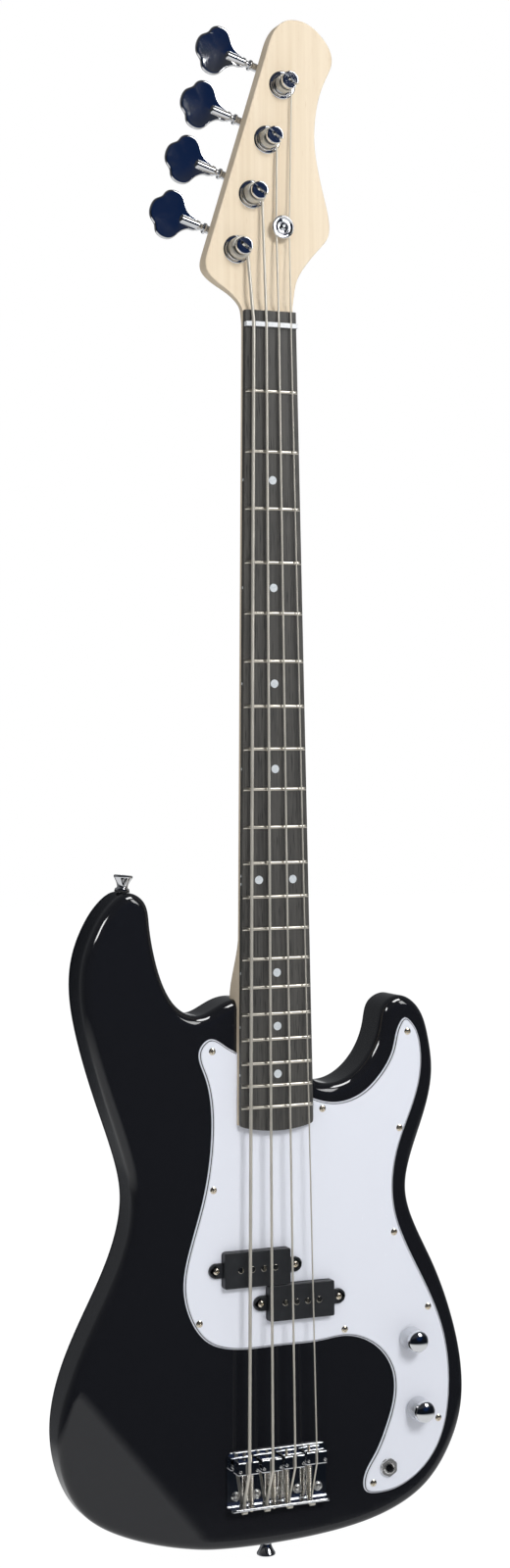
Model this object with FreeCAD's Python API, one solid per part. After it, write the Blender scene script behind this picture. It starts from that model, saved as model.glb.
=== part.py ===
import FreeCAD
import Part
import math
import os

# A four-string electric bass guitar, modelled lying on a bench and stood up on export.
# Bench frame, in millimetres: x to the treble side, y along the strings to the head, z out of the
# front. The nut is at y = 0, the centre line at x = 0 and the front of the body at z = 0.

V = FreeCAD.Vector
ORIGIN = V(0, 0, 0)
X_AXIS = V(1, 0, 0)
Y_AXIS = V(0, 1, 0)
Z_AXIS = V(0, 0, 1)
FULL_TURN = 360.0
QUARTER_TURN = 90.0

# Clearances: a running shaft, a loose hole, and how far a cutting tool runs past its work
RUN_FIT = 0.05
LOOSE_FIT = 0.3
OVERRUN = 6.0

# Strings and scale
SCALE_LENGTH = 864.0
FRET_COUNT = 20
SEMITONES = 12
STRING_NAMES = ("e", "a", "d", "g")
GAUGE_E = 2.6
GAUGE_A = 2.1
GAUGE_D = 1.65
GAUGE_G = 1.15
NUT_PITCH = 10.25
SADDLE_PITCH = 18.7
STRING_BEND = 14.0
WIRE_SIDES = 8
BALL_RADIUS = 2.2
BALL_WIDTH = 4.4

# Neck, fingerboard, frets and nut
NECK_STANDOFF = 5.0
BOARD_THICKNESS = 6.0
BOARD_CROWN = 241.0
NUT_WIDTH = 42.0
LAST_FRET_WIDTH = 60.0
BOARD_OVERHANG = 18.5
BOARD_END_BULGE = 4.0
BOARD_CORNER = 5.0
BOARD_HEAD_REACH = 12.6
NECK_DEPTH_NUT = 15.0
NECK_DEPTH_OCTAVE = 18.0
NECK_SHOULDER = 3.0
HEEL_DEPTH = 15.5
HEEL_LENGTH = 95.0
HEEL_SETBACK = 5.0
HEEL_SWEEP = 52.0
HEEL_EDGE = 0.5
FRET_WIDTH = 2.7
FRET_HEIGHT = 1.2
FRET_INSET = 0.5
TANG_WIDTH = 0.6
TANG_DEPTH = 1.8
NUT_THICKNESS = 3.5
NUT_SEAT_DEPTH = 3.0
NUT_RISE = 2.9
NUT_STRING_RISE = 0.5
DOT_RADIUS = 3.2
DOT_DEPTH = 2.0
DOT_SPREAD = 14.0
SINGLE_DOT_FRETS = (3, 5, 7, 9, 15, 17, 19)
DOUBLE_DOT_FRET = 12
SIDE_DOT_RADIUS = 1.1
SIDE_DOT_DEPTH = 1.5
SIDE_DOT_RISE = 2.2
SIDE_DOT_PITCH = 3.0
TRUSS_RADIUS = 2.4
TRUSS_DROP = 7.0
TRUSS_HEAD_GAP = 20.0
TRUSS_NUT_RADIUS = 4.6
TRUSS_NUT_LENGTH = 12.0

# Headstock
HEAD_WIDTH = 106.0
HEAD_LENGTH = 225.7
HEAD_THICKNESS = 14.0
HEAD_STEP = 11.0
HEAD_SCOOP = 16.0
HEAD_RAMP = 38.0
HEAD_EDGE = 1.2
HEAD_FLARE_SHARES = ((-0.196, 0.0), (-0.249, 0.051), (-0.321, 0.078), (-0.401, 0.105), (-0.455, 0.139))
HEAD_EDGE_START_SHARE = (-0.445, 0.192)
HEAD_EDGE_END_SHARE = (-0.022, 0.811)
HEAD_TIP_SHARES = (
    (0.030, 0.888), (0.080, 0.950), (0.160, 0.990), (0.255, 1.000), (0.362, 0.988), (0.462, 0.952),
    (0.525, 0.911), (0.541, 0.870), (0.502, 0.820), (0.442, 0.753), (0.406, 0.671), (0.398, 0.591),
    (0.420, 0.510), (0.472, 0.405), (0.506, 0.334), (0.500, 0.274), (0.423, 0.227), (0.321, 0.171),
    (0.245, 0.110), (0.215, 0.042), (0.196, 0.0))

# Tuning machines, each square to the line that the posts stand on
TUNER_FIRST_SHARE = (-0.2217, 0.2074)
TUNER_PITCH = 44.5
TUNER_LINE_ANGLE = 16.8
POST_RADIUS = 4.8
POST_WAIST = 4.1
POST_CAP = 5.6
POST_COLLAR = 1.0
POST_HEIGHT = 17.5
POST_CAP_HEIGHT = 3.2
POST_SLOT_WIDTH = 2.9
POST_SLOT_DEPTH = 6.5
BUSH_FLANGE_RADIUS = 9.4
BUSH_FLANGE = 1.6
BUSH_RADIUS = 6.6
BUSH_LENGTH = 10.0
PLATE_HALF_WIDTH = 16.0
PLATE_BELOW = 13.0
PLATE_ABOVE = 23.0
PLATE_THICKNESS = 1.6
PLATE_CORNER = 4.0
PLATE_SCREW_INSET = 3.6
TUNER_SCREW_RADIUS = 1.4
TUNER_SCREW_HEAD = 2.4
TUNER_SCREW_HEAD_HEIGHT = 1.4
TUNER_SCREW_LENGTH = 9.0
WHEEL_TEETH = 20
WHEEL_RADIUS = 9.1
WHEEL_TOOTH = 1.3
WHEEL_ROOT_SHARE = 0.22
WHEEL_TIP_SHARE = 0.08
WHEEL_THICKNESS = 4.4
WHEEL_HUB = 6.0
WHEEL_HUB_HEIGHT = 1.5
WHEEL_SCREW_RADIUS = 3.6
WHEEL_SCREW_HEIGHT = 1.6
WORM_RADIUS = 3.6
WORM_ROOT = 2.4
WORM_LENGTH = 11.6
WORM_PITCH = 2.6
WORM_TURNS = 3
WORM_ROOT_SHARE = 0.24
WORM_TIP_SHARE = 0.08
WORM_PHASE_SHARE = 0.5
WORM_MESH = 0.45
EAR_THICKNESS = 1.6
EAR_HALF_WIDTH = 4.2
KEY_JOURNAL = 2.2
KEY_SHANK = 3.0
KEY_COLLAR = 4.4
KEY_COLLAR_LENGTH = 3.0
KEY_REACH = 44.0
LEAF_LENGTH = 25.0
LEAF_WIDTH = 38.6
LEAF_THICKNESS = 3.4
LEAF_EDGE = 1.1
LEAF_LOBE_SHARE = 0.37
WINDING_GAP = 0.5
WINDING_TURNS_E = 2.5
WINDING_TURNS_A = 3.0
WINDING_TURNS_D = 3.5
WINDING_TURNS_G = 4.0

# String tree that holds the two thin strings down
TREE_Y_SHARE = 0.288
TREE_RADIUS = 7.2
TREE_STEM = 3.2
TREE_LIFT = 6.5
TREE_THICKNESS = 1.8
TREE_SCREW_RADIUS = 1.3
TREE_SCREW_HEAD = 2.6
TREE_SCREW_HEAD_HEIGHT = 1.2
TREE_SCREW_LENGTH = 8.0

# Body: outline points are shares of its width from the centre line and of its length from the tail
BODY_WIDTH = 332.6
BODY_LENGTH = 504.0
BODY_THICKNESS = 42.0
BODY_EDGE = 8.0
EDGE_WIDTH_SHARE = 0.0245
EDGE_LENGTH_SHARE = 0.0162
TAIL_DROP = 67.0
BODY_SHARES = (
    (0.000, 0.000), (0.165, 0.007), (0.304, 0.028), (0.388, 0.059), (0.454, 0.115), (0.486, 0.175),
    (0.489, 0.236), (0.465, 0.318), (0.415, 0.407), (0.368, 0.471), (0.345, 0.526), (0.359, 0.578),
    (0.394, 0.641), (0.416, 0.706), (0.407, 0.764), (0.377, 0.812), (0.331, 0.828), (0.292, 0.815),
    (0.278, 0.784), (0.255, 0.744), (0.204, 0.709), (0.150, 0.698), (0.110, 0.706), (0.095, 0.736),
    (0.090, 0.802), (0.072, 0.829), (0.000, 0.833), (-0.096, 0.833), (-0.138, 0.821), (-0.174, 0.812),
    (-0.216, 0.821), (-0.253, 0.852), (-0.278, 0.901), (-0.291, 0.953), (-0.304, 0.987), (-0.340, 1.000),
    (-0.382, 0.985), (-0.422, 0.948), (-0.448, 0.903), (-0.455, 0.855), (-0.440, 0.786), (-0.400, 0.692),
    (-0.356, 0.601), (-0.340, 0.546), (-0.362, 0.460), (-0.431, 0.363), (-0.493, 0.269), (-0.511, 0.204),
    (-0.498, 0.135), (-0.445, 0.071), (-0.346, 0.031), (-0.198, 0.006))
TREBLE_WALL_SHARE = (0.110, 0.706)
ARM_FOLD_START_SHARE = (-0.470, 0.281)
ARM_FOLD_END_SHARE = (-0.169, 0.025)
ARM_SLOPE = 14.0
ARM_BLEND = 50.0
BELLY_EDGE_SHARE = (-0.345, 0.560)
BELLY_DEPTH = 19.0
BELLY_SLOPE = 13.0
BELLY_RADIUS = 190.0
BELLY_REACH = 200.0

# Pickguard, its screws and the cavities under it
GUARD_THICKNESS = 2.4
GUARD_BEVEL = 1.5
GUARD_GAP = 0.3
GUARD_SHARES = (
    (-0.087, 0.754), (-0.115, 0.765), (-0.154, 0.777), (-0.179, 0.762), (-0.169, 0.725), (-0.152, 0.667),
    (-0.155, 0.607), (-0.176, 0.531), (-0.210, 0.457), (-0.223, 0.409), (-0.208, 0.359), (-0.164, 0.320),
    (-0.102, 0.306), (0.014, 0.305), (0.120, 0.306), (0.176, 0.309), (0.225, 0.301), (0.271, 0.279),
    (0.299, 0.246), (0.301, 0.205), (0.282, 0.163), (0.250, 0.119), (0.222, 0.083), (0.225, 0.067),
    (0.263, 0.060), (0.316, 0.066), (0.387, 0.097), (0.430, 0.145), (0.446, 0.206), (0.444, 0.260),
    (0.424, 0.320), (0.385, 0.380), (0.335, 0.446), (0.309, 0.494), (0.304, 0.548), (0.320, 0.598),
    (0.353, 0.652), (0.377, 0.705), (0.377, 0.753), (0.355, 0.787), (0.338, 0.794), (0.324, 0.785),
    (0.307, 0.748), (0.269, 0.706), (0.218, 0.679), (0.154, 0.670), (0.099, 0.679), (0.000, 0.716))
GUARD_SCREW_SHARES = (
    (-0.151, 0.759), (0.122, 0.662), (-0.151, 0.550), (-0.188, 0.351), (0.342, 0.773), (0.319, 0.624),
    (0.303, 0.463), (0.390, 0.342), (0.415, 0.166), (0.244, 0.077), (0.174, 0.320))
GUARD_SCREW_RADIUS = 1.4
GUARD_SCREW_HEAD = 2.7
GUARD_SCREW_HEAD_HEIGHT = 1.0
GUARD_SCREW_LENGTH = 12.0
VOLUME_SHARE = (0.342, 0.296)
TONE_SHARE = (0.358, 0.186)
JACK_SHARE = (0.283, 0.099)
CAVITY_DEPTH = 32.0
CAVITY_RADIUS = 15.0
JACK_CAVITY_RADIUS = 12.5

# Split pickup: each half stands under two strings
PICKUP_LENGTH = 54.2
PICKUP_WIDTH = 27.4
PICKUP_TOP = 9.0
PICKUP_SKIRT = 8.0
PICKUP_WALL = 1.6
PICKUP_CORNER = 1.5
PICKUP_BASS_X = -16.8
PICKUP_TREBLE_X = 19.5
PICKUP_BASS_FROM_BRIDGE = 149.0
PICKUP_TREBLE_FROM_BRIDGE = 121.1
EAR_RADIUS = 5.7
EAR_SPAN = 64.8
EAR_HEIGHT = 2.4
PICKUP_SCREW_RADIUS = 1.4
PICKUP_SCREW_HEAD = 2.6
PICKUP_SCREW_HEAD_HEIGHT = 1.4
PICKUP_SCREW_LENGTH = 22.0
POLE_RADIUS = 2.4
POLE_PITCH = 9.4
POLE_COUNT = 4
POLE_PROUD = 0.6
COIL_WIDTH = 13.0
COIL_MARGIN = 5.0
COIL_DROP = 1.0
PICKUP_POCKET_DEPTH = 22.0
FOAM_LENGTH = 44.0
FOAM_WIDTH = 20.0

# Knobs, pots and jack
KNOB_RADIUS = 9.5
KNOB_TOP_RADIUS = 8.6
KNOB_LIFT = 0.9
KNOB_HEIGHT = 15.5
KNOB_DOME = 2.6
KNOB_HOLLOW = 7.9
KNOB_HOLLOW_HEIGHT = 6.0
KNOB_CAP = 4.0
POT_RADIUS = 12.0
POT_HEIGHT = 10.0
POT_BUSH_RADIUS = 4.7
POT_BUSH_HEIGHT = 5.6
POT_FLOOR = 2.0
SHAFT_RADIUS = 3.0
NUT_FLATS = 12.7
PANEL_NUT_HEIGHT = 2.0
PANEL_WASHER = 0.5
PANEL_WASHER_RADIUS = 7.6
JACK_BORE = 3.25
JACK_BUSH_RADIUS = 4.7
JACK_BUSH_HEIGHT = 5.0
JACK_FRAME_RADIUS = 8.5
JACK_FRAME = 2.4
JACK_LEAF_WIDTH = 5.0
JACK_LEAF_THICKNESS = 0.8
JACK_LEAF_LENGTH = 20.0
CAP_LENGTH = 14.0
CAP_WIDTH = 10.0
CAP_HEIGHT = 4.0

# Bridge: bent plate, saddles that slide on their screws, and springs behind them
BRIDGE_WIDTH = 82.0
BRIDGE_FRONT = 9.0
BRIDGE_BACK = 34.0
BRIDGE_THICKNESS = 2.0
BRIDGE_UPSTAND = 12.5
BRIDGE_CORNER = 4.0
BRIDGE_SCREW_COUNT = 5
BRIDGE_SCREW_PITCH = 17.0
BRIDGE_SCREW_INSET = 7.5
BRIDGE_SCREW_RADIUS = 1.9
BRIDGE_SCREW_HEAD = 3.6
BRIDGE_SCREW_HEAD_HEIGHT = 2.0
BRIDGE_SCREW_LENGTH = 24.0
SADDLE_WIDTH = 17.2
SADDLE_LENGTH = 10.0
SADDLE_LEAD = 6.0
SADDLE_STAGGER = 0.6
SADDLE_TOP = 16.4
SADDLE_FLOAT = 2.6
SADDLE_EDGE = 1.6
SADDLE_GROOVE = 0.8
HEIGHT_SCREW_RADIUS = 1.2
HEIGHT_SCREW_INSET = 1.7
HEIGHT_SCREW_SINK = 0.8
INTONATION_RADIUS = 1.25
INTONATION_OFFSET = 4.0
INTONATION_RISE = 8.5
INTONATION_HEAD = 2.1
INTONATION_HEAD_HEIGHT = 1.8
INTONATION_TIP = 4.0
SPRING_WIRE = 0.7
SPRING_RADIUS = 1.98
SPRING_TURNS = 10
STRING_HOLE_RISE = 4.5

# Neck plate, wood screws, strap buttons
NECK_PLATE_WIDTH = 51.0
NECK_PLATE_LENGTH = 64.0
NECK_PLATE_THICKNESS = 1.6
NECK_PLATE_CORNER = 4.0
NECK_PLATE_FROM_END = 14.0
NECK_SCREW_INSET = 6.5
NECK_SCREW_RADIUS = 2.4
NECK_SCREW_HEAD = 4.4
NECK_SCREW_HEAD_HEIGHT = 1.8
NECK_SCREW_LENGTH = 42.0
HORN_BUTTON_SHARE = (-0.340, 1.000)
TAIL_BUTTON_SHARE = (0.000, 0.000)
HORN_BUTTON_LEAN = 6.0
BUTTON_HEAD = 7.2
BUTTON_WAIST = 4.0
BUTTON_FOOT = 5.6
BUTTON_HEIGHT = 11.5
BUTTON_RIM = 1.4
BUTTON_FOOT_HEIGHT = 2.0
BUTTON_BORE = 2.3
BUTTON_SINK = 1.6
BUTTON_SCREW_HEAD = 3.8
BUTTON_SCREW_LENGTH = 34.0
FELT_RADIUS = 7.6
FELT_THICKNESS = 1.5

# Heights and places that follow from the sizes above
BOARD_TOP = NECK_STANDOFF + BOARD_THICKNESS
CROWN_AXIS = BOARD_TOP - BOARD_CROWN
HEAD_FACE = BOARD_TOP - HEAD_STEP
HEAD_BACK = HEAD_FACE - HEAD_THICKNESS
BODY_BACK = -BODY_THICKNESS
TAIL_Y = -(SCALE_LENGTH + TAIL_DROP)
UPSTAND_BACK = -(SCALE_LENGTH + BRIDGE_BACK)
UPSTAND_FRONT = UPSTAND_BACK + BRIDGE_THICKNESS
GAUGES = (GAUGE_E, GAUGE_A, GAUGE_D, GAUGE_G)
WINDING_TURNS = (WINDING_TURNS_E, WINDING_TURNS_A, WINDING_TURNS_D, WINDING_TURNS_G)
WORM_OFFSET = WHEEL_RADIUS + WORM_RADIUS - WORM_MESH
WHEEL_TOP = HEAD_BACK - PLATE_THICKNESS - WHEEL_HUB_HEIGHT
KEY_AXIS_Z = WHEEL_TOP - WHEEL_THICKNESS / 2


def last_fret_y():
    """Place of the last fret from the nut."""
    return fret_y(FRET_COUNT)


def fret_y(number):
    """Place of a fret, each a semitone further down the scale."""
    return -SCALE_LENGTH * (1 - 2 ** (-number / SEMITONES))


def board_half(y):
    """Half of the fingerboard's width, which tapers evenly from the last fret to the nut."""
    return (NUT_WIDTH + (LAST_FRET_WIDTH - NUT_WIDTH) * y / last_fret_y()) / 2


def crown_drop(x):
    """How far the crowned fingerboard falls away at a distance from the centre line."""
    return BOARD_CROWN - math.sqrt(BOARD_CROWN ** 2 - x ** 2)


def body_point(share):
    """Point of the body's plan from its shares."""
    return V(share[0] * BODY_WIDTH, TAIL_Y + share[1] * BODY_LENGTH, 0)


def head_point(share):
    """Point of the headstock's plan from its shares."""
    return V(share[0] * HEAD_WIDTH, BOARD_HEAD_REACH + share[1] * HEAD_LENGTH, 0)


def spaced(count, pitch):
    """Offsets of a row of things about its own middle."""
    return [(index - (count - 1) / 2) * pitch for index in range(count)]


def prism(wire, low, high):
    """Solid of a flat outline between two heights."""
    face = Part.Face(wire)
    face.translate(V(0, 0, low))
    return face.extrude(V(0, 0, high - low))


def side_prism(edges, half_width):
    """Solid of an outline in the y and z plane, carried across x."""
    face = Part.Face(Part.Wire(edges))
    face.translate(V(-half_width, 0, 0))
    return face.extrude(V(2 * half_width, 0, 0))


def line(start, end):
    """Straight edge."""
    return Part.LineSegment(start, end).toShape()


def arc(start, middle, end):
    """Arc edge through three points."""
    return Part.Arc(start, middle, end).toShape()


def post(radius, low, high, x, y):
    """Upright round bar."""
    return Part.makeCylinder(radius, high - low, V(x, y, low))


def block(x0, x1, y0, y1, z0, z1):
    """Straight block between two corners."""
    return Part.makeBox(x1 - x0, y1 - y0, z1 - z0, V(x0, y0, z0))


def rounded_block(x0, x1, y0, y1, z0, z1, radius):
    """Block with its four upright edges rounded."""
    solid = block(x0, x1, y0, y1, z0, z1)
    upright = [e for e in solid.Edges if abs(e.tangentAt(e.FirstParameter).z) > abs(math.cos(math.pi / 4))]
    return solid.makeFillet(radius, upright)


def turned(profile):
    """Solid of revolution about the z axis, from radius and height pairs."""
    points = [V(radius, 0, height) for radius, height in profile]
    return Part.Face(Part.makePolygon(points + points[:1])).revolve(ORIGIN, Z_AXIS, FULL_TURN)


def screw(radius, head, head_height, length):
    """Screw along z: domed head above z = 0, shank below it."""
    dome = (head ** 2 + head_height ** 2) / (2 * head_height)
    ball = Part.makeSphere(dome, V(0, 0, head_height - dome))
    cap = ball.common(post(head, 0, head_height, 0, 0))
    return cap.fuse(post(radius, -length, 0, 0, 0))


def placed(solid, x, y, z=0):
    """Copy of a solid moved to a place."""
    moved = solid.copy()
    moved.translate(V(x, y, z))
    return moved


def cut_all(solid, tools):
    """Solid less several tools at once."""
    return solid.cut(Part.makeCompound(tools)) if tools else solid


def closed_curve(points):
    """Smooth closed outline through points."""
    curve = Part.BSplineCurve()
    curve.interpolate(Points=points, PeriodicFlag=True)
    return Part.Wire([curve.toShape()])


def flat_edges(solid, height):
    """Edges of a solid that lie all along one height."""
    found = []
    for edge in solid.Edges:
        box = edge.BoundBox
        if abs(box.ZMin - height) < RUN_FIT and abs(box.ZMax - height) < RUN_FIT:
            found.append(edge)
    return found


def biarc(start, start_way, end, end_way):
    """Two tangent arcs from one point and direction to another."""
    chord = end - start
    ways = start_way + end_way
    spread = 2 * (1 - start_way.dot(end_way))
    along = chord.dot(ways)
    reach = (math.sqrt(along ** 2 + spread * chord.dot(chord)) - along) / spread
    first_corner = start + start_way * reach
    last_corner = end - end_way * reach
    joint = (first_corner + last_corner) * 0.5
    return [corner_arc(start, first_corner, joint), corner_arc(joint, last_corner, end)]


def corner_arc(start, corner, end):
    """Arc that leaves and arrives along the two equal sides of a corner."""
    middle = (start + end) * 0.5
    half_chord = (end - start).Length / 2
    rise = corner - middle
    lean = math.atan2(rise.Length, half_chord)
    return arc(start, middle + rise.normalize() * (half_chord * math.tan(lean / 2)), end)


class Helix:
    """Steady helix about an axis, which gives its points and directions by angle in radians."""

    def __init__(self, centre, across, up, radius, pitch):
        self.centre = centre
        self.across = across
        self.up = up
        self.side = up.cross(across)
        self.radius = radius
        self.pitch = pitch

    def point(self, angle):
        ring = self.across * math.cos(angle) + self.side * math.sin(angle)
        return self.centre + ring * self.radius + self.up * (self.pitch * angle / math.tau)

    def way(self, angle):
        ring = self.side * math.cos(angle) - self.across * math.sin(angle)
        return (ring * self.radius + self.up * (self.pitch / math.tau)).normalize()

    def edges(self, start, end):
        steps = max(1, round((end - start) / (math.pi / 2)))
        angles = [start + (end - start) * step / steps for step in range(steps + 1)]
        found = []
        for low, high in zip(angles, angles[1:]):
            found += biarc(self.point(low), self.way(low), self.point(high), self.way(high))
        return found


def tube(edges, radius):
    """Wire carried along a path of tangent edges, with a few flat sides in place of a round one."""
    first = edges[0]
    start = first.Vertexes[0].Point
    way = first.tangentAt(first.FirstParameter)
    across = way.cross(X_AXIS if abs(way.x) < abs(way.y) else Y_AXIS).normalize()
    side = way.cross(across)
    angles = [math.tau * step / WIRE_SIDES for step in range(WIRE_SIDES)]
    corners = [start + across * (radius * math.cos(a)) + side * (radius * math.sin(a)) for a in angles]
    return Part.Wire(edges).makePipeShell([Part.makePolygon(corners + corners[:1])], True, False)


def least_gap(helix, start, end, radius):
    """Least gap between one turn of a wire and the next, measured on points."""
    per_turn = 24
    count = round((end - start) / math.tau * per_turn)
    points = [helix.point(start + step * math.tau / per_turn) for step in range(count)]
    gaps = [(points[i] - points[j]).Length for i in range(count) for j in range(i + per_turn // 2, count)]
    return min(gaps) - 2 * radius


def string_x(index, pitch):
    """Place of a string across the neck, the thickest first on the bass side."""
    return spaced(len(STRING_NAMES), pitch)[index]


# Body


def slope_cutter(start, end, slope, blend):
    """Tool that slants the front away beyond a fold line, blended in by an arc."""
    way = (end - start).normalize()
    out = V(way.y, -way.x, 0)
    turn = math.radians(slope)
    half = math.radians(slope / 2)
    reach = BODY_WIDTH / 2
    bend = V(blend * math.sin(turn), 0, -blend * (1 - math.cos(turn)))
    mid = V(blend * math.sin(half), 0, -blend * (1 - math.cos(half)))
    far = V(reach, 0, bend.z - (reach - bend.x) * math.tan(turn))
    above = V(reach, 0, OVERRUN)
    back = V(0, 0, OVERRUN)
    edges = [arc(ORIGIN, mid, bend), line(bend, far), line(far, above), line(above, back), line(back, ORIGIN)]
    tool = Part.Face(Part.Wire(edges)).extrude(V(0, BODY_LENGTH, 0))
    tool.translate(V(0, -BODY_LENGTH / 2, 0))
    tool.rotate(ORIGIN, Z_AXIS, math.degrees(math.atan2(out.y, out.x)))
    tool.translate((start + end) * 0.5)
    return tool


def belly_cutter():
    """Round tool that hollows the back of the waist where it rests on the player."""
    edge = body_point(BELLY_EDGE_SHARE)
    slope = math.radians(BELLY_SLOPE)
    way = V(math.cos(slope), 0, -math.sin(slope))
    depth = V(edge.x, edge.y, BODY_BACK + BELLY_DEPTH)
    below = V(-math.sin(slope), 0, -math.cos(slope)) * BELLY_RADIUS
    start = depth + below - way * (BELLY_REACH / 2)
    return Part.makeCylinder(BELLY_RADIUS, BELLY_REACH * 2, start, way)


def channel(start, end, radius, depth):
    """Straight round-ended hollow between two places on the front."""
    way = (end - start).normalize()
    side = V(-way.y, way.x, 0) * radius
    corners = [start + side, end + side, end - side, start - side]
    slot = prism(Part.makePolygon(corners + corners[:1]), -depth, OVERRUN)
    ends = [post(radius, -depth, OVERRUN, p.x, p.y) for p in (start, end)]
    return slot.fuse(ends)


def pickup_places():
    """Middle of each half of the pickup, measured from the end of the scale at the bridge."""
    return [(PICKUP_BASS_X, PICKUP_BASS_FROM_BRIDGE - SCALE_LENGTH),
            (PICKUP_TREBLE_X, PICKUP_TREBLE_FROM_BRIDGE - SCALE_LENGTH)]


def heel_end_y():
    """Lower end of the neck's heel, set back under the end of the fingerboard."""
    return last_fret_y() - BOARD_OVERHANG + HEEL_SETBACK


def neck_plan(end_y, top_y, gap):
    """Plan of the neck between two places, with a gap all round."""
    low = board_half(end_y) + gap
    high = board_half(top_y) + gap
    corners = [V(-low, end_y - gap, 0), V(low, end_y - gap, 0), V(high, top_y, 0), V(-high, top_y, 0)]
    return Part.makePolygon(corners + corners[:1])


def neck_screw_places():
    """The four screws at the corners of the neck plate."""
    middle = heel_end_y() + NECK_PLATE_FROM_END + NECK_PLATE_LENGTH / 2
    half_x = NECK_PLATE_WIDTH / 2 - NECK_SCREW_INSET
    half_y = NECK_PLATE_LENGTH / 2 - NECK_SCREW_INSET
    return [(sx * half_x, middle + sy * half_y) for sx in (-1, 1) for sy in (-1, 1)]


def bridge_screw_places():
    """The row of screws just in front of the bridge's upstand."""
    y = UPSTAND_FRONT + BRIDGE_SCREW_INSET
    return [(x, y) for x in spaced(BRIDGE_SCREW_COUNT, BRIDGE_SCREW_PITCH)]


def pickup_screw_places():
    """The screws in the ears of the pickup covers."""
    return [(x + side * EAR_SPAN / 2, y) for x, y in pickup_places() for side in (-1, 1)]


def guard_screw_places():
    """The screws round the edge of the pickguard."""
    return [(body_point(share).x, body_point(share).y) for share in GUARD_SCREW_SHARES]


def make_body():
    """Slab with rounded edges, slanted arm rest, hollowed back, neck pocket and cavities."""
    slab = prism(closed_curve([body_point(share) for share in BODY_SHARES]), BODY_BACK, 0)
    rims = flat_edges(slab, 0) + flat_edges(slab, BODY_BACK)
    edge = min(BODY_EDGE, BODY_WIDTH * EDGE_WIDTH_SHARE, BODY_LENGTH * EDGE_LENGTH_SHARE)
    slab = slab.makeFillet(edge, rims)
    arm = slope_cutter(body_point(ARM_FOLD_START_SHARE), body_point(ARM_FOLD_END_SHARE), ARM_SLOPE, ARM_BLEND)
    slab = slab.cut(arm).cut(belly_cutter())
    top_y = max(heel_end_y() + HEEL_LENGTH, TAIL_Y + BODY_LENGTH) + OVERRUN
    pocket = prism(neck_plan(heel_end_y(), top_y, 0), -HEEL_DEPTH, OVERRUN)
    treble_wall = block(0, NUT_WIDTH, body_point(TREBLE_WALL_SHARE).y, top_y, -HEEL_DEPTH, OVERRUN)
    volume, tone, jack = [body_point(share) for share in (VOLUME_SHARE, TONE_SHARE, JACK_SHARE)]
    tools = [pocket, treble_wall]
    tools.append(channel(volume, tone, CAVITY_RADIUS, CAVITY_DEPTH))
    tools.append(channel(tone, jack, JACK_CAVITY_RADIUS, CAVITY_DEPTH))
    for x, y in pickup_places():
        half_x = PICKUP_LENGTH / 2 + LOOSE_FIT
        half_y = PICKUP_WIDTH / 2 + LOOSE_FIT
        tools.append(block(x - half_x, x + half_x, y - half_y, y + half_y, -PICKUP_POCKET_DEPTH, OVERRUN))
    tools += [post(NECK_SCREW_RADIUS, BODY_BACK - OVERRUN, 0, x, y) for x, y in neck_screw_places()]
    tools += [post(BRIDGE_SCREW_RADIUS, BRIDGE_THICKNESS - BRIDGE_SCREW_LENGTH, OVERRUN, x, y)
              for x, y in bridge_screw_places()]
    ear_top = GUARD_THICKNESS + EAR_HEIGHT
    tools += [post(PICKUP_SCREW_RADIUS, ear_top - PICKUP_SCREW_LENGTH, OVERRUN, x, y)
              for x, y in pickup_screw_places()]
    tools += [post(GUARD_SCREW_RADIUS, GUARD_THICKNESS - GUARD_SCREW_LENGTH, OVERRUN, x, y)
              for x, y in guard_screw_places()]
    tools += [stand_button(strap_screw(), place, lean) for place, lean in button_places()]
    for tool in tools:
        slab = slab.cut(tool)
    return slab


# Neck, fingerboard, frets and nut


def neck_section(y, depth, shoulder):
    """Cross-section of the neck: flat under the board, short sides and a round back."""
    half = board_half(y)
    low = NECK_STANDOFF - shoulder
    corners = [V(-half, y, NECK_STANDOFF), V(half, y, NECK_STANDOFF), V(half, y, low), V(-half, y, low)]
    back = arc(corners[2], V(0, y, NECK_STANDOFF - depth), corners[3])
    sides = [line(corners[0], corners[1]), line(corners[1], corners[2])]
    return Part.Wire(sides + [back, line(corners[3], corners[0])])


def head_cutter(level, top, run, clear):
    """Tool that clears the head on one side, from an arc that comes in flat on the given level."""
    rise = top - level
    radius = (run ** 2 + rise ** 2) / (2 * rise)
    half = math.asin(run / radius) / 2
    far_y = BOARD_HEAD_REACH + HEAD_LENGTH + OVERRUN
    first = V(0, BOARD_HEAD_REACH, top)
    flat = V(0, BOARD_HEAD_REACH + run, level)
    middle = V(0, flat.y - radius * math.sin(half), level + radius * (1 - math.cos(half)))
    far = V(0, far_y, level)
    far_out = V(0, far_y, clear)
    near_out = V(0, BOARD_HEAD_REACH, clear)
    edges = [arc(first, middle, flat), line(flat, far), line(far, far_out), line(far_out, near_out)]
    return side_prism(edges + [line(near_out, first)], HEAD_WIDTH)


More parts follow.
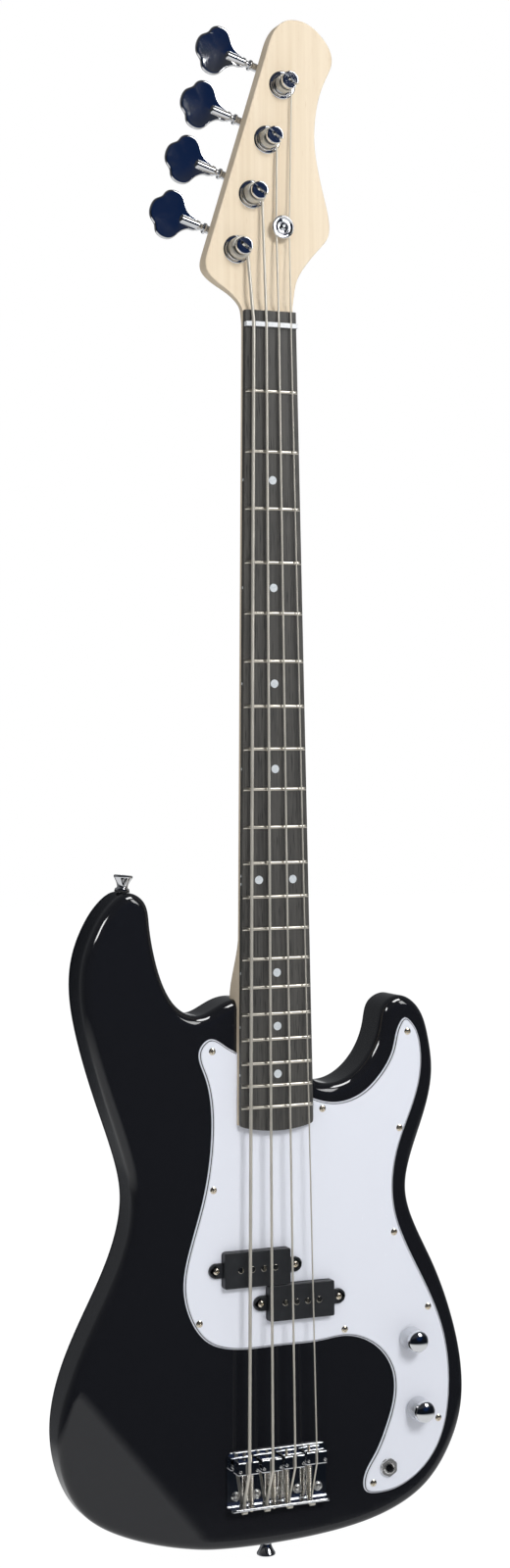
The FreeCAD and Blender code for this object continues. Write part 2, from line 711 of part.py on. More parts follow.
def head_blank():
    """Headstock outline: flared from the neck, straight along the keys, round at the tip."""
    start = head_point(HEAD_EDGE_START_SHARE)
    end = head_point(HEAD_EDGE_END_SHARE)
    way = (end - start).normalize()
    flare_points = [head_point(share) for share in HEAD_FLARE_SHARES] + [start]
    flare = Part.BSplineCurve()
    flare.interpolate(Points=flare_points, InitialTangent=Y_AXIS, FinalTangent=way)
    tip_points = [end] + [head_point(share) for share in HEAD_TIP_SHARES]
    tip = Part.BSplineCurve()
    tip.interpolate(Points=tip_points, InitialTangent=way, FinalTangent=-Y_AXIS)
    edges = [flare.toShape(), line(start, end), tip.toShape(), line(tip_points[-1], flare_points[0])]
    return prism(Part.Wire(edges), HEAD_BACK, NECK_STANDOFF)


def make_neck():
    """One piece of maple: headstock, round-backed shaft and square heel."""
    back = head_cutter(HEAD_BACK, NECK_STANDOFF - NECK_SHOULDER, HEAD_RAMP, HEAD_BACK - OVERRUN)
    head = head_blank().cut(back)
    heel_top = heel_end_y() + HEEL_LENGTH
    heel_full = NECK_STANDOFF + HEEL_DEPTH
    sections = [
        neck_section(BOARD_HEAD_REACH + HEAD_RAMP, NECK_STANDOFF - HEAD_BACK, NECK_SHOULDER),
        neck_section(0, NECK_DEPTH_NUT, NECK_SHOULDER),
        neck_section(fret_y(SEMITONES), NECK_DEPTH_OCTAVE, NECK_SHOULDER),
        neck_section(heel_top + HEEL_SWEEP, NECK_DEPTH_OCTAVE, NECK_SHOULDER),
        neck_section(heel_top, heel_full, heel_full - HEEL_EDGE)]
    shaft = Part.makeLoft(sections, True, True)
    heel = prism(neck_plan(heel_end_y(), heel_top, 0), -HEEL_DEPTH, NECK_STANDOFF)
    neck = head.fuse([shaft, heel]).removeSplitter()
    neck = neck.cut(head_cutter(HEAD_FACE, NECK_STANDOFF, HEAD_SCOOP, NECK_STANDOFF + OVERRUN))
    rims = [e for e in flat_edges(neck, HEAD_FACE) + flat_edges(neck, HEAD_BACK) if e.Length > HEAD_RAMP]
    neck = neck.makeFillet(HEAD_EDGE, rims)
    tools = [truss_rod_solid()]
    tools += [post(BUSH_RADIUS + RUN_FIT, HEAD_BACK - OVERRUN, OVERRUN, p.x, p.y) for p in post_places()]
    tools += [place_tuner(post(TUNER_SCREW_RADIUS, HEAD_BACK - OVERRUN, screw_tip_z(), x, y), index)
              for index in range(len(STRING_NAMES)) for x, y in plate_screw_places()]
    tools.append(post(TREE_SCREW_RADIUS, HEAD_FACE - TREE_SCREW_LENGTH, OVERRUN, tree_x(), tree_y()))
    screw_top = BODY_BACK - NECK_PLATE_THICKNESS + NECK_SCREW_LENGTH
    tools += [post(NECK_SCREW_RADIUS, BODY_BACK, screw_top, x, y) for x, y in neck_screw_places()]
    return cut_all(neck, tools)


def truss_rod_solid():
    """Steel rod down the middle of the neck with its adjusting nut at the heel."""
    z = NECK_STANDOFF - TRUSS_DROP
    start = heel_end_y()
    rod = Part.makeCylinder(TRUSS_RADIUS, -TRUSS_HEAD_GAP - start, V(0, start, z), Y_AXIS)
    nut = Part.makeCylinder(TRUSS_NUT_RADIUS, TRUSS_NUT_LENGTH, V(0, start, z), Y_AXIS)
    return rod.fuse(nut)


def crown_bar(rise):
    """Long round bar whose top is the crown of the fingerboard, raised by some height."""
    start = last_fret_y() - BOARD_OVERHANG - OVERRUN
    length = BOARD_HEAD_REACH + OVERRUN - start
    return Part.makeCylinder(BOARD_CROWN + rise, length, V(0, start, CROWN_AXIS), Y_AXIS)


def board_blank():
    """Fingerboard before its slots: tapered, crowned, with a bowed end and rounded corners."""
    end_y = last_fret_y() - BOARD_OVERHANG
    corner_y = end_y + BOARD_END_BULGE
    low = board_half(corner_y)
    high = board_half(BOARD_HEAD_REACH)
    left, right = V(-low, corner_y, 0), V(low, corner_y, 0)
    top_left, top_right = V(-high, BOARD_HEAD_REACH, 0), V(high, BOARD_HEAD_REACH, 0)
    edges = [arc(left, V(0, end_y, 0), right), line(right, top_right)]
    edges += [line(top_right, top_left), line(top_left, left)]
    solid = prism(Part.Wire(edges), NECK_STANDOFF, BOARD_TOP)
    boxes = [(e, e.BoundBox) for e in solid.Edges]
    corners = [e for e, box in boxes if box.YMax < corner_y + RUN_FIT and box.XLength < RUN_FIT]
    return solid.makeFillet(BOARD_CORNER, corners).common(crown_bar(0))


def fret_solid(y, crown, inset):
    """Fret bent to the crown of the board: a round top, if asked for, over a thin tang."""
    half_tang = TANG_WIDTH / 2
    foot = BOARD_TOP - TANG_DEPTH
    left, right = V(0, y - half_tang, BOARD_TOP), V(0, y + half_tang, BOARD_TOP)
    low_left, low_right = V(0, y - half_tang, foot), V(0, y + half_tang, foot)
    edges = [line(left, low_left), line(low_left, low_right), line(low_right, right)]
    if crown:
        edge_left, edge_right = V(0, y - FRET_WIDTH / 2, BOARD_TOP), V(0, y + FRET_WIDTH / 2, BOARD_TOP)
        top = V(0, y, BOARD_TOP + FRET_HEIGHT)
        edges += [line(right, edge_right), arc(edge_right, top, edge_left), line(edge_left, left)]
    else:
        edges.append(line(right, left))
    half_angle = math.degrees(math.asin((board_half(y) - inset) / BOARD_CROWN))
    face = Part.Face(Part.Wire(edges))
    face.rotate(V(0, 0, CROWN_AXIS), Y_AXIS, -half_angle)
    return face.revolve(V(0, 0, CROWN_AXIS), Y_AXIS, 2 * half_angle)


def dot_solids():
    """Round markers let into the board's face, and small ones in its bass edge."""
    blank = board_blank()
    found = []
    for number in SINGLE_DOT_FRETS + (DOUBLE_DOT_FRET,):
        y = (fret_y(number) + fret_y(number - 1)) / 2
        offsets = (-DOT_SPREAD, DOT_SPREAD) if number == DOUBLE_DOT_FRET else (0,)
        for x in offsets:
            floor = BOARD_TOP - crown_drop(x) - DOT_DEPTH
            found.append(post(DOT_RADIUS, floor, BOARD_TOP, x, y).common(blank))
        pair = spaced(len(offsets), 2 * SIDE_DOT_PITCH)
        for shift in pair:
            start = V(-board_half(y) - SIDE_DOT_DEPTH, y + shift, NECK_STANDOFF + SIDE_DOT_RISE)
            found.append(Part.makeCylinder(SIDE_DOT_RADIUS, 2 * SIDE_DOT_DEPTH, start, X_AXIS).common(blank))
    return found


def nut_solid(tools):
    """Nut let across the board, its top crowned and slotted for the strings."""
    seat = BOARD_TOP - NUT_SEAT_DEPTH
    low, high = board_half(0), board_half(NUT_THICKNESS)
    corners = [V(-low, 0, 0), V(low, 0, 0), V(high, NUT_THICKNESS, 0), V(-high, NUT_THICKNESS, 0)]
    solid = prism(Part.makePolygon(corners + corners[:1]), seat, BOARD_TOP + NUT_RISE)
    return cut_all(solid.common(crown_bar(NUT_RISE)), tools)


def make_board():
    """Fingerboard with its fret slots, marker holes and nut slot, and what sits in them."""
    numbers = range(1, FRET_COUNT + 1)
    dots = dot_solids()
    slots = [fret_solid(fret_y(number), False, FRET_INSET) for number in numbers]
    half = board_half(0)
    nut_seat = block(-2 * half, 2 * half, 0, NUT_THICKNESS, BOARD_TOP - NUT_SEAT_DEPTH, BOARD_TOP + OVERRUN)
    board = cut_all(cut_all(board_blank().cut(nut_seat), slots), dots)
    frets = [fret_solid(fret_y(number), True, FRET_INSET) for number in numbers]
    return board, Part.makeCompound(frets), Part.makeCompound(dots)


# Strings


def string_radius(index):
    """Half of a string's gauge."""
    return GAUGES[index] / 2


def saddle_rear(index):
    """Back face of a saddle; each thicker string's saddle sits a little further back."""
    stagger = SADDLE_STAGGER * (len(STRING_NAMES) - 1 - index)
    return -SCALE_LENGTH + SADDLE_LEAD - SADDLE_LENGTH - stagger


def saddle_top(index):
    """Top of a saddle, which follows the crown of the fingerboard."""
    return SADDLE_TOP - crown_drop(string_x(index, SADDLE_PITCH))


def post_places():
    """Middles of the tuning posts, in a slanting line."""
    first = head_point(TUNER_FIRST_SHARE)
    angle = math.radians(TUNER_LINE_ANGLE)
    way = V(math.sin(angle), math.cos(angle), 0)
    return [first + way * (TUNER_PITCH * index) for index in range(len(STRING_NAMES))]


def coil_radius(index):
    """Radius of a string's turns round its post, clear of the waist."""
    return POST_WAIST + LOOSE_FIT + string_radius(index)


def coil_base():
    """Height at which the lowest turn rests, over the collar of the bushing."""
    return HEAD_FACE + BUSH_FLANGE + POST_COLLAR + LOOSE_FIT


def tangent_angle(start, index):
    """Angle round the post at which a string from a point meets its turns, on the treble side."""
    away = start - post_places()[index]
    away.z = 0
    return math.atan2(away.y, away.x) + math.acos(coil_radius(index) / away.Length)


def nut_point(index):
    """Where a string rests in the nut."""
    x = string_x(index, NUT_PITCH)
    rise = FRET_HEIGHT + NUT_STRING_RISE + string_radius(index)
    return V(x, NUT_THICKNESS / 2, BOARD_TOP - crown_drop(x) + rise)


def tree_y():
    """Place of the string tree along the head."""
    return head_point((0, TREE_Y_SHARE)).y


def plan_at_tree(index):
    """Where a string passes the string tree, on its straight way to the post."""
    start = nut_point(index)
    angle = tangent_angle(start, index)
    centre = post_places()[index]
    end = centre + V(math.cos(angle), math.sin(angle), 0) * coil_radius(index)
    share = (tree_y() - start.y) / (end.y - start.y)
    return V(start.x + (end.x - start.x) * share, tree_y(), 0)


def tree_x():
    """The tree stands midway between the two thin strings."""
    low, high = plan_at_tree(len(STRING_NAMES) - 2), plan_at_tree(len(STRING_NAMES) - 1)
    return (low.x + high.x) / 2


def string_helix(index):
    """The turns of a string, climbing the post against the clock."""
    centre = post_places()[index]
    start = V(centre.x, centre.y, coil_base() + string_radius(index))
    return Helix(start, X_AXIS, Z_AXIS, coil_radius(index), GAUGES[index] + WINDING_GAP)


def string_corners(index):
    """Corners of a string's way from its ball end to the last one before the nut's far side."""
    x = string_x(index, SADDLE_PITCH)
    radius = string_radius(index)
    ball = V(x, UPSTAND_BACK - BALL_RADIUS, STRING_HOLE_RISE)
    hole = V(x, UPSTAND_FRONT + BRIDGE_THICKNESS, STRING_HOLE_RISE)
    rest = V(x, saddle_rear(index) + SADDLE_EDGE, saddle_top(index) - SADDLE_GROOVE + LOOSE_FIT + radius)
    corners = [ball, hole, rest, nut_point(index)]
    if index >= len(STRING_NAMES) - 2:
        under = plan_at_tree(index)
        under.z = HEAD_FACE + TREE_LIFT - LOOSE_FIT - radius
        corners.append(under)
    return corners


def rounded_path(corners, radius):
    """Straight runs joined by tangent arcs at the inner corners."""
    edges = []
    start = corners[0]
    for before, corner, after in zip(corners, corners[1:], corners[2:]):
        incoming = (corner - before).normalize()
        outgoing = (after - corner).normalize()
        cut = radius * math.tan(incoming.getAngle(outgoing) / 2)
        enter, leave = corner - incoming * cut, corner + outgoing * cut
        edges += [line(start, enter), corner_arc(enter, corner, leave)]
        start = leave
    return edges, start


def string_edges(index):
    """Whole way of a string: ball end, saddle, nut, then round its post."""
    corners = string_corners(index)
    helix = string_helix(index)
    angle = tangent_angle(corners[-1], index)
    helix.centre = helix.centre - Z_AXIS * (helix.pitch * angle / math.tau)
    tangent_point = helix.point(angle)
    way = helix.way(angle)
    slope = (tangent_point - corners[-1]).normalize()
    cut = STRING_BEND * math.tan(slope.getAngle(way) / 2)
    meeting = tangent_point - way * cut
    edges, start = rounded_path(corners + [meeting], STRING_BEND)
    approach = (meeting - corners[-1]).normalize()
    enter = meeting - approach * cut
    edges += [line(start, enter), corner_arc(enter, meeting, tangent_point)]
    end = angle + WINDING_TURNS[index] * math.tau
    edges += helix.edges(angle, end)
    edges.append(line(helix.point(end), helix.point(end) + helix.way(end) * GAUGES[index]))
    print("string", STRING_NAMES[index], "least gap", least_gap(helix, angle, end, string_radius(index)))
    return edges


def make_string(index):
    """String with its ball end."""
    x = string_x(index, SADDLE_PITCH)
    ball_start = V(x - BALL_WIDTH / 2, UPSTAND_BACK - BALL_RADIUS, STRING_HOLE_RISE)
    ball = Part.makeCylinder(BALL_RADIUS, BALL_WIDTH, ball_start, X_AXIS)
    return tube(string_edges(index), string_radius(index)).fuse(ball)


def string_clearance(index):
    """Room that a string takes where it crosses the saddle and the nut."""
    corners = string_corners(index)
    edges, start = rounded_path(corners[:4] + [nut_exit(corners)], STRING_BEND)
    edges.append(line(start, nut_exit(corners)))
    return tube(edges, string_radius(index) + LOOSE_FIT)


def nut_exit(corners):
    """Point on a string a little past the nut."""
    beyond = corners[4] if len(corners) > 4 else corners[3] + V(0, TREE_LIFT, -NUT_STRING_RISE)
    return corners[3] + (beyond - corners[3]).normalize() * BOARD_HEAD_REACH


# Tuning machines


def place_tuner(solid, index):
    """Copy of a tuner's piece, turned square to the line of posts and set at its own post."""
    moved = solid.copy()
    moved.rotate(ORIGIN, Z_AXIS, -TUNER_LINE_ANGLE)
    moved.translate(post_places()[index])
    return moved


def plate_screw_places():
    """Corners of a tuner's plate where its screws go."""
    half = PLATE_HALF_WIDTH - PLATE_SCREW_INSET
    low, high = PLATE_SCREW_INSET - PLATE_BELOW, PLATE_ABOVE - PLATE_SCREW_INSET
    return [(x, y) for x in (-half, half) for y in (low, high)]


def screw_tip_z():
    """How far the tuner screws reach into the head from behind."""
    return HEAD_BACK - PLATE_THICKNESS + TUNER_SCREW_LENGTH


def ear_inner():
    """Inner face of a tuner's ears, just clear of the worm's ends."""
    return WORM_LENGTH / 2 + LOOSE_FIT


def make_tuner_plate():
    """Back plate with two ears that carry the key's shaft."""
    low, high = HEAD_BACK - PLATE_THICKNESS, HEAD_BACK
    half = PLATE_HALF_WIDTH
    plate = rounded_block(-half, half, -PLATE_BELOW, PLATE_ABOVE, low, high, PLATE_CORNER)
    ears = []
    for side in (-1, 1):
        near, far = sorted((side * ear_inner(), side * (ear_inner() + EAR_THICKNESS)))
        tab = block(near, far, WORM_OFFSET - EAR_HALF_WIDTH, WORM_OFFSET + EAR_HALF_WIDTH, KEY_AXIS_Z, low)
        start = V(near, WORM_OFFSET, KEY_AXIS_Z)
        ears += [tab, Part.makeCylinder(EAR_HALF_WIDTH, EAR_THICKNESS, start, X_AXIS)]
    plate = plate.fuse(ears).removeSplitter()
    reach = PLATE_HALF_WIDTH
    tools = [Part.makeCylinder(KEY_JOURNAL + RUN_FIT, 2 * reach, V(-reach, WORM_OFFSET, KEY_AXIS_Z), X_AXIS)]
    tools.append(post(POST_RADIUS + LOOSE_FIT, low, high, 0, 0))
    tools += [post(TUNER_SCREW_RADIUS, low, high, x, y) for x, y in plate_screw_places()]
    return cut_all(plate, tools)


def make_bushing():
    """Flanged sleeve pressed into the head from the front."""
    flange_top = HEAD_FACE + BUSH_FLANGE
    bore = POST_RADIUS + RUN_FIT
    rim = BUSH_FLANGE_RADIUS - BUSH_FLANGE / 2
    return turned([(bore, HEAD_FACE - BUSH_LENGTH), (BUSH_RADIUS, HEAD_FACE - BUSH_LENGTH),
                   (BUSH_RADIUS, HEAD_FACE), (BUSH_FLANGE_RADIUS, HEAD_FACE),
                   (BUSH_FLANGE_RADIUS, HEAD_FACE + BUSH_FLANGE / 2), (rim, flange_top), (bore, flange_top)])


def wheel_blank():
    """Worm wheel: tapered teeth round a disc."""
    root = WHEEL_RADIUS - WHEEL_TOOTH
    step = math.tau / WHEEL_TEETH
    points = []
    for tooth in range(WHEEL_TEETH):
        for radius, share in ((root, -WHEEL_ROOT_SHARE), (WHEEL_RADIUS, -WHEEL_TIP_SHARE),
                              (WHEEL_RADIUS, WHEEL_TIP_SHARE), (root, WHEEL_ROOT_SHARE)):
            angle = math.pi / 2 + (tooth + share) * step
            points.append(V(radius * math.cos(angle), radius * math.sin(angle), 0))
    return prism(Part.makePolygon(points + points[:1]), WHEEL_TOP - WHEEL_THICKNESS, WHEEL_TOP)


def make_post():
    """Tuning post: worm wheel below, journal in the bushing, waist and slotted cap above."""
    journal_top = HEAD_FACE + BUSH_FLANGE + POST_COLLAR
    cap_low = HEAD_FACE + POST_HEIGHT - POST_CAP_HEIGHT
    top = HEAD_FACE + POST_HEIGHT
    hub_top = WHEEL_TOP + WHEEL_HUB_HEIGHT - RUN_FIT
    bottom = WHEEL_TOP - WHEEL_THICKNESS - WHEEL_SCREW_HEIGHT
    flare = POST_CAP - POST_WAIST
    stem = turned([(0, bottom), (WHEEL_SCREW_RADIUS, bottom), (WHEEL_SCREW_RADIUS, WHEEL_TOP),
                   (WHEEL_HUB, WHEEL_TOP), (WHEEL_HUB, hub_top), (POST_RADIUS, hub_top),
                   (POST_RADIUS, journal_top), (POST_WAIST, journal_top), (POST_WAIST, cap_low),
                   (POST_CAP, cap_low + flare / 2),
                   (POST_CAP, top - flare / 2), (POST_CAP - flare / 2, top), (0, top)])
    half = POST_SLOT_WIDTH / 2
    slot = block(-half, half, -POST_CAP, POST_CAP, top - POST_SLOT_DEPTH, top + OVERRUN)
    return stem.fuse(wheel_blank()).cut(slot)


def worm_thread():
    """Single thread of the worm, swept along its helix about the x axis."""
    centre = V(-WORM_PITCH * WORM_PHASE_SHARE, WORM_OFFSET, KEY_AXIS_Z)
    helix = Helix(centre, -Y_AXIS, X_AXIS, WORM_ROOT, WORM_PITCH)
    first = -math.tau * (WORM_TURNS - 1) / 2
    last = math.tau * (WORM_TURNS + 1) / 2
    edges = helix.edges(first, last)
    start = helix.point(first)
    outward = start - centre
    outward.x = 0
    outward.normalize()
    root_half, tip_half = WORM_PITCH * WORM_ROOT_SHARE, WORM_PITCH * WORM_TIP_SHARE
    rise = WORM_RADIUS - WORM_ROOT
    low = start - outward * (rise / 2)
    high = start + outward * rise
    root, tip = X_AXIS * root_half, X_AXIS * tip_half
    corners = [low - root, high - tip, high + tip, low + root]
    return Part.Wire(edges).makePipeShell([Part.makePolygon(corners + corners[:1])], True, True)


def key_leaf():
    """Cloverleaf grip: two side lobes and an end lobe, with its rim rounded."""
    lobe = LEAF_LENGTH * LEAF_LOBE_SHARE
    side = LEAF_WIDTH / 2 - lobe
    near = -KEY_REACH - lobe
    far = -KEY_REACH - LEAF_LENGTH + lobe
    low, high = KEY_AXIS_Z - LEAF_THICKNESS / 2, KEY_AXIS_Z + LEAF_THICKNESS / 2
    lobes = [post(lobe, low, high, near, WORM_OFFSET + side), post(lobe, low, high, near, WORM_OFFSET - side)]
    web = block(far, -KEY_REACH, WORM_OFFSET - KEY_COLLAR, WORM_OFFSET + KEY_COLLAR, low, high)
    leaf = post(lobe, low, high, far, WORM_OFFSET).fuse(lobes + [web]).removeSplitter()
    return leaf.makeFillet(LEAF_EDGE, flat_edges(leaf, low) + flat_edges(leaf, high))


def make_key():
    """Key: worm and journals inside, shank and cloverleaf outside the head."""
    outer = ear_inner() + EAR_THICKNESS

    def bar(radius, start, end):
        return Part.makeCylinder(radius, end - start, V(start, WORM_OFFSET, KEY_AXIS_Z), X_AXIS)

    pieces = [bar(WORM_ROOT, -WORM_LENGTH / 2, WORM_LENGTH / 2), bar(KEY_JOURNAL, -outer - LOOSE_FIT, outer)]
    pieces += [bar(KEY_SHANK, -KEY_REACH - LEAF_EDGE, -outer - LOOSE_FIT)]
    pieces += [bar(KEY_COLLAR, -KEY_REACH, -KEY_REACH + KEY_COLLAR_LENGTH), key_leaf(), worm_thread()]
    return pieces[0].fuse(pieces[1:])


def make_headstock_screws():
    """Screws of the tuner plates from behind, and the screw of the string tree from the front."""
    pan = screw(TUNER_SCREW_RADIUS, TUNER_SCREW_HEAD, TUNER_SCREW_HEAD_HEIGHT, TUNER_SCREW_LENGTH)
    pan.rotate(ORIGIN, X_AXIS, 2 * QUARTER_TURN)
    found = []
    for index in range(len(STRING_NAMES)):
        for x, y in plate_screw_places():
            found.append(place_tuner(placed(pan, x, y, HEAD_BACK - PLATE_THICKNESS), index))
    tree_top = HEAD_FACE + TREE_LIFT + TREE_THICKNESS
    length = tree_top - HEAD_FACE + TREE_SCREW_LENGTH
    tree = screw(TREE_SCREW_RADIUS, TREE_SCREW_HEAD, TREE_SCREW_HEAD_HEIGHT, length)
    found.append(placed(tree, tree_x(), tree_y(), tree_top))
    return Part.makeCompound(found)


def make_string_tree():
    """Round string tree: a stem on the head and a disc over the two thin strings."""
    low, lift, top = HEAD_FACE, HEAD_FACE + TREE_LIFT, HEAD_FACE + TREE_LIFT + TREE_THICKNESS
    rim = TREE_RADIUS - TREE_THICKNESS / 2
    profile = [(TREE_SCREW_RADIUS, low), (TREE_STEM, low), (TREE_STEM, lift), (rim, lift),
               (TREE_RADIUS, (lift + top) / 2), (rim, top), (TREE_SCREW_RADIUS, top)]
    return placed(turned(profile), tree_x(), tree_y())


# Pickguard, pickup and controls


def make_pickguard():
    """Sheet with a bevelled edge, cut round the neck, pickup, controls and screws."""
    sheet = prism(closed_curve([body_point(share) for share in GUARD_SHARES]), 0, GUARD_THICKNESS)
    sheet = sheet.makeChamfer(GUARD_BEVEL, flat_edges(sheet, GUARD_THICKNESS))
    tools = [prism(neck_plan(heel_end_y(), heel_end_y() + HEEL_LENGTH, GUARD_GAP), -OVERRUN, OVERRUN)]
    for x, y in pickup_places():
        half_x, half_y = PICKUP_LENGTH / 2 + GUARD_GAP, PICKUP_WIDTH / 2 + GUARD_GAP
        tools.append(block(x - half_x, x + half_x, y - half_y, y + half_y, -OVERRUN, OVERRUN))
    for share in (VOLUME_SHARE, TONE_SHARE, JACK_SHARE):
        place = body_point(share)
        tools.append(post(POT_BUSH_RADIUS, -OVERRUN, OVERRUN, place.x, place.y))
    tools += [post(GUARD_SCREW_RADIUS, -OVERRUN, OVERRUN, x, y) for x, y in guard_screw_places()]
    tools += [post(PICKUP_SCREW_RADIUS, -OVERRUN, OVERRUN, x, y) for x, y in pickup_screw_places()]
    for tool in tools:
        sheet = sheet.cut(tool)
    return sheet


def pole_places():
    """Pole pieces in a row across the middle of each cover."""
    return [(x + shift, y) for x, y in pickup_places() for shift in spaced(POLE_COUNT, POLE_PITCH)]


def make_pickup_covers():
    """Two hollow covers, each with a screw ear at either end and holes for its poles."""
    found = []
    for x, y in pickup_places():
        half_x, half_y = PICKUP_LENGTH / 2, PICKUP_WIDTH / 2
        shell = rounded_block(x - half_x, x + half_x, y - half_y, y + half_y,
                              -PICKUP_SKIRT, PICKUP_TOP, PICKUP_CORNER)
        shell = shell.makeFillet(PICKUP_CORNER / 2, flat_edges(shell, PICKUP_TOP))
        low, high = GUARD_THICKNESS, GUARD_THICKNESS + EAR_HEIGHT
        ears = [post(EAR_RADIUS, low, high, x + side * EAR_SPAN / 2, y) for side in (-1, 1)]
        ears.append(block(x - EAR_SPAN / 2, x + EAR_SPAN / 2, y - EAR_RADIUS, y + EAR_RADIUS, low, high))
        shell = shell.fuse(ears).removeSplitter()
        inner_x, inner_y = half_x - PICKUP_WALL, half_y - PICKUP_WALL
        roof = PICKUP_TOP - PICKUP_WALL
        tools = [block(x - inner_x, x + inner_x, y - inner_y, y + inner_y, -PICKUP_SKIRT, roof)]
        tools += [post(POLE_RADIUS + RUN_FIT, 0, PICKUP_TOP + OVERRUN, px, py) for px, py in pole_places()]
        tools += [post(PICKUP_SCREW_RADIUS, 0, PICKUP_TOP, px, py) for px, py in pickup_screw_places()]
        for tool in tools:
            shell = shell.cut(tool)
        found.append(shell)
    return Part.makeCompound(found)


def coil_top():
    """Top of the coils, under the roof of the covers."""
    return PICKUP_TOP - PICKUP_WALL - COIL_DROP


def make_pole_pieces():
    """Round magnets that stand through the coils and the covers."""
    return Part.makeCompound([post(POLE_RADIUS, -PICKUP_SKIRT, PICKUP_TOP + POLE_PROUD, x, y)
                              for x, y in pole_places()])


def make_pickup_coils():
    """Round-ended coils about the pole pieces."""
    half_y = COIL_WIDTH / 2
    half_x = PICKUP_LENGTH / 2 - COIL_MARGIN
    holes = [post(POLE_RADIUS + RUN_FIT, -PICKUP_SKIRT, PICKUP_TOP, x, y) for x, y in pole_places()]
    coils = [rounded_block(x - half_x, x + half_x, y - half_y, y + half_y,
                           -PICKUP_SKIRT, coil_top(), half_y - RUN_FIT)
             for x, y in pickup_places()]
    return Part.makeCompound([cut_all(coil, holes) for coil in coils])


def make_pickup_foam():
    """Foam pads that push the pickup up from the floor of its pockets."""
    half_x, half_y = FOAM_LENGTH / 2, FOAM_WIDTH / 2
    low, high = -PICKUP_POCKET_DEPTH, -PICKUP_SKIRT
    return Part.makeCompound([block(x - half_x, x + half_x, y - half_y, y + half_y, low, high)
                              for x, y in pickup_places()])


def make_pickup_screws():
    """Screws through the ears of the covers."""
    pan = screw(PICKUP_SCREW_RADIUS, PICKUP_SCREW_HEAD, PICKUP_SCREW_HEAD_HEIGHT, PICKUP_SCREW_LENGTH)
    seat = GUARD_THICKNESS + EAR_HEIGHT
    return Part.makeCompound([placed(pan, x, y, seat) for x, y in pickup_screw_places()])


def make_guard_screws():
    """Screws round the pickguard."""
    pan = screw(GUARD_SCREW_RADIUS, GUARD_SCREW_HEAD, GUARD_SCREW_HEAD_HEIGHT, GUARD_SCREW_LENGTH)
    return Part.makeCompound([placed(pan, x, y, GUARD_THICKNESS) for x, y in guard_screw_places()])


def make_knob(share):
    """Domed control knob, hollow below to clear the nut, bored for its shaft."""
    place = body_point(share)
    base = GUARD_THICKNESS + KNOB_LIFT
    shoulder = base + KNOB_HEIGHT
    dome_radius = (KNOB_TOP_RADIUS ** 2 + KNOB_DOME ** 2) / (2 * KNOB_DOME)
    lean = math.asin(KNOB_TOP_RADIUS / dome_radius) / 2
    crown = V(0, 0, shoulder + KNOB_DOME)
    middle = V(dome_radius * math.sin(lean), 0, crown.z - dome_radius * (1 - math.cos(lean)))
    bore, roof = SHAFT_RADIUS + RUN_FIT, shaft_top()
    corners = [V(0, 0, roof), V(bore, 0, roof), V(bore, 0, base + KNOB_HOLLOW_HEIGHT),
               V(KNOB_HOLLOW, 0, base + KNOB_HOLLOW_HEIGHT), V(KNOB_HOLLOW, 0, base), V(KNOB_RADIUS, 0, base),
               V(KNOB_TOP_RADIUS, 0, shoulder)]
    edges = [line(start, end) for start, end in zip(corners, corners[1:])]
    edges += [arc(corners[-1], middle, crown), line(crown, corners[0])]
    return placed(Part.Face(Part.Wire(edges)).revolve(ORIGIN, Z_AXIS, FULL_TURN), place.x, place.y)


def shaft_top():
    """Upper end of a control's shaft, inside its knob."""
    return GUARD_THICKNESS + KNOB_LIFT + KNOB_HEIGHT - KNOB_CAP


def make_shaft(share):
    """Shaft of a control, from inside its case up into the knob."""
    place = body_point(share)
    return post(SHAFT_RADIUS, POT_FLOOR - POT_HEIGHT, shaft_top(), place.x, place.y)


def make_pot_bodies():
    """Cases of the two controls under the pickguard, with their threaded bushings."""
    found = []
    for share in (VOLUME_SHARE, TONE_SHARE):
        place = body_point(share)
        bore, bush_top = SHAFT_RADIUS + RUN_FIT, GUARD_THICKNESS + POT_BUSH_HEIGHT
        profile = [(0, -POT_HEIGHT), (POT_RADIUS, -POT_HEIGHT), (POT_RADIUS, 0), (POT_BUSH_RADIUS, 0),
                   (POT_BUSH_RADIUS, bush_top), (bore, bush_top), (bore, POT_FLOOR - POT_HEIGHT),
                   (0, POT_FLOOR - POT_HEIGHT)]
        found.append(placed(turned(profile), place.x, place.y))
    return Part.makeCompound(found)


def make_control_nuts():
    """Washer and hexagon nut on each control and on the jack."""
    corner_radius = NUT_FLATS / 2 / math.cos(math.pi / 6)
    angles = [math.tau * side / 6 for side in range(7)]
    low = GUARD_THICKNESS + PANEL_WASHER
    found = []
    for share in (VOLUME_SHARE, TONE_SHARE, JACK_SHARE):
        place = body_point(share)
        corners = [V(corner_radius * math.cos(a), corner_radius * math.sin(a), 0) for a in angles]
        hexagon = prism(Part.makePolygon(corners), low, low + PANEL_NUT_HEIGHT)
        washer = post(PANEL_WASHER_RADIUS, GUARD_THICKNESS, low, 0, 0)
        bore = post(POT_BUSH_RADIUS, GUARD_THICKNESS, low + PANEL_NUT_HEIGHT, 0, 0)
        found += [placed(hexagon.cut(bore), place.x, place.y), placed(washer.cut(bore), place.x, place.y)]
    return Part.makeCompound(found)


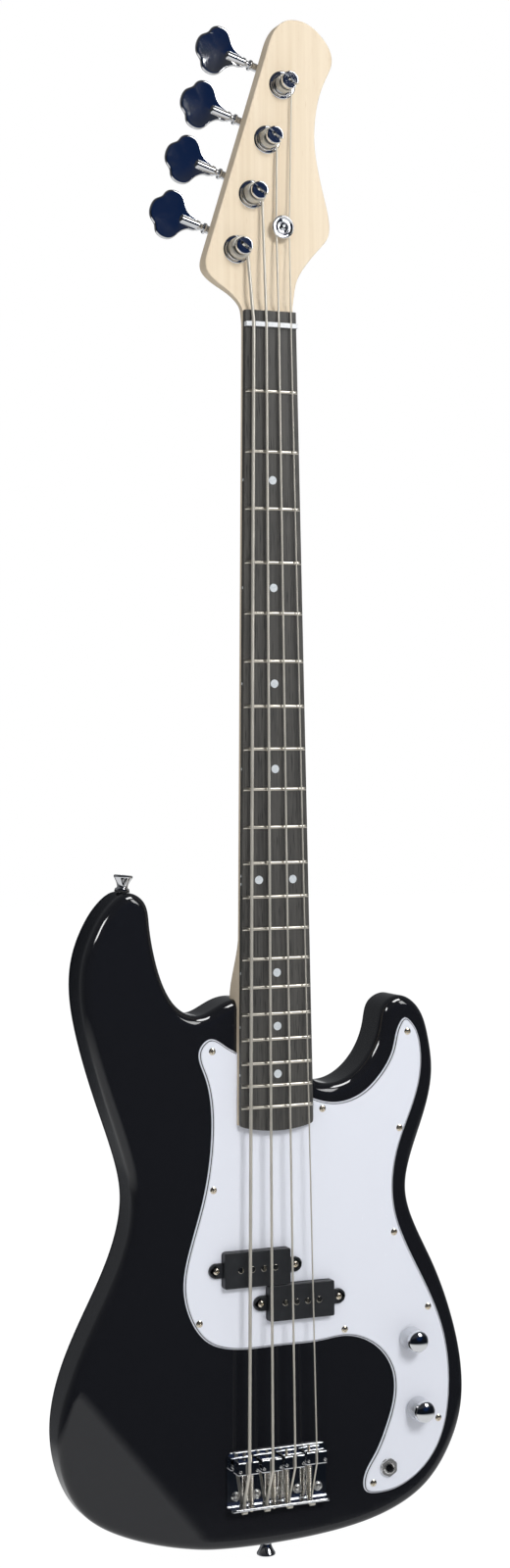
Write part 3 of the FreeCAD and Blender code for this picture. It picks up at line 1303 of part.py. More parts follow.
def make_jack():
    """Output jack: bored bush and frame, with a bent contact below."""
    place = body_point(JACK_SHARE)
    top = GUARD_THICKNESS + JACK_BUSH_HEIGHT
    frame = turned([(JACK_BORE, -JACK_FRAME), (JACK_FRAME_RADIUS, -JACK_FRAME), (JACK_FRAME_RADIUS, 0),
                    (JACK_BUSH_RADIUS, 0), (JACK_BUSH_RADIUS, top), (JACK_BORE, top)])
    half = JACK_LEAF_WIDTH / 2
    outer = JACK_FRAME_RADIUS
    inner = outer - JACK_LEAF_THICKNESS
    low = -JACK_FRAME - JACK_LEAF_LENGTH
    strip = block(inner, outer, -half, half, low, -JACK_FRAME)
    foot = block(JACK_BORE, outer, -half, half, low - JACK_LEAF_THICKNESS, low)
    return placed(frame.fuse([strip, foot]), place.x, place.y)


def make_capacitor():
    """Tone capacitor on the floor of the control cavity, between the two pots."""
    middle = (body_point(VOLUME_SHARE) + body_point(TONE_SHARE)) * 0.5
    half_x, half_y = CAP_WIDTH / 2, CAP_LENGTH / 2
    return rounded_block(middle.x - half_x, middle.x + half_x, middle.y - half_y, middle.y + half_y,
                         -CAVITY_DEPTH, CAP_HEIGHT - CAVITY_DEPTH, CAP_HEIGHT / 2)


# Bridge


def screw_side(index):
    """Which side of its string an intonation screw sits on: towards the centre line."""
    return 1 if string_x(index, SADDLE_PITCH) < 0 else -1


def intonation_x(index):
    """Place of an intonation screw across the bridge."""
    return string_x(index, SADDLE_PITCH) + screw_side(index) * INTONATION_OFFSET


def along_y(radius, start, end, x, z):
    """Round bar along the strings."""
    return Part.makeCylinder(radius, end - start, V(x, start, z), Y_AXIS)


def make_bridge_plate():
    """Bent plate with holes for its screws, the strings and the intonation screws."""
    half = BRIDGE_WIDTH / 2
    front = -SCALE_LENGTH + BRIDGE_FRONT
    base = block(-half, half, UPSTAND_BACK, front, 0, BRIDGE_THICKNESS)
    wall = block(-half, half, UPSTAND_BACK, UPSTAND_FRONT, 0, BRIDGE_UPSTAND)
    ends = [e for e in wall.Edges if e.BoundBox.ZMin > BRIDGE_THICKNESS and e.BoundBox.XLength < RUN_FIT]
    plate = base.fuse(wall.makeFillet(BRIDGE_CORNER, ends)).removeSplitter()
    bend = [e for e in plate.Edges if e.BoundBox.YMax < UPSTAND_BACK + RUN_FIT and e.BoundBox.ZMax < RUN_FIT]
    plate = plate.makeFillet(BRIDGE_THICKNESS, bend)
    tools = [post(BRIDGE_SCREW_RADIUS, -OVERRUN, OVERRUN, x, y) for x, y in bridge_screw_places()]
    start, end = UPSTAND_BACK - OVERRUN, UPSTAND_FRONT + RUN_FIT
    for index in range(len(STRING_NAMES)):
        x = string_x(index, SADDLE_PITCH)
        tools.append(along_y(string_radius(index) + LOOSE_FIT, start, end, x, STRING_HOLE_RISE))
        tools.append(along_y(INTONATION_RADIUS + RUN_FIT, start, end, intonation_x(index), INTONATION_RISE))
    return cut_all(plate, tools)


def make_bridge_screws():
    """Round-headed screws that hold the bridge to the body."""
    pan = screw(BRIDGE_SCREW_RADIUS, BRIDGE_SCREW_HEAD, BRIDGE_SCREW_HEAD_HEIGHT, BRIDGE_SCREW_LENGTH)
    return Part.makeCompound([placed(pan, x, y, BRIDGE_THICKNESS) for x, y in bridge_screw_places()])


def height_screw_places(index):
    """The two height screws near the sides of a saddle."""
    x = string_x(index, SADDLE_PITCH)
    reach = SADDLE_WIDTH / 2 - HEIGHT_SCREW_INSET
    y = saddle_rear(index) + SADDLE_LENGTH / 2
    return [(x - reach, y), (x + reach, y)]


def make_saddle(index):
    """Saddle block with a string groove and holes for its screws."""
    x = string_x(index, SADDLE_PITCH)
    half = SADDLE_WIDTH / 2
    rear = saddle_rear(index)
    low = BRIDGE_THICKNESS + SADDLE_FLOAT
    solid = block(x - half, x + half, rear, rear + SADDLE_LENGTH, low, saddle_top(index))
    ridge = [e for e in flat_edges(solid, saddle_top(index)) if e.BoundBox.YLength < RUN_FIT]
    solid = solid.makeFillet(SADDLE_EDGE, ridge)
    tools = [along_y(INTONATION_RADIUS + RUN_FIT, rear - OVERRUN, rear + SADDLE_LENGTH + OVERRUN,
                     intonation_x(index), INTONATION_RISE)]
    tools += [post(HEIGHT_SCREW_RADIUS, 0, SADDLE_TOP, sx, sy) for sx, sy in height_screw_places(index)]
    tools.append(string_clearance(index))
    for tool in tools:
        solid = solid.cut(tool)
    return solid


def make_height_screws(index):
    """Grub screws that stand a saddle on the bridge plate."""
    top = saddle_top(index) - HEIGHT_SCREW_SINK
    return Part.makeCompound([post(HEIGHT_SCREW_RADIUS, BRIDGE_THICKNESS, top, x, y)
                              for x, y in height_screw_places(index)])


def make_intonation_screw(index):
    """Long screw through the upstand into a saddle, its head behind the bridge."""
    x = intonation_x(index)
    tip = saddle_rear(index) + SADDLE_LENGTH + INTONATION_TIP
    shank = along_y(INTONATION_RADIUS, UPSTAND_BACK, tip, x, INTONATION_RISE)
    head_start = UPSTAND_BACK - INTONATION_HEAD_HEIGHT
    return shank.fuse(along_y(INTONATION_HEAD, head_start, UPSTAND_BACK, x, INTONATION_RISE))


def make_spring(index):
    """Open spring on an intonation screw, between the upstand and the saddle."""
    start = UPSTAND_FRONT + SPRING_WIRE / 2
    end = saddle_rear(index) - SPRING_WIRE / 2
    pitch = (end - start) / SPRING_TURNS
    helix = Helix(V(intonation_x(index), start, INTONATION_RISE), Z_AXIS, Y_AXIS, SPRING_RADIUS, pitch)
    last = SPRING_TURNS * math.tau
    print("spring", STRING_NAMES[index], "least gap", least_gap(helix, 0, last, SPRING_WIRE / 2))
    return tube(helix.edges(0, last), SPRING_WIRE / 2)


# Neck plate, wood screws and strap buttons


def make_neck_plate():
    """Plate on the back of the body under the four neck screws."""
    half_x, half_y = NECK_PLATE_WIDTH / 2, NECK_PLATE_LENGTH / 2
    middle = heel_end_y() + NECK_PLATE_FROM_END + half_y
    low = BODY_BACK - NECK_PLATE_THICKNESS
    start, end = middle - half_y, middle + half_y
    plate = rounded_block(-half_x, half_x, start, end, low, BODY_BACK, NECK_PLATE_CORNER)
    return cut_all(plate, [post(NECK_SCREW_RADIUS, low, BODY_BACK, x, y) for x, y in neck_screw_places()])


def button_places():
    """Strap buttons: place on the rim and lean of the axis from the way to the head."""
    return [(body_point(HORN_BUTTON_SHARE), HORN_BUTTON_LEAN),
            (body_point(TAIL_BUTTON_SHARE), 2 * QUARTER_TURN)]


def stand_button(solid, place, lean):
    """Copy of a piece turned from upright to stand out of the rim of the body."""
    moved = solid.copy()
    moved.rotate(ORIGIN, X_AXIS, -QUARTER_TURN)
    moved.rotate(ORIGIN, Z_AXIS, -lean)
    moved.translate(V(place.x, place.y, BODY_BACK / 2))
    return moved


def strap_screw():
    """Screw of a strap button, its head sunk in the flare."""
    seat = FELT_THICKNESS + BUTTON_HEIGHT - BUTTON_SINK
    low = seat - BUTTON_SINK
    head = turned([(0, low), (BUTTON_BORE, low), (BUTTON_SCREW_HEAD, seat), (0, seat)])
    return head.fuse(post(BUTTON_BORE, low - BUTTON_SCREW_LENGTH, low, 0, 0))


def button_solid():
    """Flared strap button, bored and countersunk for its screw."""
    foot, top = FELT_THICKNESS, FELT_THICKNESS + BUTTON_HEIGHT
    seat = top - BUTTON_SINK
    neck = foot + BUTTON_FOOT_HEIGHT
    profile = [(BUTTON_BORE, foot), (BUTTON_FOOT, foot), (BUTTON_WAIST, neck),
               (BUTTON_WAIST, neck + BUTTON_FOOT_HEIGHT), (BUTTON_HEAD, top - BUTTON_RIM),
               (BUTTON_HEAD, top), (BUTTON_SCREW_HEAD, top), (BUTTON_SCREW_HEAD, seat),
               (BUTTON_BORE, seat - BUTTON_SINK)]
    return turned(profile)


def make_strap_felts(body):
    """Felt washers squeezed between the strap buttons and the rim."""
    ring = post(FELT_RADIUS, -FELT_THICKNESS, FELT_THICKNESS, 0, 0)
    ring = ring.cut(post(BUTTON_BORE, -OVERRUN, OVERRUN, 0, 0))
    return Part.makeCompound([stand_button(ring, place, lean).cut(body) for place, lean in button_places()])


def make_wood_screws():
    """Four neck screws from the back and the two strap button screws."""
    pan = screw(NECK_SCREW_RADIUS, NECK_SCREW_HEAD, NECK_SCREW_HEAD_HEIGHT, NECK_SCREW_LENGTH)
    pan.rotate(ORIGIN, X_AXIS, 2 * QUARTER_TURN)
    found = [placed(pan, x, y, BODY_BACK - NECK_PLATE_THICKNESS) for x, y in neck_screw_places()]
    found += [stand_button(strap_screw(), place, lean) for place, lean in button_places()]
    return Part.makeCompound(found)


def all_tuners(solid):
    """One copy of a tuner's fixed piece at each post."""
    return Part.makeCompound([place_tuner(solid, index) for index in range(len(STRING_NAMES))])


def make_nodes():
    """All the named pieces, on the bench."""
    strings = range(len(STRING_NAMES))
    nodes = {"body": make_body(), "neck": make_neck(), "truss_rod": truss_rod_solid()}
    nodes["fingerboard"], nodes["frets"], nodes["position_dots"] = make_board()
    nodes["nut"] = nut_solid([string_clearance(index) for index in strings])
    nodes["neck_plate"] = make_neck_plate()
    nodes["wood_screws"] = make_wood_screws()
    nodes["pickguard"] = make_pickguard()
    nodes["pickguard_screws"] = make_guard_screws()
    nodes["pickup_covers"] = make_pickup_covers()
    nodes["pole_pieces"] = make_pole_pieces()
    nodes["pickup_coils"] = make_pickup_coils()
    nodes["pickup_foam"] = make_pickup_foam()
    nodes["pickup_screws"] = make_pickup_screws()
    nodes["bridge_plate"] = make_bridge_plate()
    nodes["bridge_screws"] = make_bridge_screws()
    key, tuner_post = make_key(), make_post()
    for index, name in enumerate(STRING_NAMES):
        nodes["saddle_" + name] = make_saddle(index)
        nodes["height_screws_" + name] = make_height_screws(index)
        nodes["intonation_screw_" + name] = make_intonation_screw(index)
        nodes["spring_" + name] = make_spring(index)
        nodes["string_" + name] = make_string(index)
        nodes["tuner_key_" + name] = place_tuner(key, index)
        nodes["tuner_post_" + name] = place_tuner(tuner_post, index)
    nodes["tuner_plates"] = all_tuners(make_tuner_plate())
    nodes["tuner_bushings"] = all_tuners(make_bushing())
    nodes["headstock_screws"] = make_headstock_screws()
    nodes["string_tree"] = make_string_tree()
    nodes["strap_buttons"] = Part.makeCompound([stand_button(button_solid(), place, lean)
                                                for place, lean in button_places()])
    nodes["strap_felts"] = make_strap_felts(nodes["body"])
    nodes["knob_volume"] = make_knob(VOLUME_SHARE)
    nodes["knob_tone"] = make_knob(TONE_SHARE)
    nodes["pot_shaft_volume"] = make_shaft(VOLUME_SHARE)
    nodes["pot_shaft_tone"] = make_shaft(TONE_SHARE)
    nodes["pot_bodies"] = make_pot_bodies()
    nodes["output_jack"] = make_jack()
    nodes["control_nuts"] = make_control_nuts()
    nodes["capacitor"] = make_capacitor()
    return nodes


def main():
    """Stand every piece up with the head at the top and write it."""
    os.makedirs("parts", exist_ok=True)
    for name, solid in make_nodes().items():
        upright = solid.copy()
        upright.rotate(ORIGIN, X_AXIS, QUARTER_TURN)
        upright.exportStep(os.path.join("parts", name + ".step"))


main()
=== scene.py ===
"""Visual model of a four-string electric bass guitar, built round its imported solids.

Sizes are bench millimetres: x to the treble side, y along the strings to the head, z out of the front, with
the nut at y = 0. A bench point (x, y, z) stands at (x, -z, y) / 1000 in the frame.
"""

import abc
import logging
import math
from dataclasses import dataclass, field, replace
from enum import Enum
from typing import Any, Dict, List, Mapping, Optional, Sequence, Tuple, Union

import bmesh
import bpy
import numpy as np
from mathutils import Matrix, Vector
from mathutils.geometry import delaunay_2d_cdt
from numpy.typing import NDArray


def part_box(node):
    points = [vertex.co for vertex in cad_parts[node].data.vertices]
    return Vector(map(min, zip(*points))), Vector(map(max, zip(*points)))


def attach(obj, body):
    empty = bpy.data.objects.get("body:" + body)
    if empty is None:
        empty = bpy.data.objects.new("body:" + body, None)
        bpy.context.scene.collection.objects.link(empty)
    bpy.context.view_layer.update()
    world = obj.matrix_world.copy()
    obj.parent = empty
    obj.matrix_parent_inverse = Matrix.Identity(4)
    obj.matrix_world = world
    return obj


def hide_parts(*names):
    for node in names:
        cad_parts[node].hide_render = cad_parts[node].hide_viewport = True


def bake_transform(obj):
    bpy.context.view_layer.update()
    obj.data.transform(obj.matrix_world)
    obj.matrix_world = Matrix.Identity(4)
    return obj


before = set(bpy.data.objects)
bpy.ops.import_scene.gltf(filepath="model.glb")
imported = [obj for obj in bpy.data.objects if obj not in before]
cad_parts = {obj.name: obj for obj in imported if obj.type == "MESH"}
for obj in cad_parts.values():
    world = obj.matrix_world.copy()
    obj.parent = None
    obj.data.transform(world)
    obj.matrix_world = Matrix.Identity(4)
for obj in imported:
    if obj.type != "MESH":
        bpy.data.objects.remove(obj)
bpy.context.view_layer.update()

Array = NDArray[np.float64]
Pair = Tuple[float, float]
Triple = Tuple[float, float, float]
Quad = Tuple[float, float, float, float]
Place = Optional[Sequence[float]]
Term = Union["Value", float]
log = logging.getLogger("bass_guitar")

MILLIMETRE = 0.001
RIM_SUPPORT = 0.15
WELD = 1e-6
TINY = 1e-9
SHARP_ANGLE = 38.0
EASE_SHARE = 0.45
TURN = 48
FINE_TURN = 64
INSIDE_TRIANGLES = 1
ROOT = "root"
UV_NAME = "Surface"
LACQUERED_BODY = "body_lacquered"
STRINGS = ("e", "a", "d", "g")
FRONT = np.array([0.0, 0.0, 1.0])
BACK = np.array([0.0, 0.0, -1.0])


class Side(Enum):
    """The two sides of the instrument, as the sign of x."""

    BASS = -1
    TREBLE = 1


# Surfaces


@dataclass
class Surface:
    """Points and the faces that join them, in bench millimetres.

    Attributes:
        points: Rows of x, y and z.
        quads: Rows of four point numbers.
        tris: Rows of three point numbers.
        uv: Rows of two lengths, round the surface and along it, or nothing.
    """

    points: Array
    quads: Array = field(default_factory=lambda: np.zeros((0, 4), int))
    tris: Array = field(default_factory=lambda: np.zeros((0, 3), int))
    uv: Optional[Array] = None

    def moved(self, offset: Sequence[float], turn: Optional[Array] = None) -> "Surface":
        """Copy turned by a matrix, whose columns are the new axes, and then shifted."""
        points = self.points if turn is None else self.points @ np.asarray(turn).T
        return replace(self, points=points + np.asarray(offset, float))


def joined(parts: Sequence[Surface]) -> Surface:
    """Several surfaces as one: the point numbers of each are raised by the points before it.

    Args:
        parts: Surfaces that either all have uv or all lack it.

    Returns:
        The surface that holds them all.
    """
    starts = np.cumsum([0] + [len(part.points) for part in parts])
    uv = None if parts[0].uv is None else np.concatenate([part.uv for part in parts])
    return Surface(
        np.concatenate([part.points for part in parts]),
        np.concatenate([part.quads + start for part, start in zip(parts, starts)]),
        np.concatenate([part.tris + start for part, start in zip(parts, starts)]),
        uv,
    )


def spread(surface: Surface, places: Sequence[Sequence[float]], turn: Optional[Array] = None) -> Surface:
    """Copies of a surface at several places, as one surface."""
    return joined([surface.moved(place, turn) for place in places])


def unit(vectors: Array) -> Array:
    """Vectors shortened or lengthened to one."""
    vectors = np.asarray(vectors, float)
    return vectors / np.maximum(np.linalg.norm(vectors, axis=-1, keepdims=True), TINY)


def facing(direction: Sequence[float], across: Sequence[float] = (1.0, 0.0, 0.0)) -> Array:
    """Matrix that turns z to a direction and keeps x as near as it can to another."""
    z = unit(np.asarray(direction, float))
    y = unit(np.cross(z, across))
    return np.stack([np.cross(y, z), y, z], axis=1)


TO_BASS = facing((-1.0, 0.0, 0.0), (0.0, 1.0, 0.0))
TO_TREBLE = facing((1.0, 0.0, 0.0), (0.0, 1.0, 0.0))


def smooth_step(low: float, high: float, value: Array) -> Array:
    """Rise from 0 to 1 between two values: 3t^2 - 2t^3 of the clipped share t."""
    t = np.clip((value - low) / (high - low), 0.0, 1.0)
    return t * t * (3.0 - 2.0 * t)


def grid(points: Array, closed: bool = True, uv: Optional[Array] = None) -> Surface:
    """Quads between the neighbours of a grid of points.

    Args:
        points: Rows by columns by three.
        closed: Whether the last column joins the first.
        uv: Rows by columns by two, for an open grid.

    Returns:
        The surface; rows that shrink to one point close it there.
    """
    rows, columns = points.shape[:2]
    index = np.arange(rows * columns).reshape(rows, columns)
    if closed:
        index = np.concatenate([index, index[:, :1]], axis=1)
    quads = np.stack([index[:-1, :-1], index[:-1, 1:], index[1:, 1:], index[1:, :-1]], axis=-1)
    flat = None if uv is None else uv.reshape(-1, 2)
    return Surface(points.reshape(-1, 3), quads.reshape(-1, 4), uv=flat)


def angles(count: int) -> Array:
    """Even angles round a full turn."""
    return np.linspace(0.0, math.tau, count, endpoint=False)


def quarter(count: int) -> Array:
    """Even angles over a quarter turn, both ends included."""
    return np.linspace(0.0, math.pi / 2, count)


def spots(*numbers: Array) -> Array:
    """Points from their two or three numbers, which are spread over one shape."""
    return np.stack(np.broadcast_arrays(*numbers), axis=-1)


def raised(plan: Array, height: Array) -> Array:
    """Points of a plan with their height as third number."""
    return spots(plan[..., 0], plan[..., 1], height)


def swept(radius: Array, height: Array, turn: Array) -> Array:
    """Rows of points round z: (r cos a, r sin a, h) for each radius r, height h and angle a."""
    return spots(radius * np.cos(turn), radius * np.sin(turn), height)


def drawn(row: Array, point: Place = None) -> Array:
    """A row of a grid drawn together in a point, or in its own middle."""
    middle = row.mean(axis=1, keepdims=True) if point is None else np.asarray(point, float)
    return np.broadcast_to(middle, row.shape)


def capped(points: Array, first: Place = None, last: Place = None) -> Surface:
    """Rows of points whose ends are drawn together in given points, or in their own middles."""
    return grid(np.concatenate([drawn(points[:1], first), points, drawn(points[-1:], last)]))


def lathe(profile: Sequence[Pair], steps: int = TURN, ring: bool = False) -> Surface:
    """Profile carried round z.

    Args:
        profile: Radius and height pairs, from axis to axis or round a ring.
        steps: Columns round the turn.
        ring: Whether the profile closes on itself.

    Returns:
        The turned surface.
    """
    rows = np.asarray(profile, float)
    if ring:
        rows = np.concatenate([rows, rows[:1]])
    return grid(swept(rows[:, :1], rows[:, 1:], angles(steps)))


def eased(corners: Sequence[Sequence[float]], reach: float, steps: int = 5, closed: bool = False) -> Array:
    """Path with its corners rounded.

    Each corner P gives way to the curve (1-t)^2 A + 2t(1-t) P + t^2 B, where A and B lie on its two sides at
    the given reach from P, or at a share of a shorter side.

    Args:
        corners: Points of two or three numbers.
        reach: Distance from a corner to where its curve starts.
        steps: Points on each curve.
        closed: Whether the path closes on itself.

    Returns:
        The rounded path.
    """
    points = np.asarray(corners, float)
    if closed:
        middle, before, after = points, np.roll(points, 1, axis=0), np.roll(points, -1, axis=0)
    else:
        middle, before, after = points[1:-1], points[:-2], points[2:]

    def toward(other: Array) -> Array:
        way = other - middle
        length = np.maximum(np.linalg.norm(way, axis=1, keepdims=True), TINY)
        return middle + way / length * np.minimum(reach, EASE_SHARE * length)

    t = np.linspace(0.0, 1.0, steps)[None, :, None]
    start, end = toward(before)[:, None], toward(after)[:, None]
    curve = (1 - t) ** 2 * start + 2 * t * (1 - t) * middle[:, None] + t ** 2 * end
    curve = curve.reshape(-1, points.shape[1])
    return curve if closed else np.concatenate([points[:1], curve, points[-1:]])


def turned(corners: Sequence[Pair], ease: float, steps: int, ring: bool = False) -> Surface:
    """Lathe of a profile whose corners are eased."""
    return lathe(eased(corners, ease, closed=ring), steps, ring)


def barrel(radius: float, low: float, high: float, ease: float, steps: int, bore: float = 0.0) -> Surface:
    """Short round rod between two heights, or a ring where it has a bore."""
    return turned([(bore, low), (radius, low), (radius, high), (bore, high)], ease, steps, bore > 0.0)


def tube(path: Array, radius: float, up: Sequence[float], sides: int = 14) -> Surface:
    """Circle carried along a path: p + r (cos a n + sin a b), with n across the path and b = n x tangent.

    Args:
        path: Points of the centre line.
        radius: Radius of the tube.
        up: Direction that the path never runs along.
        sides: Columns round the tube.

    Returns:
        Tube with closed ends, and uv lengths round and along it.
    """
    tangent = unit(np.gradient(path, axis=0))
    across = unit(np.cross(tangent, np.asarray(up, float)))
    above = np.cross(across, tangent)
    turn = np.linspace(0.0, math.tau, sides + 1)[None, :, None]
    points = path[:, None] + radius * (np.cos(turn) * across[:, None] + np.sin(turn) * above[:, None])
    points = np.concatenate([drawn(points[:1], path[0]), points, drawn(points[-1:], path[-1])])
    run = np.concatenate([[0.0], np.cumsum(np.linalg.norm(np.diff(path, axis=0), axis=1))])
    run = np.concatenate([run[:1], run, run[-1:]])
    return grid(points, closed=False, uv=spots(radius * turn[..., 0], run[:, None]))


def spline(points: Sequence[Pair], count: int, ends: Optional[Tuple[Pair, Pair]] = None) -> Array:
    """Smooth curve through points: closed, or open between two end directions.

    A cubic on the chord lengths h, whose slopes m solve h1 m0 + 2 (h0 + h1) m1 + h0 m2 = 3 (h1 d0 + h0 d1),
    where d is the rise over the run on each side of a point.

    Args:
        points: Points of the curve.
        count: Points wanted along it.
        ends: Unit directions at the first and last point of an open curve.

    Returns:
        Points evenly spread over the chord lengths.
    """
    given = np.asarray(points, float)
    knots = np.concatenate([given, given[:1]]) if ends is None else given
    step = np.linalg.norm(np.diff(knots, axis=0), axis=1)
    rise = np.diff(knots, axis=0) / step[:, None]
    size = len(given)
    matrix = np.zeros((size, size))
    inner = np.arange(size) if ends is None else np.arange(1, size - 1)
    before, after = step[inner - 1], step[inner % len(step)]
    matrix[inner, (inner - 1) % size] = after
    matrix[inner, inner] = 2 * (before + after)
    matrix[inner, (inner + 1) % size] = before
    right = np.zeros_like(given)
    right[inner] = 3 * (after[:, None] * rise[inner - 1] + before[:, None] * rise[inner % len(step)])
    if ends is not None:
        matrix[[0, -1], [0, -1]] = 1.0
        right[0], right[-1] = ends
    slope = np.linalg.solve(matrix, right)
    slope = np.concatenate([slope, slope[:1]]) if ends is None else slope
    along = np.concatenate([[0.0], np.cumsum(step)])
    where = np.linspace(0.0, along[-1], count, endpoint=ends is not None)
    span = np.clip(np.searchsorted(along, where, side="right") - 1, 0, len(step) - 1)
    h = step[span][:, None]
    t = ((where - along[span]) / step[span])[:, None]
    first = (1 + 2 * t) * (1 - t) ** 2 * knots[span] + t * (1 - t) ** 2 * h * slope[span]
    return first + t ** 2 * (3 - 2 * t) * knots[span + 1] + t ** 2 * (t - 1) * h * slope[span + 1]


def counter_clockwise(outline: Array) -> Array:
    """The outline, reversed if its signed area says that it runs clockwise."""
    ahead = np.roll(outline, -1, axis=0)
    area = np.sum(outline[:, 0] * ahead[:, 1] - ahead[:, 0] * outline[:, 1])
    return outline if area > 0 else outline[::-1]


def outward(outline: Array) -> Array:
    """Unit normals of a counter-clockwise outline, square to the chord between each point's neighbours."""
    chord = np.roll(outline, -1, axis=0) - np.roll(outline, 1, axis=0)
    return unit(spots(chord[:, 1], -chord[:, 0]))


def inside(points: Array, outline: Array) -> NDArray[np.bool_]:
    """Whether points lie in an outline: an odd number of its sides crosses the ray to the right."""
    x, y = points[:, :1], points[:, 1:2]
    start, end = outline, np.roll(outline, -1, axis=0)
    crossed = (start[:, 1] > y) != (end[:, 1] > y)
    run = np.where(np.abs(end[:, 1] - start[:, 1]) < TINY, TINY, end[:, 1] - start[:, 1])
    at = start[:, 0] + (y - start[:, 1]) * (end[:, 0] - start[:, 0]) / run
    return (crossed & (x < at)).sum(axis=1) % 2 == 1


def lattice(outline: Array, pitch: float, margin: float) -> Array:
    """Points of a square lattice that lie in an outline, no nearer to its points than a margin."""
    low, high = outline.min(axis=0), outline.max(axis=0)
    x, y = np.meshgrid(np.arange(low[0], high[0], pitch), np.arange(low[1], high[1], pitch))
    points = spots(x.ravel(), y.ravel())
    points = points[inside(points, outline)]
    gap = np.sqrt(((points[:, None] - outline[None]) ** 2).sum(axis=2)).min(axis=1)
    return points[gap > margin]


def filled(rim: Array, inner: Array, holes: Sequence[Array] = ()) -> NDArray[np.int64]:
    """Triangles that fill an outline through inner points, less its holes.

    The outlines are kept as edges of a Delaunay triangulation, and a triangle centred in a hole is dropped.

    Args:
        rim: Outer outline.
        inner: Points inside it.
        holes: Outlines of the holes.

    Returns:
        Rows of three numbers into the rim, the holes and the inner points, in that order.
    """
    loops = [rim, *holes]
    starts = np.cumsum([0] + [len(loop) for loop in loops])
    ranks = [np.arange(len(loop)) for loop in loops]
    edges = [spots(rank, np.roll(rank, -1)) + start for rank, start in zip(ranks, starts)]
    flat = np.concatenate([*loops, inner])
    found = delaunay_2d_cdt([Vector(p) for p in flat.tolist()], np.concatenate(edges).tolist(), [],
                            INSIDE_TRIANGLES, WELD)
    kept = np.fromiter((source[0] if source else -1 for source in found[3]), int)
    tris = kept[np.array(found[2])]
    tris = tris[(tris >= 0).all(axis=1)]
    centres = flat[tris].mean(axis=1)
    dropped = [inside(centres, hole) for hole in holes]
    return tris[~np.any(dropped, axis=0)] if holes else tris


NO_POINTS = np.zeros((0, 2))


def layered(plan: Array, heights: Sequence[float], holes: Sequence[Array] = ()) -> Surface:
    """Outlines at rising heights, joined by a wall and closed by flat caps.

    Args:
        plan: Rings by points by two.
        heights: Height of each ring, from below to above.
        holes: Outlines cut right through.

    Returns:
        The closed surface.
    """
    level = np.asarray(heights, float)[:, None]
    parts = [grid(raised(plan, level))]
    for end in (0, -1):
        flat = raised(np.concatenate([plan[end], *holes]), level[end])
        parts.append(Surface(flat, tris=filled(plan[end], NO_POINTS, holes)))
    parts += [grid(raised(hole[None], level[[0, -1]])) for hole in holes]
    return joined(parts)


def stack(outline: Array, rings: Sequence[Pair], holes: Sequence[Array] = ()) -> Surface:
    """Outline carried through rings and closed by flat caps: each point p stands at p - inset n, at a height.

    Args:
        outline: Closed outline in x and y.
        rings: Inset and height of each ring, from below to above.
        holes: Outlines cut right through.

    Returns:
        The closed surface.
    """
    rim = counter_clockwise(np.asarray(outline, float))
    levels = np.asarray(rings, float)
    return layered(rim[None] - levels[:, :1, None] * outward(rim)[None], levels[:, 1], holes)


def rounded_rings(low: float, high: float, edge: float, steps: int = 5, both: bool = True) -> List[Pair]:
    """Rings of a plate whose rims are rounded: inset e (1 - cos a) at height e (1 - sin a) from each face.

    One more ring lies on each face just inside its rim, so that the face keeps its flat shading.
    """
    a = quarter(steps)
    inset, sink = edge * (1 - np.cos(a)), edge * (1 - np.sin(a))
    inset, sink = np.append(inset, edge + RIM_SUPPORT), np.append(sink, 0.0)
    above, below = spots(inset, high - sink), spots(inset, low + sink)[::-1]
    return [*(below.tolist() if both else [[0.0, low]]), *above.tolist()]


def rectangle(half_x: float, half_y: float, corner: float, steps: int = 8) -> Array:
    """Rectangle about the origin with its corners rounded by arcs."""
    a = quarter(steps)
    right = np.array([half_x - corner, half_y - corner]) + corner * spots(np.cos(a), np.sin(a))
    left = right[::-1] * (-1, 1)
    return np.concatenate([right, left, -right, -left])


def circle(radius: float, x: float = 0.0, y: float = 0.0, steps: int = 40) -> Array:
    """Round outline."""
    a = angles(steps)
    return spots(x + radius * np.cos(a), y + radius * np.sin(a))


def screw(radius: float, head: float, height: float, length: float) -> Surface:
    """Domed screw along z with a cross recess: its dome h (1 - s^2) loses a depth where the cross lies.

    The cross is where the lesser of |x| and |y| is under a share of the head and the distance s from the
    middle is under another share, both with soft edges.

    Args:
        radius: Radius of the shank.
        head: Radius of the head.
        height: Height of the head above z = 0.
        length: Length of the shank below it.

    Returns:
        The closed surface.
    """
    arm_share, reach_share, soft_share = 0.13, 0.62, 0.09
    depth_share, rim_share, point_share = 0.75, 0.25, 0.2
    turn = angles(TURN)
    share = np.linspace(1.0, 0.0, 16)[:, None]
    x, y = head * share * np.cos(turn), head * share * np.sin(turn)
    arm = np.clip((arm_share - np.minimum(np.abs(x), np.abs(y)) / head) / soft_share + 0.5, 0.0, 1.0)
    reach = np.clip((reach_share - share) / soft_share + 0.5, 0.0, 1.0)
    z = height * (rim_share + (1 - rim_share) * (1 - share ** 2)) - depth_share * height * arm * reach
    shank = np.array([(0.0, -length), (radius * point_share, -length + radius),
                      (radius, -length + 3 * radius), (radius, 0.0), (head, 0.0)])
    return grid(np.concatenate([swept(shank[:, :1], shank[:, 1:], turn), spots(x, y, z)]))


def behind(size: Quad) -> Surface:
    """Screw of a size whose head faces the back."""
    return screw(*size).moved((0.0, 0.0, 0.0), facing(BACK))


def to_frame(points: Array) -> Array:
    """Bench millimetres to the frame's metres."""
    return spots(points[:, 0], -points[:, 2], points[:, 1]) * MILLIMETRE


def point_in_frame(point: Sequence[float]) -> Triple:
    """One bench point in the frame's metres."""
    return tuple(to_frame(np.asarray(point, float)[None])[0])


# Shader maths


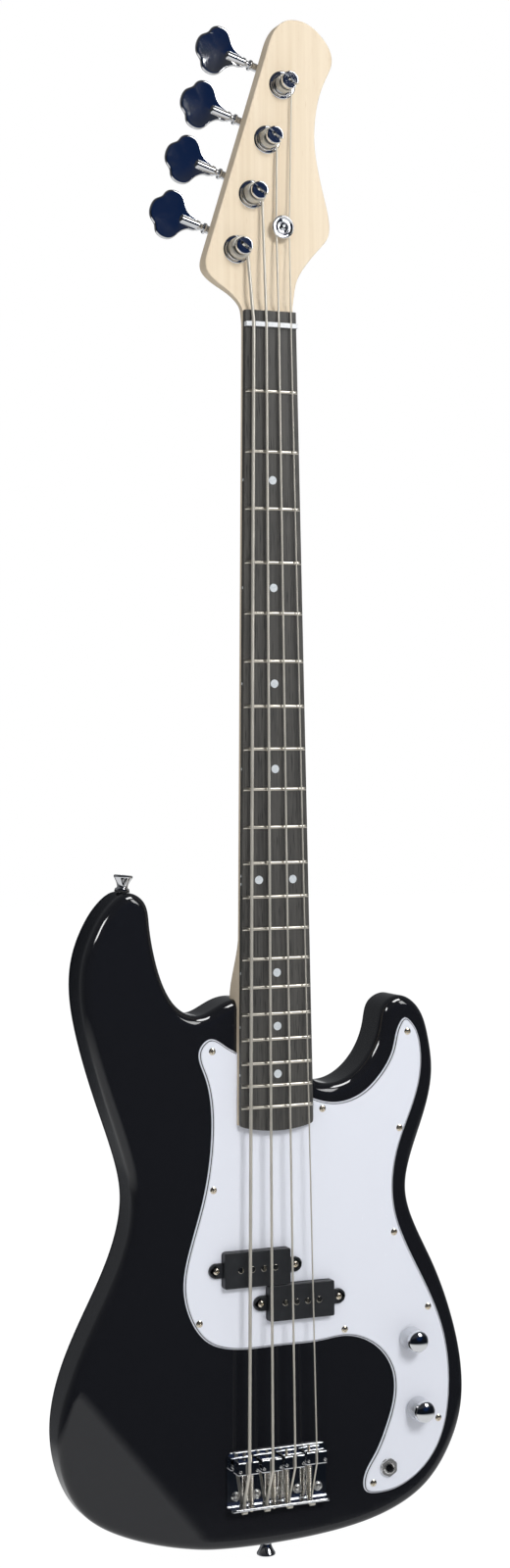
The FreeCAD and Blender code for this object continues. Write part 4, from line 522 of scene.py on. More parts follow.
class Value:
    """A shader socket that takes part in sums: each operator adds the Math node that works it out."""

    def __init__(self, nodes: "Nodes", socket: bpy.types.NodeSocket) -> None:
        self.nodes = nodes
        self.socket = socket

    def maths(self, operation: str, *others: Term) -> "Value":
        """This value and others through one Math node."""
        values = dict(enumerate([self, *others]))
        return self.nodes.add("ShaderNodeMath", {"operation": operation}, values)

    def __add__(self, other: Term) -> "Value":
        """This value plus another."""
        return self.maths("ADD", other)

    __radd__ = __add__

    def __mul__(self, other: Term) -> "Value":
        """This value times another."""
        return self.maths("MULTIPLY", other)

    def __sub__(self, other: Term) -> "Value":
        """This value less another."""
        return self.maths("SUBTRACT", other)

    def __rsub__(self, other: float) -> "Value":
        """A number less this value."""
        return self.maths("MULTIPLY_ADD", -1.0, other)

    def __gt__(self, other: Term) -> "Value":
        """1 where this value is the larger."""
        return self.maths("GREATER_THAN", other)

    def __lt__(self, other: Term) -> "Value":
        """1 where this value is the smaller."""
        return self.maths("LESS_THAN", other)

    def between(self, low: float, high: float) -> "Value":
        """Share of the way from one value to another, clipped to 0 and 1."""
        values = {"Value": self, "From Min": low, "From Max": high}
        return self.nodes.add("ShaderNodeMapRange", {"clamp": True}, values)


class Nodes:
    """A node tree, with one method that adds any node."""

    def __init__(self, tree: bpy.types.NodeTree) -> None:
        self.tree = tree
        tree.nodes.clear()

    def add(self, kind: str, settings: Optional[Mapping[str, Any]] = None,
            sockets: Optional[Mapping[Union[str, int], Any]] = None, output: Union[str, int] = 0) -> Value:
        """Adds a node.

        Args:
            kind: Type of the node.
            settings: Properties, set first.
            sockets: Values or links of the input sockets, by name or number.
            output: Output that the result stands for.

        Returns:
            The wrapped output.
        """
        node = self.tree.nodes.new(kind)
        for name, value in (settings or {}).items():
            setattr(node, name, value)
        for name, value in (sockets or {}).items():
            if isinstance(value, Value):
                self.tree.links.new(value.socket, node.inputs[name])
            elif isinstance(value, tuple) and len(value) == 3 and node.inputs[name].type == "RGBA":
                node.inputs[name].default_value = (*value, 1.0)
            else:
                node.inputs[name].default_value = value
        return Value(self, node.outputs[output] if len(node.outputs) else None)

    def noise(self, cells: Triple, detail: float = 3.0, rough: float = 0.5, twist: float = 0.0) -> Value:
        """Noise over the object, with so many cells to the metre along each axis."""
        where = self.add("ShaderNodeTexCoord", output="Object")
        place = self.add("ShaderNodeMapping", {"vector_type": "POINT"}, {"Vector": where, "Scale": cells})
        values = {"Vector": place, "Scale": 1.0, "Detail": detail, "Roughness": rough, "Distortion": twist}
        return self.add("ShaderNodeTexNoise", {"noise_dimensions": "3D"}, values)

    def part(self, vector: Value, axis: str) -> Value:
        """One of a vector's three numbers."""
        return self.add("ShaderNodeSeparateXYZ", None, {0: vector}, output=axis)

    def ray(self, kind: str) -> Value:
        """1 for the rays of a kind."""
        return self.add("ShaderNodeLightPath", output=f"Is {kind} Ray")

    def toward(self, vector: Value, way: Triple) -> Value:
        """Share of a vector that lies along a way: their dot product."""
        return self.add("ShaderNodeVectorMath", {"operation": "DOT_PRODUCT"}, {0: vector, 1: way}, "Value")

    def glow(self, kind: str, colour: Union[Value, Triple], strength: float) -> Value:
        """Shader that gives light of a colour."""
        return self.add(kind, None, {"Color": colour, "Strength": strength})

    def either(self, factor: Value, first: Value, second: Value) -> Value:
        """Two shaders mixed by a factor."""
        return self.add("ShaderNodeMixShader", None, {0: factor, 1: first, 2: second})

    def mixed(self, factor: Value, first: Union[Value, Triple], second: Union[Value, Triple]) -> Value:
        """Two colours mixed by a factor."""
        settings = {"data_type": "RGBA", "blend_type": "MIX"}
        return self.add("ShaderNodeMix", settings, {0: factor, 6: first, 7: second}, output=2)

    def bump(self, height: Value, distance: float, strength: float = 1.0) -> Value:
        """Normal tilted by a height field, whose full rise is a distance in millimetres."""
        values = {"Height": height, "Distance": distance * MILLIMETRE, "Strength": strength}
        return self.add("ShaderNodeBump", None, values)


# Finishes


@dataclass(frozen=True)
class Finish(abc.ABC):
    """A material of the record, by the name of its slot."""

    slot: str

    @abc.abstractmethod
    def sockets(self, nodes: Nodes) -> Dict[str, Any]:
        """Values and links of the surface shader's sockets."""

    def material(self) -> bpy.types.Material:
        """The finished material."""
        made = bpy.data.materials.new(self.slot)
        made.use_nodes = True
        nodes = Nodes(made.node_tree)
        shader = nodes.add("ShaderNodeBsdfPrincipled", None, self.sockets(nodes))
        nodes.add("ShaderNodeOutputMaterial", None, {"Surface": shader})
        return made


@dataclass(frozen=True)
class BlackLacquer(Finish):
    """Deep gloss lacquer: near black, faint orange peel, soft wiping marks that dull the gloss a little."""

    colour: Triple = (0.0085, 0.0090, 0.0112)
    roughness: float = 0.05

    def sockets(self, nodes: Nodes) -> Dict[str, Any]:
        """Black with a gloss that wanders slightly."""
        wipe = nodes.noise((9.0, 9.0, 26.0), 4.0, 0.6, 0.4).between(0.42, 0.72)
        dust = nodes.noise((420.0, 420.0, 420.0), 2.0).between(0.68, 0.80)
        peel = nodes.noise((260.0, 260.0, 260.0), 2.0)
        tone = nodes.mixed(dust * 0.25, self.colour, (0.016, 0.017, 0.020))
        return {"Base Color": tone, "Roughness": self.roughness + wipe * 0.035 + dust * 0.05, "IOR": 1.5,
                "Normal": nodes.bump(peel, 0.012, 0.5)}


@dataclass(frozen=True)
class Maple(Finish):
    """Pale satin maple: straight grain along the neck, fine fibres, short flecks across it."""

    pale: Triple = (0.765, 0.660, 0.510)
    deep: Triple = (0.640, 0.520, 0.370)
    fleck: Triple = (0.54, 0.385, 0.225)

    def sockets(self, nodes: Nodes) -> Dict[str, Any]:
        """Grain bands mixed with fibres and flecks."""
        bands = nodes.noise((150.0, 60.0, 3.2), 4.0, 0.55, 0.25).between(0.35, 0.68)
        fibre = nodes.noise((1500.0, 1500.0, 26.0), 2.0)
        fleck = nodes.noise((700.0, 700.0, 90.0), 1.0).between(0.66, 0.78)
        wood = nodes.mixed(bands * 0.55 + fibre * 0.25, self.pale, self.deep)
        tone = nodes.mixed(fleck * 0.30, wood, self.fleck)
        return {"Base Color": tone, "Roughness": 0.46 + fibre * 0.16, "IOR": 1.30,
                "Normal": nodes.bump(fibre, 0.05, 0.35)}


@dataclass(frozen=True)
class DarkBoard(Finish):
    """Dark open-pored fingerboard wood: lengthwise streaks of grey and brown, small pores."""

    base: Triple = (0.036, 0.035, 0.033)
    streak: Triple = (0.094, 0.090, 0.082)
    pore: Triple = (0.012, 0.012, 0.012)

    def sockets(self, nodes: Nodes) -> Dict[str, Any]:
        """Streaks, then pores as short dark lines that are also pits."""
        broad = nodes.noise((110.0, 60.0, 5.0), 3.0, 0.6).between(0.34, 0.70)
        fine = nodes.noise((900.0, 500.0, 14.0), 3.0, 0.6).between(0.36, 0.68)
        pore = nodes.noise((1500.0, 900.0, 60.0), 1.0).between(0.60, 0.70)
        wood = nodes.mixed(broad * 0.35 + fine * 0.55, self.base, self.streak)
        tone = nodes.mixed(pore * 0.8, wood, self.pore)
        return {"Base Color": tone, "Roughness": 0.46 + fine * 0.16, "IOR": 1.45,
                "Normal": nodes.bump(pore, -0.10, 0.5)}


@dataclass(frozen=True)
class BrightMetal(Finish):
    """Plated or drawn metal: its gloss wanders with handling marks, and fine scratches catch the light."""

    colour: Triple = (0.80, 0.81, 0.83)
    roughness: float = 0.035
    smudge: float = 0.035
    scratch: float = 0.002

    def sockets(self, nodes: Nodes) -> Dict[str, Any]:
        """Metal with smudges and hairlines."""
        cloud = nodes.noise((60.0, 60.0, 60.0), 4.0, 0.6).between(0.40, 0.75)
        line = nodes.noise((2400.0, 900.0, 300.0), 2.0)
        dull = tuple(0.86 * c for c in self.colour)
        return {"Base Color": nodes.mixed(cloud * 0.5, self.colour, dull), "Metallic": 1.0,
                "Roughness": self.roughness + cloud * self.smudge,
                "Normal": nodes.bump(line, self.scratch, 0.6)}


@dataclass(frozen=True)
class WoundWire(Finish):
    """String wound with fine nickel wire: the turns are rows along the string, with painted shade in the
    grooves between them.
    """

    colour: Triple = (0.80, 0.76, 0.67)
    turn: float = 0.42

    def sockets(self, nodes: Nodes) -> Dict[str, Any]:
        """Turns of wire as rounded ridges along the string's own length, with painted shade darkening the
        grooves between them.
        """
        along = nodes.part(nodes.add("ShaderNodeUVMap", {"uv_map": UV_NAME}), "Y")
        ridge = (along * (math.tau / self.turn)).maths("SINE").between(-1.0, 1.0)
        tarnish = nodes.noise((90.0, 90.0, 40.0), 3.0).between(0.35, 0.75)
        # Painted shade: the grooves between the turns are darkened to 62% of the wire's colour.
        groove = tuple(0.62 * c for c in self.colour)
        tone = nodes.mixed(ridge * 0.7 + tarnish * 0.3, groove, self.colour)
        return {"Base Color": tone, "Metallic": 0.55, "Roughness": 0.28 + tarnish * 0.12,
                "Normal": nodes.bump(ridge, 0.06, 0.35)}


@dataclass(frozen=True)
class PlySheet(Finish):
    """Three-ply sheet: white faces, and a black ply that shows as a line on the bevelled edge."""

    face: Triple = (0.715, 0.735, 0.800)
    ply: Triple = (0.020, 0.021, 0.024)
    line_low: float = 1.15
    line_high: float = 1.70

    def sockets(self, nodes: Nodes) -> Dict[str, Any]:
        """White, with the black ply between two heights over the body."""
        where = nodes.add("ShaderNodeTexCoord", output="Object")
        depth = nodes.part(where, "Y") * (-1.0 / MILLIMETRE)
        line = (depth > self.line_low) * (depth < self.line_high)
        haze = nodes.noise((14.0, 14.0, 14.0), 2.0).between(0.30, 0.75)
        hair = nodes.noise((900.0, 900.0, 160.0), 2.0).between(0.55, 0.75)
        white = nodes.mixed(haze * 0.12, self.face, tuple(0.94 * c for c in self.face))
        return {"Base Color": nodes.mixed(line, white, self.ply), "IOR": 1.5,
                "Roughness": 0.22 + haze * 0.03 + hair * 0.04, "Normal": nodes.bump(hair, 0.004, 0.5)}


@dataclass(frozen=True)
class Moulded(Finish):
    """Moulded or cast plastic: a fine satin grain, with handling marks that polish it."""

    colour: Triple = (0.014, 0.0155, 0.0180)
    worn: Triple = (0.030, 0.032, 0.036)
    roughness: float = 0.36
    grain: float = 0.02

    def sockets(self, nodes: Nodes) -> Dict[str, Any]:
        """Satin plastic with grain and rubbed patches."""
        rub = nodes.noise((130.0, 130.0, 130.0), 4.0, 0.6).between(0.45, 0.78)
        grain = nodes.noise((2200.0, 2200.0, 2200.0), 2.0)
        return {"Base Color": nodes.mixed(rub * 0.45, self.colour, self.worn),
                "Roughness": self.roughness + grain * 0.10 - rub * 0.06, "IOR": 1.5,
                "Normal": nodes.bump(grain, self.grain, 0.6)}


@dataclass(frozen=True)
class Pearl(Finish):
    """Pale inlay with soft clouds in it, as on position dots and the nut."""

    colour: Triple = (0.50, 0.54, 0.57)
    cloud: Triple = (0.62, 0.65, 0.67)
    roughness: float = 0.22

    def sockets(self, nodes: Nodes) -> Dict[str, Any]:
        """Two pale tones in clouds."""
        swirl = nodes.noise((420.0, 420.0, 420.0), 3.0, 0.55, 1.2).between(0.35, 0.70)
        fine = nodes.noise((2600.0, 2600.0, 2600.0), 2.0)
        return {"Base Color": nodes.mixed(swirl, self.colour, self.cloud), "IOR": 1.53,
                "Roughness": self.roughness + fine * 0.1, "Normal": nodes.bump(fine, 0.006, 0.4)}


@dataclass(frozen=True)
class Fibre(Finish):
    """Soft or wound stuff: felt, foam or coil wire, rough and uneven."""

    colour: Triple = (0.012, 0.012, 0.013)
    light: Triple = (0.040, 0.040, 0.042)
    cells: Triple = (1800.0, 1800.0, 1800.0)
    roughness: float = 0.92

    def sockets(self, nodes: Nodes) -> Dict[str, Any]:
        """Strands in two tones with a rough surface."""
        strand = nodes.noise(self.cells, 3.0, 0.6, 0.5)
        return {"Base Color": nodes.mixed(strand.between(0.35, 0.7), self.colour, self.light),
                "Roughness": self.roughness - strand * 0.1, "Normal": nodes.bump(strand, 0.15, 0.8)}


LACQUER = BlackLacquer("black_lacquer")
MAPLE = Maple("maple")
BOARD = DarkBoard("dark_board")
FRET_WIRE = BrightMetal("fret_wire", (0.86, 0.81, 0.71), 0.30, 0.08, 0.006)
NUT_WHITE = Pearl("white_nut", (0.62, 0.64, 0.66), (0.72, 0.73, 0.74), 0.30)
DOTS = Pearl("pale_dots")
PLAIN_STEEL = BrightMetal("plain_steel", (0.55, 0.55, 0.54), 0.30, 0.15, 0.020)
CHROME = BrightMetal("chrome")
NICKEL = BrightMetal("nickel_screws", (0.82, 0.75, 0.63), 0.16, 0.06, 0.004)
SATIN = BrightMetal("chrome", (0.93, 0.92, 0.90), 0.24, 0.06, 0.004)
SPRING_STEEL = BrightMetal("spring_steel", (0.88, 0.84, 0.76), 0.11, 0.06, 0.004)
WOUND = WoundWire("wound_nickel")
GUARD = PlySheet("white_guard")
COVER = Moulded("black_cover")
POLE = BrightMetal("pole_steel", (0.66, 0.62, 0.54), 0.12, 0.06, 0.006)
COIL = Fibre("coil_wire", (0.10, 0.028, 0.012), (0.28, 0.10, 0.04), (90.0, 6000.0, 90.0), 0.45)
FOAM = Fibre("grey_foam", (0.10, 0.10, 0.105), (0.22, 0.22, 0.225), (900.0, 900.0, 900.0), 0.95)
FELT = Fibre("black_felt")
CAPACITOR = Moulded("film_capacitor", (0.02, 0.10, 0.05), (0.04, 0.16, 0.08), 0.30, 0.01)


# The workshop


def placed(name: str, data: Any) -> bpy.types.Object:
    """Object of a mesh, lamp or camera, put into the scene."""
    made = bpy.data.objects.new(name, data)
    bpy.context.scene.collection.objects.link(made)
    return made


class Workshop:
    """Makes the objects: mesh, finish, body, slot and the solids that each one stands for."""

    def __init__(self) -> None:
        self.materials: Dict[Finish, bpy.types.Material] = {}

    def paint(self, finish: Finish) -> bpy.types.Material:
        """The material of a finish, made once."""
        if finish not in self.materials:
            self.materials[finish] = finish.material()
        return self.materials[finish]

    def mesh(self, name: str, surface: Surface, sharp: float = SHARP_ANGLE) -> bpy.types.Mesh:
        """Mesh of a surface: put into the frame, welded, turned outward, smooth up to an angle."""
        made = bpy.data.meshes.new(name)
        faces = [*surface.quads.tolist(), *surface.tris.tolist()]
        made.from_pydata(to_frame(surface.points).tolist(), [], faces)
        if surface.uv is not None:
            corner = np.zeros(len(made.loops), np.int32)
            made.loops.foreach_get("vertex_index", corner)
            layer = made.uv_layers.new(name=UV_NAME)
            layer.data.foreach_set("uv", surface.uv[corner].astype(np.float32).ravel())
        work = bmesh.new()
        work.from_mesh(made)
        bmesh.ops.remove_doubles(work, verts=work.verts, dist=WELD)
        bmesh.ops.recalc_face_normals(work, faces=work.faces)
        work.to_mesh(made)
        work.free()
        made.shade_smooth()
        made.set_sharp_from_angle(angle=math.radians(sharp))
        return made

    def piece(self, name: str, surface: Surface, finish: Finish, nodes: Sequence[str] = (), body: str = ROOT,
              sharp: float = SHARP_ANGLE, cutters: Sequence[Surface] = ()) -> bpy.types.Object:
        """A finished piece that rides on a body.

        Args:
            name: Name of the object.
            surface: Its shape.
            finish: Its finish, whose slot it takes.
            nodes: Solids that it stands for.
            body: Body that it rides on; empty where it rides on none.
            sharp: Angle in degrees over which an edge is sharp.
            cutters: Closed shapes cut out of it.

        Returns:
            The object.
        """
        made = placed(name, self.mesh(name, surface, sharp))
        for cutter in cutters:
            self.carve(made, cutter, sharp)
        self.flatten(made)
        self.coat(made, finish)
        if nodes:
            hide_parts(*nodes)
        if body:
            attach(made, body)
        log.info("%s: %d faces, %s", name, len(made.data.polygons), finish.slot)
        return made

    def carve(self, made: bpy.types.Object, cutter: Surface, sharp: float) -> None:
        """Cuts a closed shape out of an object and keeps the result as its mesh."""
        tool = placed("cutter", self.mesh("cutter", cutter))
        step = made.modifiers.new("cut", "BOOLEAN")
        step.object = tool
        step.operation = "DIFFERENCE"
        step.solver = "EXACT"
        self.apply(made)
        bpy.data.objects.remove(tool)
        made.data.shade_smooth()
        made.data.set_sharp_from_angle(angle=math.radians(sharp))

    def flatten(self, made: bpy.types.Object) -> None:
        """Keeps flat faces flat beside their rounded rims: large faces weigh more in the normals."""
        step = made.modifiers.new("normals", "WEIGHTED_NORMAL")
        step.mode = "FACE_AREA_WITH_ANGLE"
        step.keep_sharp = True
        self.apply(made)

    def apply(self, made: bpy.types.Object) -> None:
        """Keeps what the modifiers of an object make as its mesh."""
        graph = bpy.context.evaluated_depsgraph_get()
        result = bpy.data.meshes.new_from_object(made.evaluated_get(graph))
        made.modifiers.clear()
        made.data = result

    def coat(self, made: bpy.types.Object, finish: Finish) -> None:
        """Gives an object a finish, and no other."""
        made.data.materials.clear()
        made.data.materials.append(self.paint(finish))

    def dress(self, finish: Finish, *nodes: str) -> None:
        """Gives solids that stay a finish."""
        for name in nodes:
            self.coat(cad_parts[name], finish)
            log.info("%s: solid kept, %s", name, finish.slot)


# Sizes that several sub-assemblies share


@dataclass(frozen=True)
class Layout:
    """Scale, string places and the main heights."""

    scale: float = 864.0
    semitones: int = 12
    frets: int = 20
    gauges: Tuple[float, ...] = (2.6, 2.1, 1.65, 1.15)
    nut_pitch: float = 10.25
    saddle_pitch: float = 18.7
    seat: float = 5.0
    board_top: float = 11.0
    crown: float = 241.0
    nut_width: float = 42.0
    last_width: float = 60.0
    head_reach: float = 12.6
    heel_depth: float = 15.5
    heel_length: float = 95.0
    board_end: float = -610.36
    heel_setback: float = 5.0
    body_width: float = 332.6
    body_length: float = 504.0
    body_tail: float = -931.0
    body_thickness: float = 42.0

    def fret(self, number: float) -> float:
        """Place of a fret: -L (1 - 2^(-n/12))."""
        return -self.scale * (1 - 2 ** (-number / self.semitones))

    def half(self, y: Array) -> Array:
        """Half of the fingerboard's width, which tapers evenly from the last fret."""
        share = np.asarray(y, float) / self.fret(self.frets)
        return (self.nut_width + (self.last_width - self.nut_width) * share) / 2

    def drop(self, x: Array) -> Array:
        """How far the crown falls away from the centre line: R - sqrt(R^2 - x^2)."""
        return self.crown - np.sqrt(self.crown ** 2 - np.asarray(x, float) ** 2)

    def string_x(self, index: int, pitch: float) -> float:
        """Distance of a string from the centre line, where the strings have a pitch."""
        return (index - (len(STRINGS) - 1) / 2) * pitch

    def saddle_x(self, index: int) -> float:
        """Distance of a string from the centre line at its saddle."""
        return self.string_x(index, self.saddle_pitch)

    def radius(self, index: int) -> float:
        """Radius of a string."""
        return self.gauges[index] / 2

    def between_frets(self, number: int) -> float:
        """Place midway between a fret and the one before it."""
        return (self.fret(number) + self.fret(number - 1)) / 2

    def on_body(self, share: Pair) -> Array:
        """Point of the body's plan from its shares of width and length."""
        return np.array([share[0] * self.body_width, self.body_tail + share[1] * self.body_length])

    def over_body(self, share: Pair, height: float = 0.0) -> Array:
        """Point at a height over the body's plan."""
        return np.array([*self.on_body(share), height])

    def outline(self, shares: Sequence[Pair], count: int) -> Array:
        """Smooth outline through points of the body's plan."""
        return counter_clockwise(spline([self.on_body(share) for share in shares], count))

    @property
    def heel_end(self) -> float:
        """Lower end of the neck's heel."""
        return self.board_end + self.heel_setback

    @property
    def heel_top(self) -> float:
        """Upper end of the neck's heel."""
        return self.heel_end + self.heel_length

    def heel_plan(self, gap: float = 0.0) -> Array:
        """Plan of the heel, with a gap all round."""
        low, high = self.heel_end - gap, self.heel_top
        a, b = float(self.half(low)) + gap, float(self.half(high)) + gap
        return np.array([(-a, low), (a, low), (b, high), (-b, high)])


LAYOUT = Layout()


# Body


@dataclass
class Body:
    """Slab body: rounded rims, slanted arm rest in front, shallow hollow at the back of the waist."""

    shop: Workshop
    edge: float = 8.0
    arm_slope: float = 14.0
    arm_blend: float = 50.0
    arm_start_share: Pair = (-0.470, 0.281)
    arm_end_share: Pair = (-0.169, 0.025)
    belly_share: Pair = (-0.345, 0.560)
    belly_depth: float = 1.0
    belly_slope: float = 13.0
    belly_radius: float = 190.0
    belly_blend: float = 4.0
    treble_wall_share: Pair = (0.110, 0.706)
    outline_points: int = 900
    edge_steps: int = 12
    wall_steps: int = 4
    cell: float = 5.0
    cutter_overrun: float = 6.0
    shares: Tuple[Pair, ...] = (
        (0.000, 0.000), (0.165, 0.007), (0.304, 0.028), (0.388, 0.059), (0.454, 0.115), (0.486, 0.175),
        (0.489, 0.236), (0.465, 0.318), (0.415, 0.407), (0.368, 0.471), (0.345, 0.526), (0.359, 0.578),
        (0.394, 0.641), (0.416, 0.706), (0.407, 0.764), (0.377, 0.812), (0.331, 0.828), (0.292, 0.815),
        (0.278, 0.784), (0.255, 0.744), (0.204, 0.709), (0.150, 0.698), (0.110, 0.706), (0.095, 0.736),
        (0.090, 0.802), (0.072, 0.829), (0.000, 0.833), (-0.096, 0.833), (-0.138, 0.821), (-0.174, 0.812),
        (-0.216, 0.821), (-0.253, 0.852), (-0.278, 0.901), (-0.291, 0.953), (-0.304, 0.987), (-0.340, 1.000),
        (-0.382, 0.985), (-0.422, 0.948), (-0.448, 0.903), (-0.455, 0.855), (-0.440, 0.786), (-0.400, 0.692),
        (-0.356, 0.601), (-0.340, 0.546), (-0.362, 0.460), (-0.431, 0.363), (-0.493, 0.269), (-0.511, 0.204),
        (-0.498, 0.135), (-0.445, 0.071), (-0.346, 0.031), (-0.198, 0.006))

    def front(self, plan: Array) -> Array:
        """Height of the front: flat, an arc of the blend's radius, then the arm's slope past the fold."""
        start, end = LAYOUT.on_body(self.arm_start_share), LAYOUT.on_body(self.arm_end_share)
        way = unit(end - start)
        out = np.array([way[1], -way[0]])
        past = np.maximum((plan - (start + end) / 2) @ out, 0.0)
        turn = math.radians(self.arm_slope)
        bend = self.arm_blend * math.sin(turn)
        arc = self.arm_blend - np.sqrt(self.arm_blend ** 2 - np.minimum(past, bend) ** 2)
        return -arc - np.maximum(past - bend, 0.0) * math.tan(turn)

    def back(self, plan: Array) -> Array:
        """Height of the back: flat, raised where a slanted cylinder hollows the waist, softly joined.

        The cylinder's top runs down inward from the edge by the slope, and falls away along y by
        R - sqrt(R^2 - v^2). The join is the soft maximum (a + b + sqrt((a - b)^2 + k^2)) / 2.
        """
        edge = LAYOUT.on_body(self.belly_share)
        slope = math.radians(self.belly_slope)
        v = np.clip(plan[..., 1] - edge[1], -self.belly_radius, self.belly_radius)
        fall = self.belly_radius - np.sqrt(self.belly_radius ** 2 - v ** 2)
        flat = -LAYOUT.body_thickness
        hollow = flat + self.belly_depth - (plan[..., 0] - edge[0]) * math.tan(slope) - fall / math.cos(slope)
        gap = np.maximum(hollow, flat - LAYOUT.body_thickness) - flat
        return flat + (gap + np.sqrt(gap ** 2 + self.belly_blend ** 2)) / 2

    def surface(self) -> Surface:
        """Rims, wall and caps: each rim point stands at inset e (1 - cos a), e (1 - sin a) under its face."""
        rim = LAYOUT.outline(self.shares, self.outline_points)
        normal = outward(rim)
        a = np.linspace(math.pi / 2, 0.0, self.edge_steps)[:, None, None]
        plan = rim[None] - self.edge * (1 - np.cos(a)) * normal[None]
        sink = self.edge * (1 - np.sin(a[..., 0]))
        top = self.front(plan) - sink
        bottom = (self.back(plan) + sink)[::-1]
        t = np.linspace(0.0, 1.0, self.wall_steps + 2)[1:-1, None]
        wall = top[-1] * (1 - t) + bottom[0] * t
        wall_plan = np.broadcast_to(rim, (self.wall_steps, *rim.shape))
        heights = np.concatenate([top, wall, bottom])
        side = grid(raised(np.concatenate([plan, wall_plan, plan[::-1]]), heights))
        inner = lattice(plan[0], self.cell, self.cell * EASE_SHARE)
        flat = np.concatenate([plan[0], inner])
        tris = filled(plan[0], inner)
        caps = [Surface(raised(flat, face(flat)), tris=tris) for face in (self.front, self.back)]
        return joined([side, *caps])

    def pockets(self) -> List[Surface]:
        """Room for the heel, open at the end, and beside it, where the treble cutaway lays it open."""
        heel = LAYOUT.heel_plan()
        heel[2:, 1] += self.cutter_overrun
        low, high = LAYOUT.on_body(self.treble_wall_share)[1], LAYOUT.heel_top + self.cutter_overrun
        beside = np.array([(0.0, low), (LAYOUT.nut_width, low), (LAYOUT.nut_width, high), (0.0, high)])
        levels = [(0.0, -LAYOUT.heel_depth), (0.0, self.cutter_overrun)]
        return [stack(plan, levels) for plan in (heel, beside)]

    def build(self) -> None:
        """Makes the body."""
        self.shop.piece(LACQUERED_BODY, self.surface(), LACQUER, ["body"], cutters=self.pockets())


# Neck


